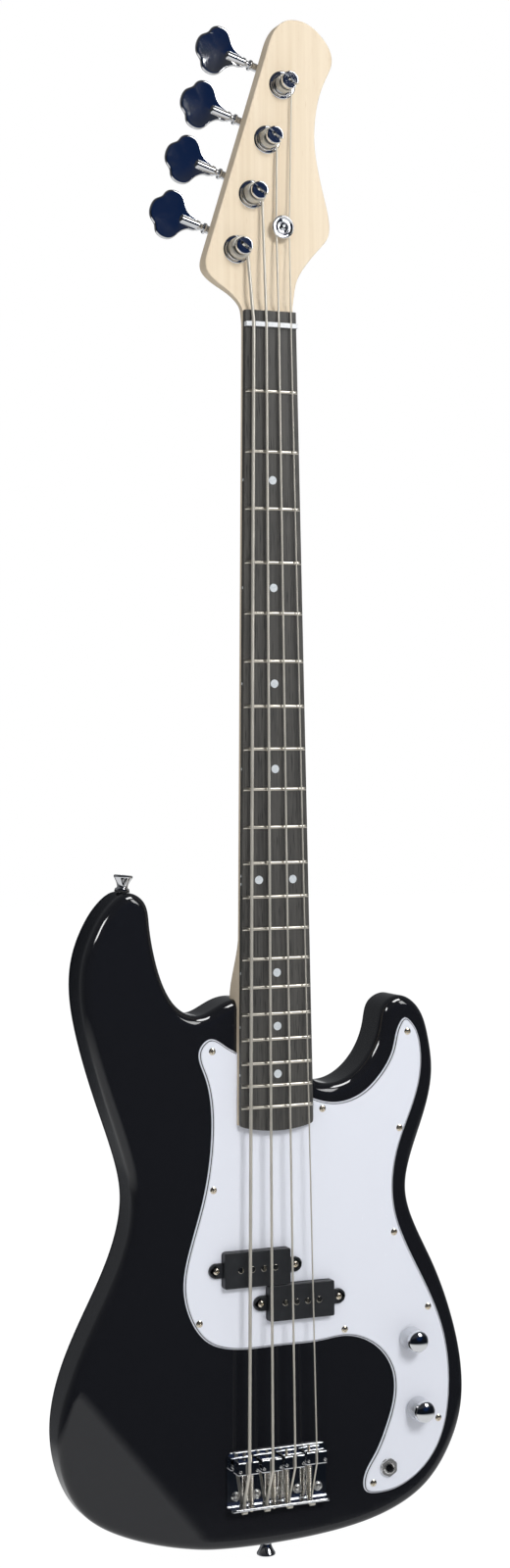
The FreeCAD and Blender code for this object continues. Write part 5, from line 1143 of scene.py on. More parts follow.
@dataclass
class Neck:
    """Maple neck with its headstock, fingerboard, frets, nut and dots."""

    shop: Workshop
    head_width: float = 106.0
    head_length: float = 225.7
    head_face: float = 0.0
    head_back: float = -14.0
    head_edge: float = 1.2
    scoop: float = 16.0
    ramp: float = 38.0
    ramp_start: float = -6.0
    shoulder: float = 0.4
    depth_nut: float = 15.0
    depth_octave: float = 18.0
    heel_sweep: float = 52.0
    heel_edge: float = 0.6
    shaft_edge: float = 0.25
    round_share: float = 0.97
    board_bulge: float = 4.0
    board_ease: float = 3.0
    board_edge: float = 0.35
    board_close: float = 12.0
    board_even: float = 16.0
    fret_width: float = 2.7
    fret_height: float = 1.2
    fret_inset: float = 0.5
    fret_slant: float = 1.4
    fret_end: float = 0.15
    fret_sink: float = 0.05
    nut_thickness: float = 3.5
    nut_top: float = 13.9
    nut_foot: float = 8.0
    nut_lift: float = 1.7
    nut_gap: float = 0.1
    nut_edge: float = 0.12
    dot_radius: float = 3.2
    dot_spread: float = 14.0
    side_dot_radius: float = 1.1
    side_dot_pitch: float = 3.0
    side_dot_height: float = 7.2
    dot_depth: float = 1.0
    dot_ease: float = 0.08
    dot_rise: Pair = (0.02, 0.04)
    side_dot_rise: Pair = (0.03, 0.05)
    flare_points: int = 60
    tip_points: int = 700
    shaft_rows: int = 90
    ramp_rows: int = 50
    head_rows: int = 110
    single_dots: Tuple[int, ...] = (3, 5, 7, 9, 15, 17, 19)
    double_dot: int = 12
    edge_start_share: Pair = (-0.445, 0.192)
    edge_end_share: Pair = (-0.022, 0.811)
    flare_shares: Tuple[Pair, ...] = (
        (-0.196, 0.0), (-0.249, 0.051), (-0.321, 0.078), (-0.401, 0.105), (-0.455, 0.139))
    tip_shares: Tuple[Pair, ...] = (
        (0.030, 0.888), (0.080, 0.950), (0.160, 0.990), (0.255, 1.000), (0.362, 0.988), (0.462, 0.952),
        (0.525, 0.911), (0.541, 0.870), (0.502, 0.820), (0.442, 0.753), (0.406, 0.671), (0.398, 0.591),
        (0.420, 0.510), (0.472, 0.405), (0.506, 0.334), (0.500, 0.274), (0.423, 0.227), (0.321, 0.171),
        (0.245, 0.110), (0.215, 0.042), (0.196, 0.0))

    def on_head(self, share: Pair) -> Array:
        """Point of the headstock's plan from its shares of width and length."""
        return np.array([share[0] * self.head_width, LAYOUT.head_reach + share[1] * self.head_length])

    def head_sides(self) -> Tuple[Array, Array]:
        """The headstock's two sides from the nut's end to the tip.

        Returns:
            Bass and treble side, each with y rising.
        """
        start, end = self.on_head(self.edge_start_share), self.on_head(self.edge_end_share)
        way = tuple(unit(end - start))
        flare = spline([*map(self.on_head, self.flare_shares), start], self.flare_points,
                       ((0.0, 1.0), way))
        tip = spline([end, *map(self.on_head, self.tip_shares)], self.tip_points, (way, (0.0, -1.0)))
        whole = np.concatenate([flare, tip])
        top = int(np.argmax(whole[:, 1]))
        return whole[:top + 1], whole[top:][::-1]

    def rows(self, tip: float) -> Array:
        """Places of the cross-sections: even along the shaft, closer round the head and at its tip."""
        start = LAYOUT.head_reach + self.ramp
        shaft = np.linspace(LAYOUT.heel_end, self.ramp_start, self.shaft_rows, endpoint=False)
        turn = np.linspace(self.ramp_start, start, self.ramp_rows, endpoint=False)
        return np.concatenate([shaft, turn, start + (tip - start) * np.sin(quarter(self.head_rows))])

    def surface(self) -> Surface:
        """Cross-sections carried along the neck.

        At each place the section runs flat across the front, down its sides and round the back, where each
        corner is a quarter ellipse x = R (1 - cos a), z = H (1 - sin a) from its edge. On the shaft R is the
        half width, which makes a round back, and on the heel and the head it is a small radius.
        """
        bass, treble = self.head_sides()
        tip = float(bass[-1, 1])
        y = self.rows(tip)[:, None]
        half = LAYOUT.half(y)
        left = np.where(y < LAYOUT.head_reach, -half, np.interp(y, bass[:, 1], bass[:, 0]))
        right = np.where(y < LAYOUT.head_reach, half, np.interp(y, treble[:, 1], treble[:, 0]))
        width = (right - left) / 2
        on_heel = 1 - smooth_step(LAYOUT.heel_top, LAYOUT.heel_top + self.heel_sweep, y)
        on_head = smooth_step(self.ramp_start, LAYOUT.head_reach + self.ramp, y)
        on_shaft = (1 - on_heel) * (1 - on_head)
        depths = LAYOUT.seat - np.array([self.depth_octave, self.depth_nut])
        shaft_back = np.interp(y, [LAYOUT.fret(LAYOUT.semitones), 0.0], depths)
        back = shaft_back * on_shaft - LAYOUT.heel_depth * on_heel + self.head_back * on_head
        near_tip = np.maximum(self.head_edge - (tip - y), 0.0)
        ease = self.head_edge - np.sqrt(np.maximum(self.head_edge ** 2 - near_tip ** 2, 0.0))
        run = np.clip(LAYOUT.head_reach + self.scoop - y, 0.0, self.scoop)
        rise = LAYOUT.seat - self.head_face
        bow = (self.scoop ** 2 + rise ** 2) / (2 * rise)
        front = self.head_face + bow - np.sqrt(bow ** 2 - run ** 2) - ease
        full = width * self.round_share
        radius = np.minimum(full, full * on_shaft + self.heel_edge * on_heel + self.head_edge * on_head)
        low_side = LAYOUT.seat - self.shoulder
        height = (low_side - back) * on_shaft + self.heel_edge * on_heel + self.head_edge * on_head
        back = back + ease
        height = np.minimum(height, front - back - self.head_edge)
        lip = np.minimum(self.shaft_edge + (self.head_edge - self.shaft_edge) * on_head, width * EASE_SHARE)
        a, b = quarter(16), quarter(5)
        t = np.linspace(0.0, 1.0, 14)[1:-1]
        inset = np.concatenate([lip * (1 - np.sin(b)), radius * (1 - np.cos(a))], axis=1)
        side = np.concatenate([front - lip * (1 - np.cos(b)), back + height - height * np.sin(a)], axis=1)
        deck = left + lip + (width * 2 - lip * 2) * t
        under = left + radius + (width * 2 - radius * 2) * t[::-1]
        x = np.concatenate([deck, right - inset, under, left + inset[:, ::-1]], axis=1)
        z = np.concatenate([front + 0 * deck, side, back + 0 * under, side[:, ::-1]], axis=1)
        return capped(spots(x, y, z))

    def board(self) -> Surface:
        """Fingerboard: crowned sections whose width is the soft lesser of the taper and the bowed end.

        The bowed end is an arc through both corners and the middle of the end. The soft lesser of p and q is
        (p + q - sqrt((p - q)^2 + k^2)) / 2.
        """
        end = LAYOUT.board_end
        close = end + self.board_close * np.linspace(0.0, 1.0, 40) ** 2
        y = np.concatenate([close, np.linspace(end + self.board_even, LAYOUT.head_reach, 120)])
        taper = LAYOUT.half(y)
        corner = float(LAYOUT.half(end + self.board_bulge))
        bow = (corner ** 2 + self.board_bulge ** 2) / (2 * self.board_bulge)
        rise = np.clip(y - end, 0.0, bow)
        arc = np.sqrt(np.maximum(bow ** 2 - (bow - rise) ** 2, 0.0))
        soft = (taper + arc - np.sqrt((taper - arc) ** 2 + self.board_ease ** 2)) / 2
        half = np.maximum(np.where(arc > taper + 8 * self.board_ease, taper, soft), 0.0)
        t = np.linspace(-1.0, 1.0, 41)
        inner = np.maximum(half - self.board_edge, 0.0)
        x_top = inner[:, None] * t
        z_top = LAYOUT.board_top - LAYOUT.drop(x_top)
        shoulder = LAYOUT.board_top - LAYOUT.drop(half) - self.board_edge
        x_side, z_side = spots(half, half), spots(shoulder, LAYOUT.seat)
        x = np.concatenate([x_top, x_side, -x_side[:, ::-1]], axis=1)
        z = np.concatenate([z_top, z_side, z_side[:, ::-1]], axis=1)
        points = spots(x, y[:, None], z)
        return grid(np.concatenate([points, drawn(points[-1:])]))

    def fret_surfaces(self) -> Surface:
        """Frets: a half ellipse w/2 cos a, h sin a carried across the crown, lowered at its slanted ends."""
        a = np.linspace(0.0, math.pi, 13)
        t = np.concatenate([[-1.0], np.linspace(-0.985, 0.985, 31), [1.0]])[:, None]
        parts = []
        for number in range(1, LAYOUT.frets + 1):
            y = LAYOUT.fret(number)
            half = float(LAYOUT.half(y)) - self.fret_inset
            x = half * t
            slant = (1 - np.abs(t)) * half / self.fret_height * self.fret_slant
            rise = np.minimum(1.0, slant + self.fret_end)
            z = LAYOUT.board_top - LAYOUT.drop(x) + self.fret_height * np.sin(a) * rise - self.fret_sink
            parts.append(capped(spots(x, y + self.fret_width / 2 * np.cos(a), z)))
        return joined(parts)

    def nut(self) -> Surface:
        """Nut: its crowned top dips round under each string, c - sqrt(r^2 - (x - s)^2); carried through y."""
        half = LAYOUT.nut_width / 2
        x = np.linspace(-half, half, 241)
        top = self.nut_top - LAYOUT.drop(x)
        for index, gauge in enumerate(LAYOUT.gauges):
            s = LAYOUT.string_x(index, LAYOUT.nut_pitch)
            radius = gauge / 2 + self.nut_gap
            centre = LAYOUT.board_top - float(LAYOUT.drop(s)) + self.nut_lift + gauge / 2
            reach = np.clip(radius ** 2 - (x - s) ** 2, 0.0, None)
            top = np.where(np.abs(x - s) < radius, np.minimum(top, centre - np.sqrt(reach)), top)
        foot = [(-half, self.nut_foot), (half, self.nut_foot)]
        outline = np.concatenate([spots(x, top)[::-1], foot])
        rings = rounded_rings(0.0, self.nut_thickness, self.nut_edge, 3)
        turn = np.array([(1.0, 0.0, 0.0), (0.0, 0.0, 1.0), (0.0, 1.0, 0.0)])
        return stack(outline, rings).moved((0.0, 0.0, 0.0), turn)

    def dot_places(self, apart: float) -> List[Pair]:
        """Fret of each dot and its distance from the middle of the others, which only a pair has."""
        return [(n, 0.0) for n in self.single_dots] + [(self.double_dot, s.value * apart) for s in Side]

    def dots(self) -> Surface:
        """Round inlays on the crown and on the bass edge, midway between two frets."""
        low, sizes = -self.dot_depth, ((self.dot_radius, self.dot_rise, 56),
                                       (self.side_dot_radius, self.side_dot_rise, 32))
        disc, side = [turned([(0.0, low), (r, low), (r, rim), (0.0, middle)], self.dot_ease, steps)
                      for r, (rim, middle), steps in sizes]
        parts = []
        for number, x in self.dot_places(self.dot_spread):
            place = (x, LAYOUT.between_frets(number), LAYOUT.board_top - float(LAYOUT.drop(x)))
            parts.append(disc.moved(place, facing((x / LAYOUT.crown, 0.0, 1.0))))
        for number, shift in self.dot_places(self.side_dot_pitch):
            y = LAYOUT.between_frets(number) + shift
            parts.append(side.moved((-float(LAYOUT.half(y)), y, self.side_dot_height), TO_BASS))
        return joined(parts)

    def build(self) -> None:
        """Makes the neck and what is set in it."""
        piece = self.shop.piece
        piece("neck_maple", self.surface(), MAPLE, ["neck"])
        piece("fingerboard_dark", self.board(), BOARD, ["fingerboard"])
        piece("frets_crowned", self.fret_surfaces(), FRET_WIRE, ["frets"], sharp=60.0)
        piece("nut_slotted", self.nut(), NUT_WHITE, ["nut"])
        piece("dots_inlaid", self.dots(), DOTS, ["position_dots"])
        self.shop.dress(PLAIN_STEEL, "truss_rod")


# Tuning machines


@dataclass
class Tuners:
    """Four open tuning machines in a slanted row, with the string tree."""

    shop: Workshop
    first: Pair = (-23.5, 59.41)
    pitch: float = 44.5
    angle: float = 16.8
    head_face: float = 0.0
    head_back: float = -14.0
    post_radius: float = 4.8
    post_gap: float = 0.05
    post_foot: float = 3.4
    post_journal: float = 3.6
    post_below: float = 1.6
    collar_rise: float = 1.0
    post_waist: float = 5.5
    post_collar: float = 6.3
    post_cap: float = 6.7
    post_top: float = 17.5
    cap_height: float = 3.2
    slot_width: float = 2.6
    slot_turn: float = -72.0
    slot_depth: float = 6.5
    flange: float = 10.8
    flange_height: float = 1.6
    barrel: float = 6.6
    barrel_length: float = 10.0
    plate_half: float = 16.0
    plate_below: float = 13.0
    plate_above: float = 23.0
    plate_thickness: float = 1.6
    plate_corner: float = 4.0
    plate_edge: float = 0.4
    screw_inset: float = 3.6
    teeth: int = 20
    wheel: float = 9.1
    tooth: float = 1.3
    wheel_root_share: float = 0.22
    wheel_tip_share: float = 0.08
    wheel_thickness: float = 4.4
    wheel_top: float = -17.1
    hub: float = 6.0
    hub_height: float = 1.4
    worm_offset: float = 12.25
    key_z: float = -19.3
    worm: float = 3.6
    worm_root: float = 2.4
    worm_length: float = 11.6
    worm_pitch: float = 2.6
    worm_flank_share: float = 0.1867
    worm_tip_share: float = 0.08
    worm_end_share: float = 0.12
    ear_inner: float = 6.1
    ear_thickness: float = 1.6
    ear_half: float = 4.2
    ear_edge: float = 0.3
    journal: float = 2.2
    shank: float = 3.0
    leaf_start: float = 30.0
    leaf_length: float = 39.0
    leaf_width: float = 38.6
    leaf_thickness: float = 3.4
    leaf_dish: float = 0.35
    leaf_flat_share: float = 0.93
    leaf_edge_share: float = 0.07
    leaf_points: int = 220
    ferrule: float = 3.75
    ferrule_start: float = 28.0
    ferrule_end: float = 44.6
    ring: float = 4.1
    ring_place: float = 23.2
    tree_place: Pair = (11.8, 77.6)
    tree_radius: float = 8.9
    tree_stem: float = 3.2
    tree_low: float = 6.5
    tree_high: float = 8.3
    tree_screw: Quad = (1.3, 2.6, 1.2, 12.0)
    plate_screw: Quad = (1.4, 2.4, 1.4, 9.0)
    leaf_shares: Tuple[Pair, ...] = (
        (0.000, 0.112), (0.103, 0.135), (0.218, 0.192), (0.308, 0.285), (0.372, 0.389), (0.462, 0.472),
        (0.590, 0.500), (0.718, 0.464), (0.790, 0.382), (0.822, 0.305), (0.872, 0.256), (0.944, 0.190),
        (0.987, 0.100))

    def post_place(self, index: int) -> Array:
        """Centre of a post."""
        return np.array([*self.first, 0.0]) + self.axes()[:, 1] * self.pitch * index

    def axes(self, extra: float = 0.0) -> Array:
        """Axes of a machine: x square to the row and inward, y along the row, z out of the front.

        Args:
            extra: Further turn about z, in degrees.

        Returns:
            The axes, as columns.
        """
        turn = math.radians(self.angle + extra)
        cos, sin = math.cos(turn), math.sin(turn)
        return np.array([(cos, sin, 0.0), (-sin, cos, 0.0), (0.0, 0.0, 1.0)])

    def gear(self) -> Surface:
        """Worm wheel: each tooth has a root and a tip corner on both sides, at shares of its step."""
        step = math.tau / self.teeth
        root, tip = self.wheel_root_share, self.wheel_tip_share
        shares = np.array([-root, -tip, tip, root])
        radii = np.array([self.wheel - self.tooth, self.wheel, self.wheel, self.wheel - self.tooth])
        a = (math.pi / 2 + (np.arange(self.teeth)[:, None] + shares) * step).ravel()
        r = np.tile(radii, self.teeth)
        outline = spots(r * np.cos(a), r * np.sin(a))
        return stack(outline, [(0.0, self.wheel_top - self.wheel_thickness), (0.0, self.wheel_top)])

    def post(self) -> Surface:
        """Post: journal, narrow waist for the string and a flared cap."""
        wheel, hub = self.wheel_top, self.wheel_top + self.hub_height
        low, collar = wheel - self.wheel_thickness, self.head_face + self.flange_height + self.collar_rise
        end, journal = low - self.post_below, self.post_journal
        cap, top = self.post_top - self.cap_height, self.post_top
        stem, ring, waist, rim = self.post_radius, self.post_collar, self.post_waist, self.post_cap
        profile = [(0.0, end), (self.post_foot, end), (journal, low), (journal, wheel), (self.hub, wheel),
                   (self.hub, hub), (stem, hub), (stem, collar - 0.8), (ring, collar - 0.8),
                   (ring, collar + 0.4), (waist, collar + 1.0), (waist, cap - 0.6), (rim, cap + 0.4),
                   (rim, top - 0.5), (rim - 0.5, top), (rim - 1.2, top), (0.0, top)]
        return turned(profile, 0.35, FINE_TURN)

    def post_slot(self) -> Surface:
        """Slot across the top of a post."""
        plan = rectangle(self.slot_width / 2, self.post_cap * 2, 0.2, 3)
        return stack(plan, [(0.0, self.post_top + z) for z in (-self.slot_depth, self.slot_depth)])

    def bushing(self) -> Surface:
        """Flanged sleeve round a post: a stepped ring on the head and a barrel in it."""
        bore, face, rim = self.post_radius + self.post_gap, self.head_face, self.flange
        low, step, top = face - self.barrel_length, face + 1.0, face + self.flange_height
        profile = [(bore, low), (self.barrel, low), (self.barrel, face), (rim, face), (rim, face + 0.6),
                   (rim - 0.9, step), (rim - 2.4, step), (rim - 2.7, top), (bore + 0.6, top),
                   (bore, top - 0.5)]
        return turned(profile, 0.3, FINE_TURN, ring=True)

    def plate(self) -> Surface:
        """Back plate with two round-topped ears for the key's shaft."""
        low, high = self.head_back - self.plate_thickness, self.head_back
        middle = (self.plate_above - self.plate_below) / 2
        plan = rectangle(self.plate_half, (self.plate_above + self.plate_below) / 2, self.plate_corner)
        parts = [stack(plan + (0.0, middle), rounded_rings(low, high, self.plate_edge, 4))]
        a = np.linspace(math.pi, math.tau, 24)
        crown = self.ear_half * spots(np.cos(a), np.sin(a))
        foot = low - self.key_z
        outline = np.concatenate([crown, [(self.ear_half, foot), (-self.ear_half, foot)]])
        ear = stack(outline, rounded_rings(0.0, self.ear_thickness, self.ear_edge, 3))
        for start in (self.ear_inner, -self.ear_inner - self.ear_thickness):
            parts.append(ear.moved((start, self.worm_offset, self.key_z), TO_TREBLE))
        return joined(parts)

    def worm_screw(self) -> Surface:
        """Worm: radius raised to the thread's where the place along it, less the turn, is near a whole pitch.

        The thread's height falls evenly from the tip share to the flank share of the pitch.
        """
        a = angles(72)
        x = np.linspace(-self.worm_length / 2, self.worm_length / 2, 140)[:, None]
        phase = x / self.worm_pitch + 0.5 - a / math.tau
        off = np.abs(phase - np.round(phase))
        flank, tip = self.worm_flank_share, self.worm_tip_share
        rise = np.clip((flank - off) / (flank - tip), 0.0, 1.0)
        ends = smooth_step(0.0, self.worm_end_share, (self.worm_length / 2 - np.abs(x)) / self.worm_length)
        r = self.worm_root + (self.worm - self.worm_root) * rise * ends
        first, last = [(float(end), self.worm_offset, self.key_z) for end in x[[0, -1], 0]]
        return capped(spots(x, self.worm_offset - r * np.cos(a), self.key_z - r * np.sin(a)), first, last)

    def key_shaft(self) -> Surface:
        """Shaft of a key: journals, a waisted shank past the head, and a ferrule that grips the leaf."""
        outer = self.ear_inner + self.ear_thickness
        end, ring, grip = self.ferrule_end, self.ring_place, self.ferrule_start
        journal, shank, waist, ferrule = self.journal, self.shank, self.shank - 0.5, self.ferrule
        profile = [(0.0, -outer - 1.2), (journal + 0.6, -outer - 1.2), (journal + 0.6, -outer - 0.1),
                   (journal, -outer - 0.1), (journal, outer + 0.3), (shank, outer + 0.3), (shank, ring - 1.4),
                   (self.ring, ring - 0.9), (self.ring, ring + 0.9), (waist, ring + 1.6), (waist, grip - 1.0),
                   (ferrule, grip), (ferrule, end - 1.6), (ferrule - 1.2, end - 0.3), (0.0, end)]
        return turned(profile, 0.5, TURN).moved((0.0, self.worm_offset, self.key_z), TO_BASS)

    def leaf(self) -> Surface:
        """Cloverleaf: its outline drawn in to the middle through shares s, its face rounded and dished."""
        half = [(-u * self.leaf_length, v * self.leaf_width) for u, v in self.leaf_shares]
        tip = [(-self.leaf_length, 0.0)]
        outline = spline([*half, *tip, *[(x, -y) for x, y in half[::-1]]], self.leaf_points)
        middle = np.array([-0.5 * self.leaf_length, 0.0])
        s = np.array([0.0, 0.3, 0.55, 0.75, 0.88, 0.93, 0.955, 0.975, 0.99, 1.0])
        thick = self.leaf_thickness / 2
        past = np.clip((s - self.leaf_flat_share) / self.leaf_edge_share, 0.0, 1.0)
        edge = np.sqrt(np.maximum(1 - past ** 2, 0.0))
        z = thick * edge - self.leaf_dish * (1 - s ** 2)
        s, z = np.concatenate([s, s[-2::-1]]), np.concatenate([z, -z[-2::-1]])
        plan = middle + s[:, None, None] * (outline - middle)[None]
        return grid(raised(plan, z[:, None])).moved((-self.leaf_start, self.worm_offset, self.key_z))

    def tree(self) -> Surface:
        """String tree: stem and a ringed disc over the two thin strings."""
        rim, stem, face = self.tree_radius, self.tree_stem, self.head_face
        low, high = self.tree_low, self.tree_high
        profile = [(0.0, face), (stem, face), (stem, low), (rim - 1.2, low), (rim, low + 0.6),
                   (rim, high - 0.3), (rim - 0.8, high + 0.2), (rim - 1.4, high - 0.1),
                   (rim - 2.2, high - 0.9), (rim - 3.4, high - 0.9), (rim - 4.2, high), (rim - 5.0, high),
                   (rim - 5.6, high - 0.4), (0.0, high - 0.4)]
        return turned(profile, 0.4, FINE_TURN).moved((*self.tree_place, 0.0))

    def screws(self, places: Sequence[Array]) -> Surface:
        """Four screws in each plate, and the string tree's."""
        half = self.plate_half - self.screw_inset
        rows = (self.screw_inset - self.plate_below, self.plate_above - self.screw_inset)
        corners = [(x, y, self.head_back - self.plate_thickness) for x in (-half, half) for y in rows]
        plate = spread(behind(self.plate_screw), corners)
        tree = screw(*self.tree_screw).moved((*self.tree_place, self.tree_high))
        return joined([spread(plate, places, self.axes()), tree])

    def build(self) -> None:
        """Makes the machines."""
        axes, piece = self.axes(), self.shop.piece
        places = [self.post_place(index) for index in range(len(STRINGS))]
        piece("tuner_bushings_stepped", spread(self.bushing(), places), CHROME, ["tuner_bushings"])
        piece("tuner_plates_eared", spread(self.plate(), places, axes), CHROME, ["tuner_plates"])
        piece("string_tree_round", self.tree(), CHROME, ["string_tree"])
        piece("headstock_screws_crossed", self.screws(places), CHROME, ["headstock_screws"])
        key = joined([self.key_shaft(), self.worm_screw(), self.leaf()])
        post = joined([self.post(), self.gear()])
        for name, place in zip(STRINGS, places):
            body = f"tuner_key_{name}"
            piece(f"key_{name}_clover", key.moved(place, axes), CHROME, [body], body)
            body = f"tuner_post_{name}"
            slot = self.post_slot().moved(place, self.axes(self.slot_turn))
            piece(f"post_{name}_slotted", post.moved(place, axes), CHROME, [body], body, cutters=[slot])


# Pickguard, pickup and controls


@dataclass
class Electrics:
    """Pickguard with the split pickup, two knobs and the jack."""

    shop: Workshop
    guard_top: float = 2.4
    guard_wall: float = 0.35
    guard_bevel: float = 2.05
    guard_gap: float = 0.3
    guard_points: int = 900
    guard_screw: Quad = (1.4, 2.7, 1.0, 12.0)
    hole_corner: float = 2.6
    pickup_length: float = 54.2
    pickup_width: float = 27.4
    pickup_top: float = 9.0
    pickup_foot: float = -8.0
    pickup_corner: float = 1.3
    pickup_edge: float = 0.6
    pickups: Tuple[Pair, ...] = ((-16.8, -715.0), (19.5, -742.9))
    ear_radius: float = 5.7
    ear_span: float = 64.8
    ear_top: float = 4.8
    ear_edge: float = 0.5
    ear_screw: Quad = (1.4, 2.6, 1.4, 22.0)
    pole: float = 2.4
    pole_pitch: float = 9.4
    pole_proud: float = 0.6
    volume_share: Pair = (0.342, 0.296)
    tone_share: Pair = (0.358, 0.186)
    jack_share: Pair = (0.283, 0.099)
    bush: float = 4.7
    nut_flats: float = 12.7
    nut_height: float = 2.0
    nut_chamfer: float = 0.45
    nut_chamfer_share: float = 0.93
    washer: float = 6.9
    washer_height: float = 0.5
    knob_low: float = 3.3
    knob_high: float = 17.6
    knob_dome: float = 3.8
    knob_radius: float = 9.5
    knob_top: float = 8.6
    knurls: int = 32
    knurl_depth: float = 0.45
    knurl_starts: Pair = (1.4, 2.2)
    knurl_stops: Pair = (1.6, 0.8)
    knob_bore: Pair = (7.0, 7.4)
    knob_bore_depth: float = 5.0
    jack_bore: float = 3.25
    jack_top: float = 5.7
    jack_low: float = -6.0
    jack_flange: float = 8.0
    jack_thread: Pair = (0.25, 0.35)
    jack_shoulder: float = -1.2
    jack_floor: float = 2.0
    guard_shares: Tuple[Pair, ...] = (
        (-0.087, 0.754), (-0.115, 0.765), (-0.154, 0.777), (-0.179, 0.762), (-0.169, 0.725), (-0.152, 0.667),
        (-0.155, 0.607), (-0.176, 0.531), (-0.210, 0.457), (-0.223, 0.409), (-0.208, 0.359), (-0.164, 0.320),
        (-0.102, 0.306), (0.014, 0.305), (0.120, 0.306), (0.176, 0.309), (0.225, 0.301), (0.271, 0.279),
        (0.299, 0.246), (0.301, 0.205), (0.282, 0.163), (0.250, 0.119), (0.222, 0.083), (0.225, 0.067),
        (0.263, 0.060), (0.316, 0.066), (0.387, 0.097), (0.430, 0.145), (0.446, 0.206), (0.444, 0.260),
        (0.424, 0.320), (0.385, 0.380), (0.335, 0.446), (0.309, 0.494), (0.304, 0.548), (0.320, 0.598),
        (0.353, 0.652), (0.377, 0.705), (0.377, 0.753), (0.355, 0.787), (0.338, 0.794), (0.324, 0.785),
        (0.307, 0.748), (0.269, 0.706), (0.218, 0.679), (0.154, 0.670), (0.099, 0.679), (0.000, 0.716))
    screw_shares: Tuple[Pair, ...] = (
        (-0.151, 0.759), (0.122, 0.662), (-0.151, 0.550), (-0.188, 0.351), (0.342, 0.773), (0.319, 0.624),
        (0.303, 0.463), (0.390, 0.342), (0.415, 0.166), (0.244, 0.077), (0.174, 0.320))

    @property
    def control_shares(self) -> Tuple[Pair, ...]:
        """Places of the two knobs and the jack."""
        return self.volume_share, self.tone_share, self.jack_share

    def guard(self) -> Surface:
        """Pickguard: its outline, notched square round the heel, carried up a wall and in along the bevel."""
        rim = LAYOUT.outline(self.guard_shares, self.guard_points)
        insets = np.array([0.0, 0.0, self.guard_bevel])
        plan = rim[None] - insets[:, None, None] * outward(rim)[None]
        heel = LAYOUT.heel_plan(self.guard_gap)
        under = inside(plan[0], heel) | inside(plan[-1], heel)
        first = int(np.argmax(np.roll(under, 1) & ~under))
        plan = np.roll(plan, -first, axis=1)[:, ~np.roll(under, -first)]
        low, start, end = heel[0, 1], plan[0, 0, 1], plan[0, -1, 1]
        corners = np.array([(1.0, end), (1.0, low), (-1.0, low), (-1.0, start)])
        notch = corners * spots(LAYOUT.half(corners[:, 1]) + self.guard_gap, 1.0)
        plan = np.concatenate([plan, np.broadcast_to(notch, (len(plan), *notch.shape))], axis=1)
        half_x, half_y = self.pickup_length / 2 + self.guard_gap, self.pickup_width / 2 + self.guard_gap
        holes = [rectangle(half_x, half_y, self.hole_corner) + np.array(place) for place in self.pickups]
        holes += [circle(self.bush, *LAYOUT.on_body(share)) for share in self.control_shares]
        return layered(plan, (0.0, self.guard_wall, self.guard_top), holes)

    def covers(self) -> Surface:
        """Pickup covers: rounded boxes with a round-ended tab across each, screwed at its ears."""
        box = stack(rectangle(self.pickup_length / 2, self.pickup_width / 2, self.pickup_corner),
                    rounded_rings(self.pickup_foot, self.pickup_top, self.pickup_edge, 6, both=False))
        ear = self.ear_radius
        tab = stack(rectangle(self.ear_span / 2 + ear, ear, ear - 0.01, 16),
                    rounded_rings(self.guard_top, self.ear_top, self.ear_edge, 4, both=False))
        return spread(joined([box, tab]), [(*place, 0.0) for place in self.pickups])

    def poles(self) -> Surface:
        """Pole pieces: short round rods, eased at the top."""
        rod = barrel(self.pole, self.pickup_foot, self.pickup_top + self.pole_proud, 0.4, 40)
        offsets = (np.arange(4) - 1.5) * self.pole_pitch
        return spread(rod, [(x + shift, y, 0.0) for x, y in self.pickups for shift in offsets])

    def knob(self) -> Surface:
        """Knob: a tapered side, cut by two crossing sets of slanted grooves, under a dome.

        A groove is deep where |cos(n a / 2 + k z)| or |cos(n a / 2 - k z)| is small, with k = n / (2 R),
        which slants both sets by 45 degrees.
        """
        low, high, rim = self.knob_low, self.knob_high, self.knob_radius
        roof, (inner, outer) = low + self.knob_bore_depth, self.knob_bore
        start, full = [low + rise for rise in self.knurl_starts]
        fade, stop = [high - fall for fall in self.knurl_stops]
        foot = eased([(0.0, roof), (inner, roof), (outer, low), (rim - 0.4, low), (rim, low + 0.5),
                      (rim, start)], 0.3, 4)
        t = np.linspace(0.0, 1.0, 60)[1:, None]
        side = (1 - t) * foot[-1] + t * (self.knob_top + 0.1, stop)
        a = quarter(16)
        dome = spots((self.knob_top - 0.3) * np.cos(a), high + self.knob_dome * np.sin(a))
        rows = np.concatenate([foot, side, dome])
        turn = angles(self.knurls * 10)
        z = rows[:, 1:]
        slant = self.knurls / (2 * rim) * z
        wave = self.knurls * turn / 2
        peak = np.minimum(np.abs(np.cos(wave + slant)), np.abs(np.cos(wave - slant)))
        band = smooth_step(start, full, z) * (1 - smooth_step(fade, stop, z))
        return grid(swept(rows[:, :1] - self.knurl_depth * band * (1 - peak), z, turn))

    def hexagon(self, low: float, high: float, bore: float) -> Surface:
        """Hex nut: radius f / cos(a folded to a sixth), clipped by a chamfer cone at both ends."""
        a = angles(96)
        flat = self.nut_flats / 2 / np.cos((a + math.pi / 6) % (math.pi / 3) - math.pi / 6)
        cut, share = self.nut_chamfer, self.nut_chamfer_share
        levels = np.array([(low, share), (low + cut, 1.0), (high - cut, 1.0), (high, share)])
        limit = self.nut_flats / 2 / math.cos(math.pi / 6) * levels[:, 1:]
        hole = np.full((1, len(a)), bore)
        z = np.array([low, *levels[:, 0], high, low])[:, None]
        return grid(swept(np.concatenate([hole, np.minimum(flat, limit), hole, hole]), z, a))

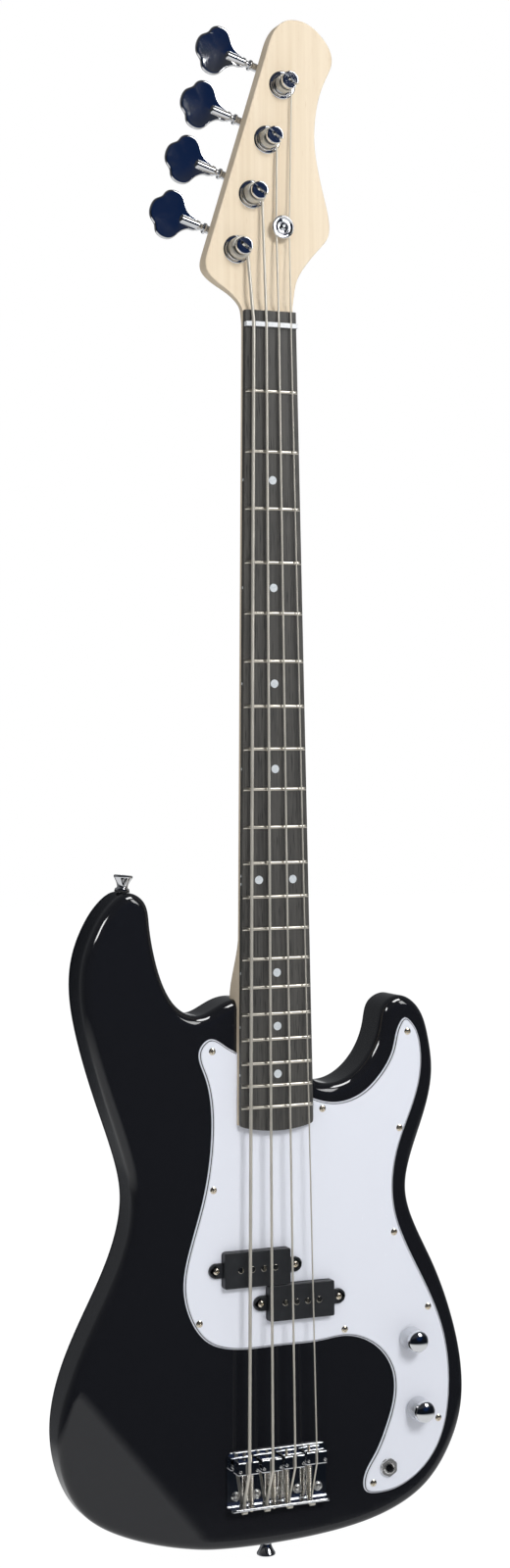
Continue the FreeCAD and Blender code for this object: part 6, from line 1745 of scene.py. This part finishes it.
    def nuts(self) -> Surface:
        """Washer and hex nut at each control."""
        low = self.guard_top + self.washer_height
        ring = barrel(self.washer, self.guard_top, low, 0.15, FINE_TURN, self.bush)
        pair = joined([ring, self.hexagon(low, low + self.nut_height, self.bush)])
        return spread(pair, [LAYOUT.over_body(share) for share in self.control_shares])

    def jack(self) -> Surface:
        """Jack: threaded bush with a bore, over a dark floor where the contacts lie."""
        low, top, rim, bush, bore = self.jack_low, self.jack_top, self.jack_flange, self.bush, self.jack_bore
        floor, shoulder, (depth, step) = low + self.jack_floor, self.jack_shoulder, self.jack_thread
        thread = [(bush - depth * (k % 2), self.guard_top + step * k) for k in range(9)]
        rows = [(0.0, low), (rim, low), (rim, shoulder), (bush, shoulder), *thread, (bush - 0.5, top),
                (bore + 0.5, top), (bore, top - 0.5), (bore, floor), (0.0, floor)]
        return lathe(rows).moved(LAYOUT.over_body(self.jack_share))

    def build(self) -> None:
        """Makes the pickguard and all that it carries."""
        piece, dress = self.shop.piece, self.shop.dress
        piece("pickguard_ply", self.guard(), GUARD, ["pickguard"], sharp=20.0)
        heads = [LAYOUT.over_body(share, self.guard_top) for share in self.screw_shares]
        screws = spread(screw(*self.guard_screw), heads)
        piece("pickguard_screws_crossed", screws, NICKEL, ["pickguard_screws"])
        piece("pickup_covers_moulded", self.covers(), COVER, ["pickup_covers"])
        piece("pole_pieces_round", self.poles(), POLE, ["pole_pieces"])
        half = self.ear_span / 2
        ears = [(x + side.value * half, y, self.ear_top) for x, y in self.pickups for side in Side]
        piece("pickup_screws_crossed", spread(screw(*self.ear_screw), ears), NICKEL, ["pickup_screws"])
        piece("control_nuts_hex", self.nuts(), SATIN, ["control_nuts"])
        piece("output_jack_bored", self.jack(), SATIN, ["output_jack"])
        for name, share in (("volume", self.volume_share), ("tone", self.tone_share)):
            body, shape = f"knob_{name}", self.knob().moved(LAYOUT.over_body(share))
            piece(f"{body}_ribbed", shape, CHROME, [body], body, sharp=50.0)
            dress(PLAIN_STEEL, f"pot_shaft_{name}")
        for finish, name in ((PLAIN_STEEL, "pot_bodies"), (COIL, "pickup_coils"), (FOAM, "pickup_foam"),
                             (CAPACITOR, "capacitor")):
            dress(finish, name)


# Bridge and strings


@dataclass
class Bridge:
    """Bent plate with four saddles on long screws and springs."""

    shop: Workshop
    half: float = 41.0
    front: float = -855.0
    rear: float = -898.0
    thickness: float = 2.0
    upstand: float = 12.5
    corner: float = 4.0
    plate_ease: float = 0.9
    corner_steps: Tuple[float, ...] = (0.0, 0.15, 0.4, 0.8, 1.3, 2.0, 2.8, 3.5, 4.0, 8.0)
    screw_pitch: float = 17.0
    screw_row: float = -888.5
    plate_screw: Quad = (1.9, 3.6, 2.2, 24.0)
    saddle_width: float = 17.2
    saddle_length: float = 10.0
    saddle_rear: float = -868.0
    stagger: float = 0.6
    saddle_top: float = 16.4
    saddle_low: float = 4.6
    saddle_edge: float = 1.6
    saddle_end_share: float = 0.6
    saddle_shoulder: float = 0.5
    groove: float = 0.8
    groove_share: float = 0.7
    height_offset: float = 6.9
    height_radius: float = 1.2
    height_rise: float = 0.5
    height_back: float = 1.8
    hex_radii: Pair = (0.62, 0.5)
    hex_depth: float = 0.9
    screw_offset: float = 4.0
    screw_rise: float = 8.5
    screw_radius: float = 1.25
    screw_head: float = 2.1
    screw_head_height: float = 1.8
    screw_tip: float = 4.0
    thread: float = 0.7
    thread_share: float = 0.16
    spring_radius: float = 1.98
    spring_wire: float = 0.7
    spring_turns: int = 22

    def rear_of(self, index: int) -> float:
        """Rear face of a saddle, staggered along the row."""
        return self.saddle_rear - self.stagger * (len(STRINGS) - 1 - index)

    def top_of(self, index: int) -> float:
        """Top of a saddle, following the crown."""
        return self.saddle_top - float(LAYOUT.drop(LAYOUT.saddle_x(index)))

    def screw_x(self, index: int) -> float:
        """Place of an intonation screw, beside its string toward the middle."""
        x = LAYOUT.saddle_x(index)
        return x - math.copysign(self.screw_offset, x)

    def plate(self) -> Surface:
        """Bent plate: its section carried across x, held under round corners r - sqrt(r^2 - (r - d)^2)."""
        inner, thick, half = self.rear + self.thickness, self.thickness, self.half
        corners = [(self.front, 0.0), (self.front, thick), (inner, thick), (inner, self.upstand),
                   (self.rear, self.upstand), (self.rear, 0.0)]
        section = eased(corners, self.plate_ease, 6, closed=True)
        d = np.array(self.corner_steps)
        inside_x = np.linspace(-half + 3 * self.corner, half - 3 * self.corner, 20)
        x = np.concatenate([-half + d, inside_x, half - d[::-1]])[:, None]
        gap = np.minimum(np.minimum(x + half, half - x), self.corner)
        short = self.corner - np.sqrt(np.maximum(self.corner ** 2 - (self.corner - gap) ** 2, 0.0))
        y = np.minimum(section[:, 0], self.front - short)
        z = np.minimum(section[:, 1], np.maximum(self.upstand - short, thick))
        bend = (self.rear + thick / 2, thick / 2)
        return capped(spots(x, y, z), (-half, *bend), (half, *bend))

    def saddle(self, index: int) -> Surface:
        """Saddle: a block's section with a groove g exp(-(x/w)^2) in its top, carried along y, ends eased."""
        half, edge = self.saddle_width / 2, self.saddle_shoulder
        low, top = self.saddle_low, self.top_of(index)
        x = np.linspace(half - edge, -half + edge, 61)
        crest = top - self.groove * np.exp(-(x / (LAYOUT.gauges[index] * self.groove_share)) ** 2)
        outline = np.concatenate([[(half, low), (half, top - edge)], spots(x, crest),
                                  [(-half, top - edge), (-half, low)]])
        rings = rounded_rings(0.0, self.saddle_length, self.saddle_edge * self.saddle_end_share, 6)
        place = (LAYOUT.saddle_x(index), self.rear_of(index), 0.0)
        return stack(outline, rings).moved(place, facing((0.0, 1.0, 0.0), (-1.0, 0.0, 0.0)))

    def threaded(self, radius: float, start: float, end: float, pitch: float) -> Surface:
        """Threaded rod along z: radius less a ridge depth (1 + cos(a - 2 pi z / p)) / 2."""
        a = angles(20)
        z = np.linspace(start, end, max(int((end - start) / pitch * 7), 8))[:, None]
        r = radius * (1 - self.thread_share * (1 + np.cos(a - math.tau * z / pitch)) / 2)
        return capped(swept(r, z, a), (0.0, 0.0, start), (0.0, 0.0, end))

    def height_screws(self, index: int) -> Surface:
        """Two grub screws through a saddle, with a hollow hex in the top."""
        low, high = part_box(f"height_screws_{STRINGS[index]}")
        y = (low.z + high.z) / 2 / MILLIMETRE - self.height_back
        base, top = -high.y / MILLIMETRE, self.top_of(index) + self.height_rise
        rim, (mouth, foot), floor = self.height_radius * 0.98, self.hex_radii, top - self.hex_depth
        cap = turned([(rim, top - 1.0), (rim, top), (mouth, top), (foot, floor), (0.0, floor)], 0.1, 24)
        rod = joined([self.threaded(self.height_radius, base, top - 0.6, self.thread), cap])
        x = LAYOUT.saddle_x(index)
        return spread(rod, [(x + side.value * self.height_offset, y, 0.0) for side in Side])

    def intonation(self, index: int) -> Surface:
        """Long threaded screw through the upstand into a saddle, with a crossed head behind."""
        end = self.rear_of(index) + self.saddle_length + self.screw_tip
        rod = self.threaded(self.screw_radius, 0.0, end - self.rear, self.thread)
        head = behind((0.8, self.screw_head, self.screw_head_height, 1.5))
        place = (self.screw_x(index), self.rear, self.screw_rise)
        return joined([rod, head]).moved(place, facing((0.0, 1.0, 0.0)))

    def spring(self, index: int) -> Surface:
        """Spring: a helix (r cos a, r sin a) that climbs evenly from the upstand to the saddle."""
        wire, coil = self.spring_wire / 2, self.spring_radius
        start, end = self.rear + self.thickness + wire, self.rear_of(index) - wire
        a = np.linspace(0.0, math.tau * self.spring_turns, self.spring_turns * 20)
        y = start + (end - start) * np.linspace(0.0, 1.0, len(a))
        path = spots(self.screw_x(index) + coil * np.cos(a), y, self.screw_rise + coil * np.sin(a))
        return replace(tube(path, wire, (0.0, 1.0, 0.0), 8), uv=None)

    def build(self) -> None:
        """Makes the bridge."""
        piece = self.shop.piece
        piece("bridge_plate_bent", self.plate(), CHROME, ["bridge_plate"])
        row = [(x, self.screw_row, self.thickness) for x in (np.arange(5) - 2) * self.screw_pitch]
        piece("bridge_screws_crossed", spread(screw(*self.plate_screw), row), SATIN, ["bridge_screws"])
        for index, name in enumerate(STRINGS):
            body, grub, rod = f"saddle_{name}", f"height_screws_{name}", f"intonation_screw_{name}"
            piece(f"{body}_grooved", self.saddle(index), CHROME, [body], body)
            piece(f"{grub}_threaded", self.height_screws(index), SATIN, [grub], body)
            piece(f"intonation_{name}_threaded", self.intonation(index), NICKEL, [rod], rod)
            coil = piece(f"spring_{name}_coiled", self.spring(index), SPRING_STEEL, [f"spring_{name}"], "")
            rear, front = [point_in_frame((self.screw_x(index), y, self.screw_rise))
                           for y in (self.rear + self.thickness, self.rear_of(index))]
            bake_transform(coil)


@dataclass
class Strings:
    """Four wound strings from their ball ends over saddle and nut to their posts."""

    shop: Workshop
    bridge: Bridge
    tuners: Tuners
    neck: Neck
    hole_rise: float = 4.5
    ball: float = 2.2
    ball_bore: float = 0.9
    clear: float = 0.3
    winding_gap: float = 0.5
    turns: Tuple[float, ...] = (2.5, 3.0, 3.5, 4.0)
    winding_low: float = 2.9
    under_tree: float = 6.2
    bend: float = 5.0
    sides: int = 14
    stub_share: float = 0.9
    stub_drop: float = 1.2
    stub_reach: float = 3.6

    def rest(self, index: int) -> Array:
        """Where a string bends over its saddle."""
        bridge = self.bridge
        return np.array([LAYOUT.saddle_x(index), bridge.rear_of(index) + bridge.saddle_edge,
                         bridge.top_of(index) - bridge.groove + self.clear + LAYOUT.radius(index)])

    def at_nut(self, index: int) -> Array:
        """Where a string bends over the nut."""
        x = LAYOUT.string_x(index, LAYOUT.nut_pitch)
        height = LAYOUT.board_top - float(LAYOUT.drop(x)) + self.neck.nut_lift + LAYOUT.radius(index)
        return np.array([x, self.neck.nut_thickness / 2, height])

    def winding(self, index: int, start: Array) -> Array:
        """Turns round the post: from the tangent point, a helix that climbs a gauge and a gap each turn.

        The tangent from q touches a circle of radius r about c, at a distance l, where the way makes the
        angle asin(r / l) with the line to c.
        """
        radius = LAYOUT.radius(index)
        coil = self.tuners.post_waist + self.clear + radius
        centre = self.tuners.post_place(index)[:2]
        gap = centre - start[:2]
        length = float(np.linalg.norm(gap))
        heading = math.atan2(gap[1], gap[0]) - math.asin(coil / length)
        way = np.array([math.cos(heading), math.sin(heading)])
        touch = start[:2] + math.sqrt(length ** 2 - coil ** 2) * way
        first = math.atan2(*(touch - centre)[::-1])
        a = np.linspace(0.0, math.tau * self.turns[index], int(40 * self.turns[index]))
        rise = self.winding_low + radius + (LAYOUT.gauges[index] + self.winding_gap) * a / math.tau
        return spots(centre[0] + coil * np.cos(first + a), centre[1] + coil * np.sin(first + a), rise)

    def head_side(self, index: int) -> Array:
        """Centre line from the saddle over the nut to the end of the winding."""
        corners = [self.rest(index), self.at_nut(index)]
        if index >= len(STRINGS) - 2:
            nut, post = corners[-1], self.winding(index, corners[-1])[0]
            y = self.tuners.tree_place[1]
            share = (y - nut[1]) / (post[1] - nut[1])
            x, z = nut[0] + (post[0] - nut[0]) * share, self.under_tree - LAYOUT.radius(index)
            corners.append(np.array([x, y, z]))
        coil = self.winding(index, corners[-1])
        path = eased([*corners, coil[0]], self.bend, 7)
        steps = np.linspace(path[0], path[1], 80)[:-1]
        return np.concatenate([steps, path[1:-1], coil])

    def tail_side(self, index: int) -> Array:
        """Centre line from the saddle down to the ball end behind the upstand."""
        x = LAYOUT.saddle_x(index)
        hole = np.array([x, self.bridge.rear + 2 * self.bridge.thickness, self.hole_rise])
        end = np.array([x, self.bridge.rear - self.ball, self.hole_rise])
        path = eased([self.rest(index), hole, end], self.bend, 9)
        return np.concatenate([np.linspace(path[0], path[1], 24)[:-1], path[1:]])

    def ball_end(self, index: int) -> Surface:
        """Ball end: a drilled barrel across the string."""
        ring = barrel(self.ball, -self.ball, self.ball, 0.4, 32, self.ball_bore)
        made = ring.moved((LAYOUT.saddle_x(index), self.bridge.rear - self.ball, self.hole_rise), TO_TREBLE)
        return replace(made, uv=np.zeros((len(made.points), 2)))

    def stub(self, index: int) -> Surface:
        """Cut end of a string, bent up in the slot of its post."""
        tuners, radius = self.tuners, LAYOUT.radius(index) * self.stub_share
        low, top = tuners.post_top - tuners.slot_depth + radius + 0.1, tuners.post_top - self.stub_drop
        axes = tuners.axes(tuners.slot_turn)
        corners = [(0.0, -self.stub_reach, low), (0.0, 0.0, low), (0.0, 0.6, top)]
        path = eased(corners, 2.0, 9) @ axes.T + tuners.post_place(index)
        return tube(path, radius, axes[:, 0], 12)

    def build(self) -> None:
        """Makes the strings, each split where it crosses its saddle."""
        piece, hole = self.shop.piece, self.bridge.rear + self.bridge.thickness
        for index, name in enumerate(STRINGS):
            radius, body = LAYOUT.radius(index), f"saddle_{name}"
            rest, nut, tail = [point_in_frame(spot) for spot in (
                self.rest(index), self.at_nut(index), (LAYOUT.saddle_x(index), hole, self.hole_rise))]
            shape = tube(self.head_side(index), radius, FRONT, self.sides)
            made = piece(f"string_{name}_speaking", shape, WOUND, [f"string_{name}"], "")
            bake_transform(made)
            shape = joined([tube(self.tail_side(index), radius, FRONT, self.sides), self.ball_end(index)])
            made = piece(f"string_{name}_tail", shape, WOUND, [], "")
            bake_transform(made)
            piece(f"string_{name}_stub", self.stub(index), WOUND, [], f"tuner_post_{name}")


# Neck plate and strap buttons


@dataclass
class Fittings:
    """Neck plate with its screws, and the two strap buttons on their felts."""

    shop: Workshop
    plate_half_x: float = 25.5
    plate_half_y: float = 32.0
    plate_middle: float = -559.36
    plate_thickness: float = 1.6
    plate_corner: float = 4.0
    plate_edge: float = 0.6
    screw_inset: float = 6.5
    neck_screw: Quad = (2.4, 4.4, 1.8, 40.0)
    button_screw: Quad = (2.2, 3.6, 1.4, 34.0)
    felt: float = 5.8
    felt_thickness: float = 1.5
    button_head: float = 7.2
    button_waist: float = 4.0
    button_foot: float = 5.6
    button_height: float = 11.5
    button_depth: float = -21.0
    button_dish: float = 1.6
    flare_power: float = 1.6
    flare_start: float = 2.4
    flare_less: float = 4.0
    dish_radii: Pair = (4.2, 3.9)
    horn_share: Pair = (-0.340, 1.000)
    tail_share: Pair = (0.000, 0.000)
    horn_lean: float = 6.0

    @property
    def plate_low(self) -> float:
        """Height of the plate's outer face."""
        return -LAYOUT.body_thickness - self.plate_thickness

    def plate(self) -> Surface:
        """Plate behind the heel, with eased rims."""
        made = stack(rectangle(self.plate_half_x, self.plate_half_y, self.plate_corner, 10),
                     rounded_rings(self.plate_low, -LAYOUT.body_thickness, self.plate_edge, 5))
        return made.moved((0.0, self.plate_middle, 0.0))

    def button(self) -> Surface:
        """Strap button: a foot, a hollow-sided neck and a flared head, dished at the end for its screw."""
        low, top = self.felt_thickness, self.felt_thickness + self.button_height
        foot, waist, head = self.button_foot, self.button_waist, self.button_head
        dish, (mouth, floor) = top - self.button_dish, self.dish_radii
        a = np.linspace(0.0, 1.0, 14)
        rise = low + self.flare_start + (self.button_height - self.flare_less) * a
        flare = spots(waist + (head - waist) * a ** self.flare_power, rise)
        rows = [(0.0, low), (foot, low), (foot, low + 1.0), (waist + 0.2, low + 2.0), *map(tuple, flare),
                (head, top - 0.5), (head - 0.7, top), (mouth, top), (floor, dish), (0.0, dish)]
        return lathe(rows, FINE_TURN)

    def at_both(self, surface: Surface) -> List[Surface]:
        """A surface at each button: on the horn, leaning to the treble side, and on the tail."""
        lean = math.radians(self.horn_lean)
        ways = ((self.horn_share, (math.sin(lean), math.cos(lean), 0.0)), (self.tail_share, (0.0, -1.0, 0.0)))
        return [surface.moved(LAYOUT.over_body(share, self.button_depth), facing(way)) for share, way in ways]

    def screws(self) -> Surface:
        """Four screws of the neck plate and one in each button."""
        half_x, half_y = self.plate_half_x - self.screw_inset, self.plate_half_y - self.screw_inset
        corners = [(x.value * half_x, self.plate_middle + y * half_y, self.plate_low)
                   for x in Side for y in (-1.0, 1.0)]
        end = self.felt_thickness + self.button_height - self.button_dish
        button_screw = screw(*self.button_screw).moved((0.0, 0.0, end))
        return joined([spread(behind(self.neck_screw), corners), *self.at_both(button_screw)])

    def build(self) -> None:
        """Makes the plate, the buttons and their screws."""
        piece = self.shop.piece
        piece("neck_plate_eased", self.plate(), CHROME, ["neck_plate"])
        piece("wood_screws_crossed", self.screws(), CHROME, ["wood_screws"])
        piece("strap_buttons_flared", joined(self.at_both(self.button())), CHROME, ["strap_buttons"])
        pad = barrel(self.felt, 0.0, self.felt_thickness, 0.4, TURN)
        piece("strap_felts_pressed", joined(self.at_both(pad)), FELT, ["strap_felts"])


# Studio


@dataclass(frozen=True)
class Lamp:
    """Soft rectangular lamp: place and sides in metres, power in watts, and what it lights."""

    name: str
    place: Triple
    sides: Pair
    power: float
    diffuse: bool = True
    glossy: bool = True
    lacquer_only: bool = False


@dataclass
class Studio:
    """Camera at the photograph's place, soft light, pale floor and white surroundings.

    A reflection sees night in front, with navy about one way, slate above a height, dusk toward the sides,
    the pale floor below, night again behind, and the pale backdrop straight behind.
    """

    eye: Triple = (-0.72538, -1.73223, -0.32329)
    ahead: Triple = (0.38067, 0.92463, -0.01232)
    up: Triple = (0.01286, 0.00803, 0.99989)
    lens: float = 56.40
    sensor: float = 36.0
    floor: float = -0.950
    floor_half: float = 8.0
    ambient: float = 0.46
    night: Triple = (0.006, 0.008, 0.012)
    navy: Triple = (0.006, 0.017, 0.058)
    navy_way: Triple = (0.34, -0.91, 0.24)
    slate: Triple = (0.040, 0.042, 0.047)
    dusk: Triple = (0.155, 0.16, 0.168)
    pale: Triple = (0.74, 0.745, 0.75)
    navy_shares: Pair = (0.935, 0.975)
    slate_heights: Pair = (0.25, 0.34)
    dusk_depths: Pair = (-0.35, 0.55)
    floor_heights: Pair = (-0.29, -0.44)
    night_depths: Pair = (0.925, 0.95)
    backdrop_shares: Pair = (0.985, 0.998)
    sky: Triple = (0.97, 0.98, 1.0)
    white: Triple = (1.0, 1.0, 1.0)
    floor_tone: Triple = (0.92, 0.92, 0.92)
    floor_glow: float = 1.10
    floor_share: float = 0.88
    target: Triple = (0.0, 0.0, -0.45)
    lamps: Tuple[Lamp, ...] = (
        Lamp("key", (0.25, -2.3, 0.80), (0.8, 0.8), 42.0, glossy=False),
        Lamp("sheen", (1.5, -2.2, 1.1), (0.9, 1.5), 40.0, diffuse=False),
        Lamp("fill", (-2.2, -1.6, 0.3), (1.2, 1.8), 6.0, glossy=False),
        Lamp("crown", (0.3, -0.66, 1.2), (1.0, 0.6), 38.0, diffuse=False, lacquer_only=True),
        Lamp("flank", (-1.48, -1.05, 0.51), (0.5, 0.5), 16.0, diffuse=False, lacquer_only=True))

    def camera(self) -> None:
        """Camera on its fitted place, with the long side of the frame upright."""
        data = bpy.data.cameras.new("camera")
        data.lens = self.lens
        data.sensor_width = self.sensor
        data.clip_end = 50.0
        ahead, up = Vector(self.ahead).normalized(), Vector(self.up)
        right = ahead.cross(up).normalized()
        made = placed("camera", data)
        made.matrix_world = Matrix((right, right.cross(ahead), -ahead)).transposed().to_4x4()
        made.location = self.eye
        bpy.context.scene.camera = made

    def light(self) -> None:
        """Lamps aimed at the target, some of them on the lacquer alone."""
        lacquered = bpy.data.collections.new("lacquered")
        lacquered.objects.link(bpy.data.objects[LACQUERED_BODY])
        for lamp in self.lamps:
            data = bpy.data.lights.new(lamp.name, "AREA")
            data.shape = "RECTANGLE"
            data.size, data.size_y = lamp.sides
            data.energy = lamp.power
            made = placed(lamp.name, data)
            made.location = lamp.place
            way = Vector(self.target) - Vector(lamp.place)
            made.rotation_euler = way.to_track_quat("-Z", "Y").to_euler()
            made.visible_diffuse, made.visible_glossy = lamp.diffuse, lamp.glossy
            if lamp.lacquer_only:
                made.light_linking.receiver_collection = lacquered

    def surroundings(self) -> None:
        """White to the camera; for reflections a dark room in front, dimmer sides, and the white backdrop."""
        world = bpy.data.worlds.new("studio")
        world.use_nodes = True
        bpy.context.scene.world = world
        nodes = Nodes(world.node_tree)
        where = nodes.add("ShaderNodeTexCoord", output="Generated")
        depth, height = nodes.part(where, "Y"), nodes.part(where, "Z")
        straight, aside = nodes.toward(where, self.ahead), nodes.toward(where, self.navy_way)
        seen = nodes.mixed(aside.between(*self.navy_shares), self.night, self.navy)
        for share, colour in ((height.between(*self.slate_heights), self.slate),
                              (depth.between(*self.dusk_depths), self.dusk),
                              (height.between(*self.floor_heights), self.pale),
                              (depth.between(*self.night_depths), self.night),
                              (straight.between(*self.backdrop_shares), self.pale)):
            seen = nodes.mixed(share, seen, colour)
        kind = "ShaderNodeBackground"
        soft, mirror = nodes.glow(kind, self.sky, self.ambient), nodes.glow(kind, seen, 1.0)
        dim = nodes.either(nodes.ray("Glossy"), soft, mirror)
        straight_on = nodes.ray("Camera").maths("MAXIMUM", nodes.ray("Transmission"))
        whole = nodes.either(straight_on, dim, nodes.glow(kind, self.white, 1.0))
        nodes.add("ShaderNodeOutputWorld", None, {"Surface": whole})

    def ground(self) -> None:
        """Pale floor: plain white to the camera but for the shadow that it keeps."""
        half = self.floor_half
        mesh = bpy.data.meshes.new("floor")
        signs = ((-1, -1), (1, -1), (1, 1), (-1, 1))
        corners = [(x * half, y * half, self.floor) for x, y in signs]
        mesh.from_pydata(corners, [], [(0, 1, 2, 3)])
        paint = bpy.data.materials.new("floor")
        paint.use_nodes = True
        nodes = Nodes(paint.node_tree)
        matt = nodes.add("ShaderNodeBsdfDiffuse", None, {"Color": self.floor_tone})
        glow = nodes.glow("ShaderNodeEmission", self.white, self.floor_glow)
        whole = nodes.either(nodes.ray("Camera") * self.floor_share, matt, glow)
        nodes.add("ShaderNodeOutputMaterial", None, {"Surface": whole})
        mesh.materials.append(paint)
        made = placed("floor", mesh)
        made.visible_glossy = False

    def build(self) -> None:
        """Sets the studio up."""
        self.camera()
        self.surroundings()
        self.ground()
        self.light()
        bpy.context.scene.view_settings.view_transform = "Standard"


def main() -> None:
    """Builds the sub-assemblies in order, then the studio."""
    logging.basicConfig(level=logging.INFO, format="%(name)s: %(message)s")
    shop = Workshop()
    body, neck, tuners, bridge = Body(shop), Neck(shop), Tuners(shop), Bridge(shop)
    parts = [body, neck, tuners, Electrics(shop), bridge, Strings(shop, bridge, tuners, neck), Fittings(shop)]
    for part in parts:
        part.build()
    Studio().build()


if __name__ == "__main__":
    main()
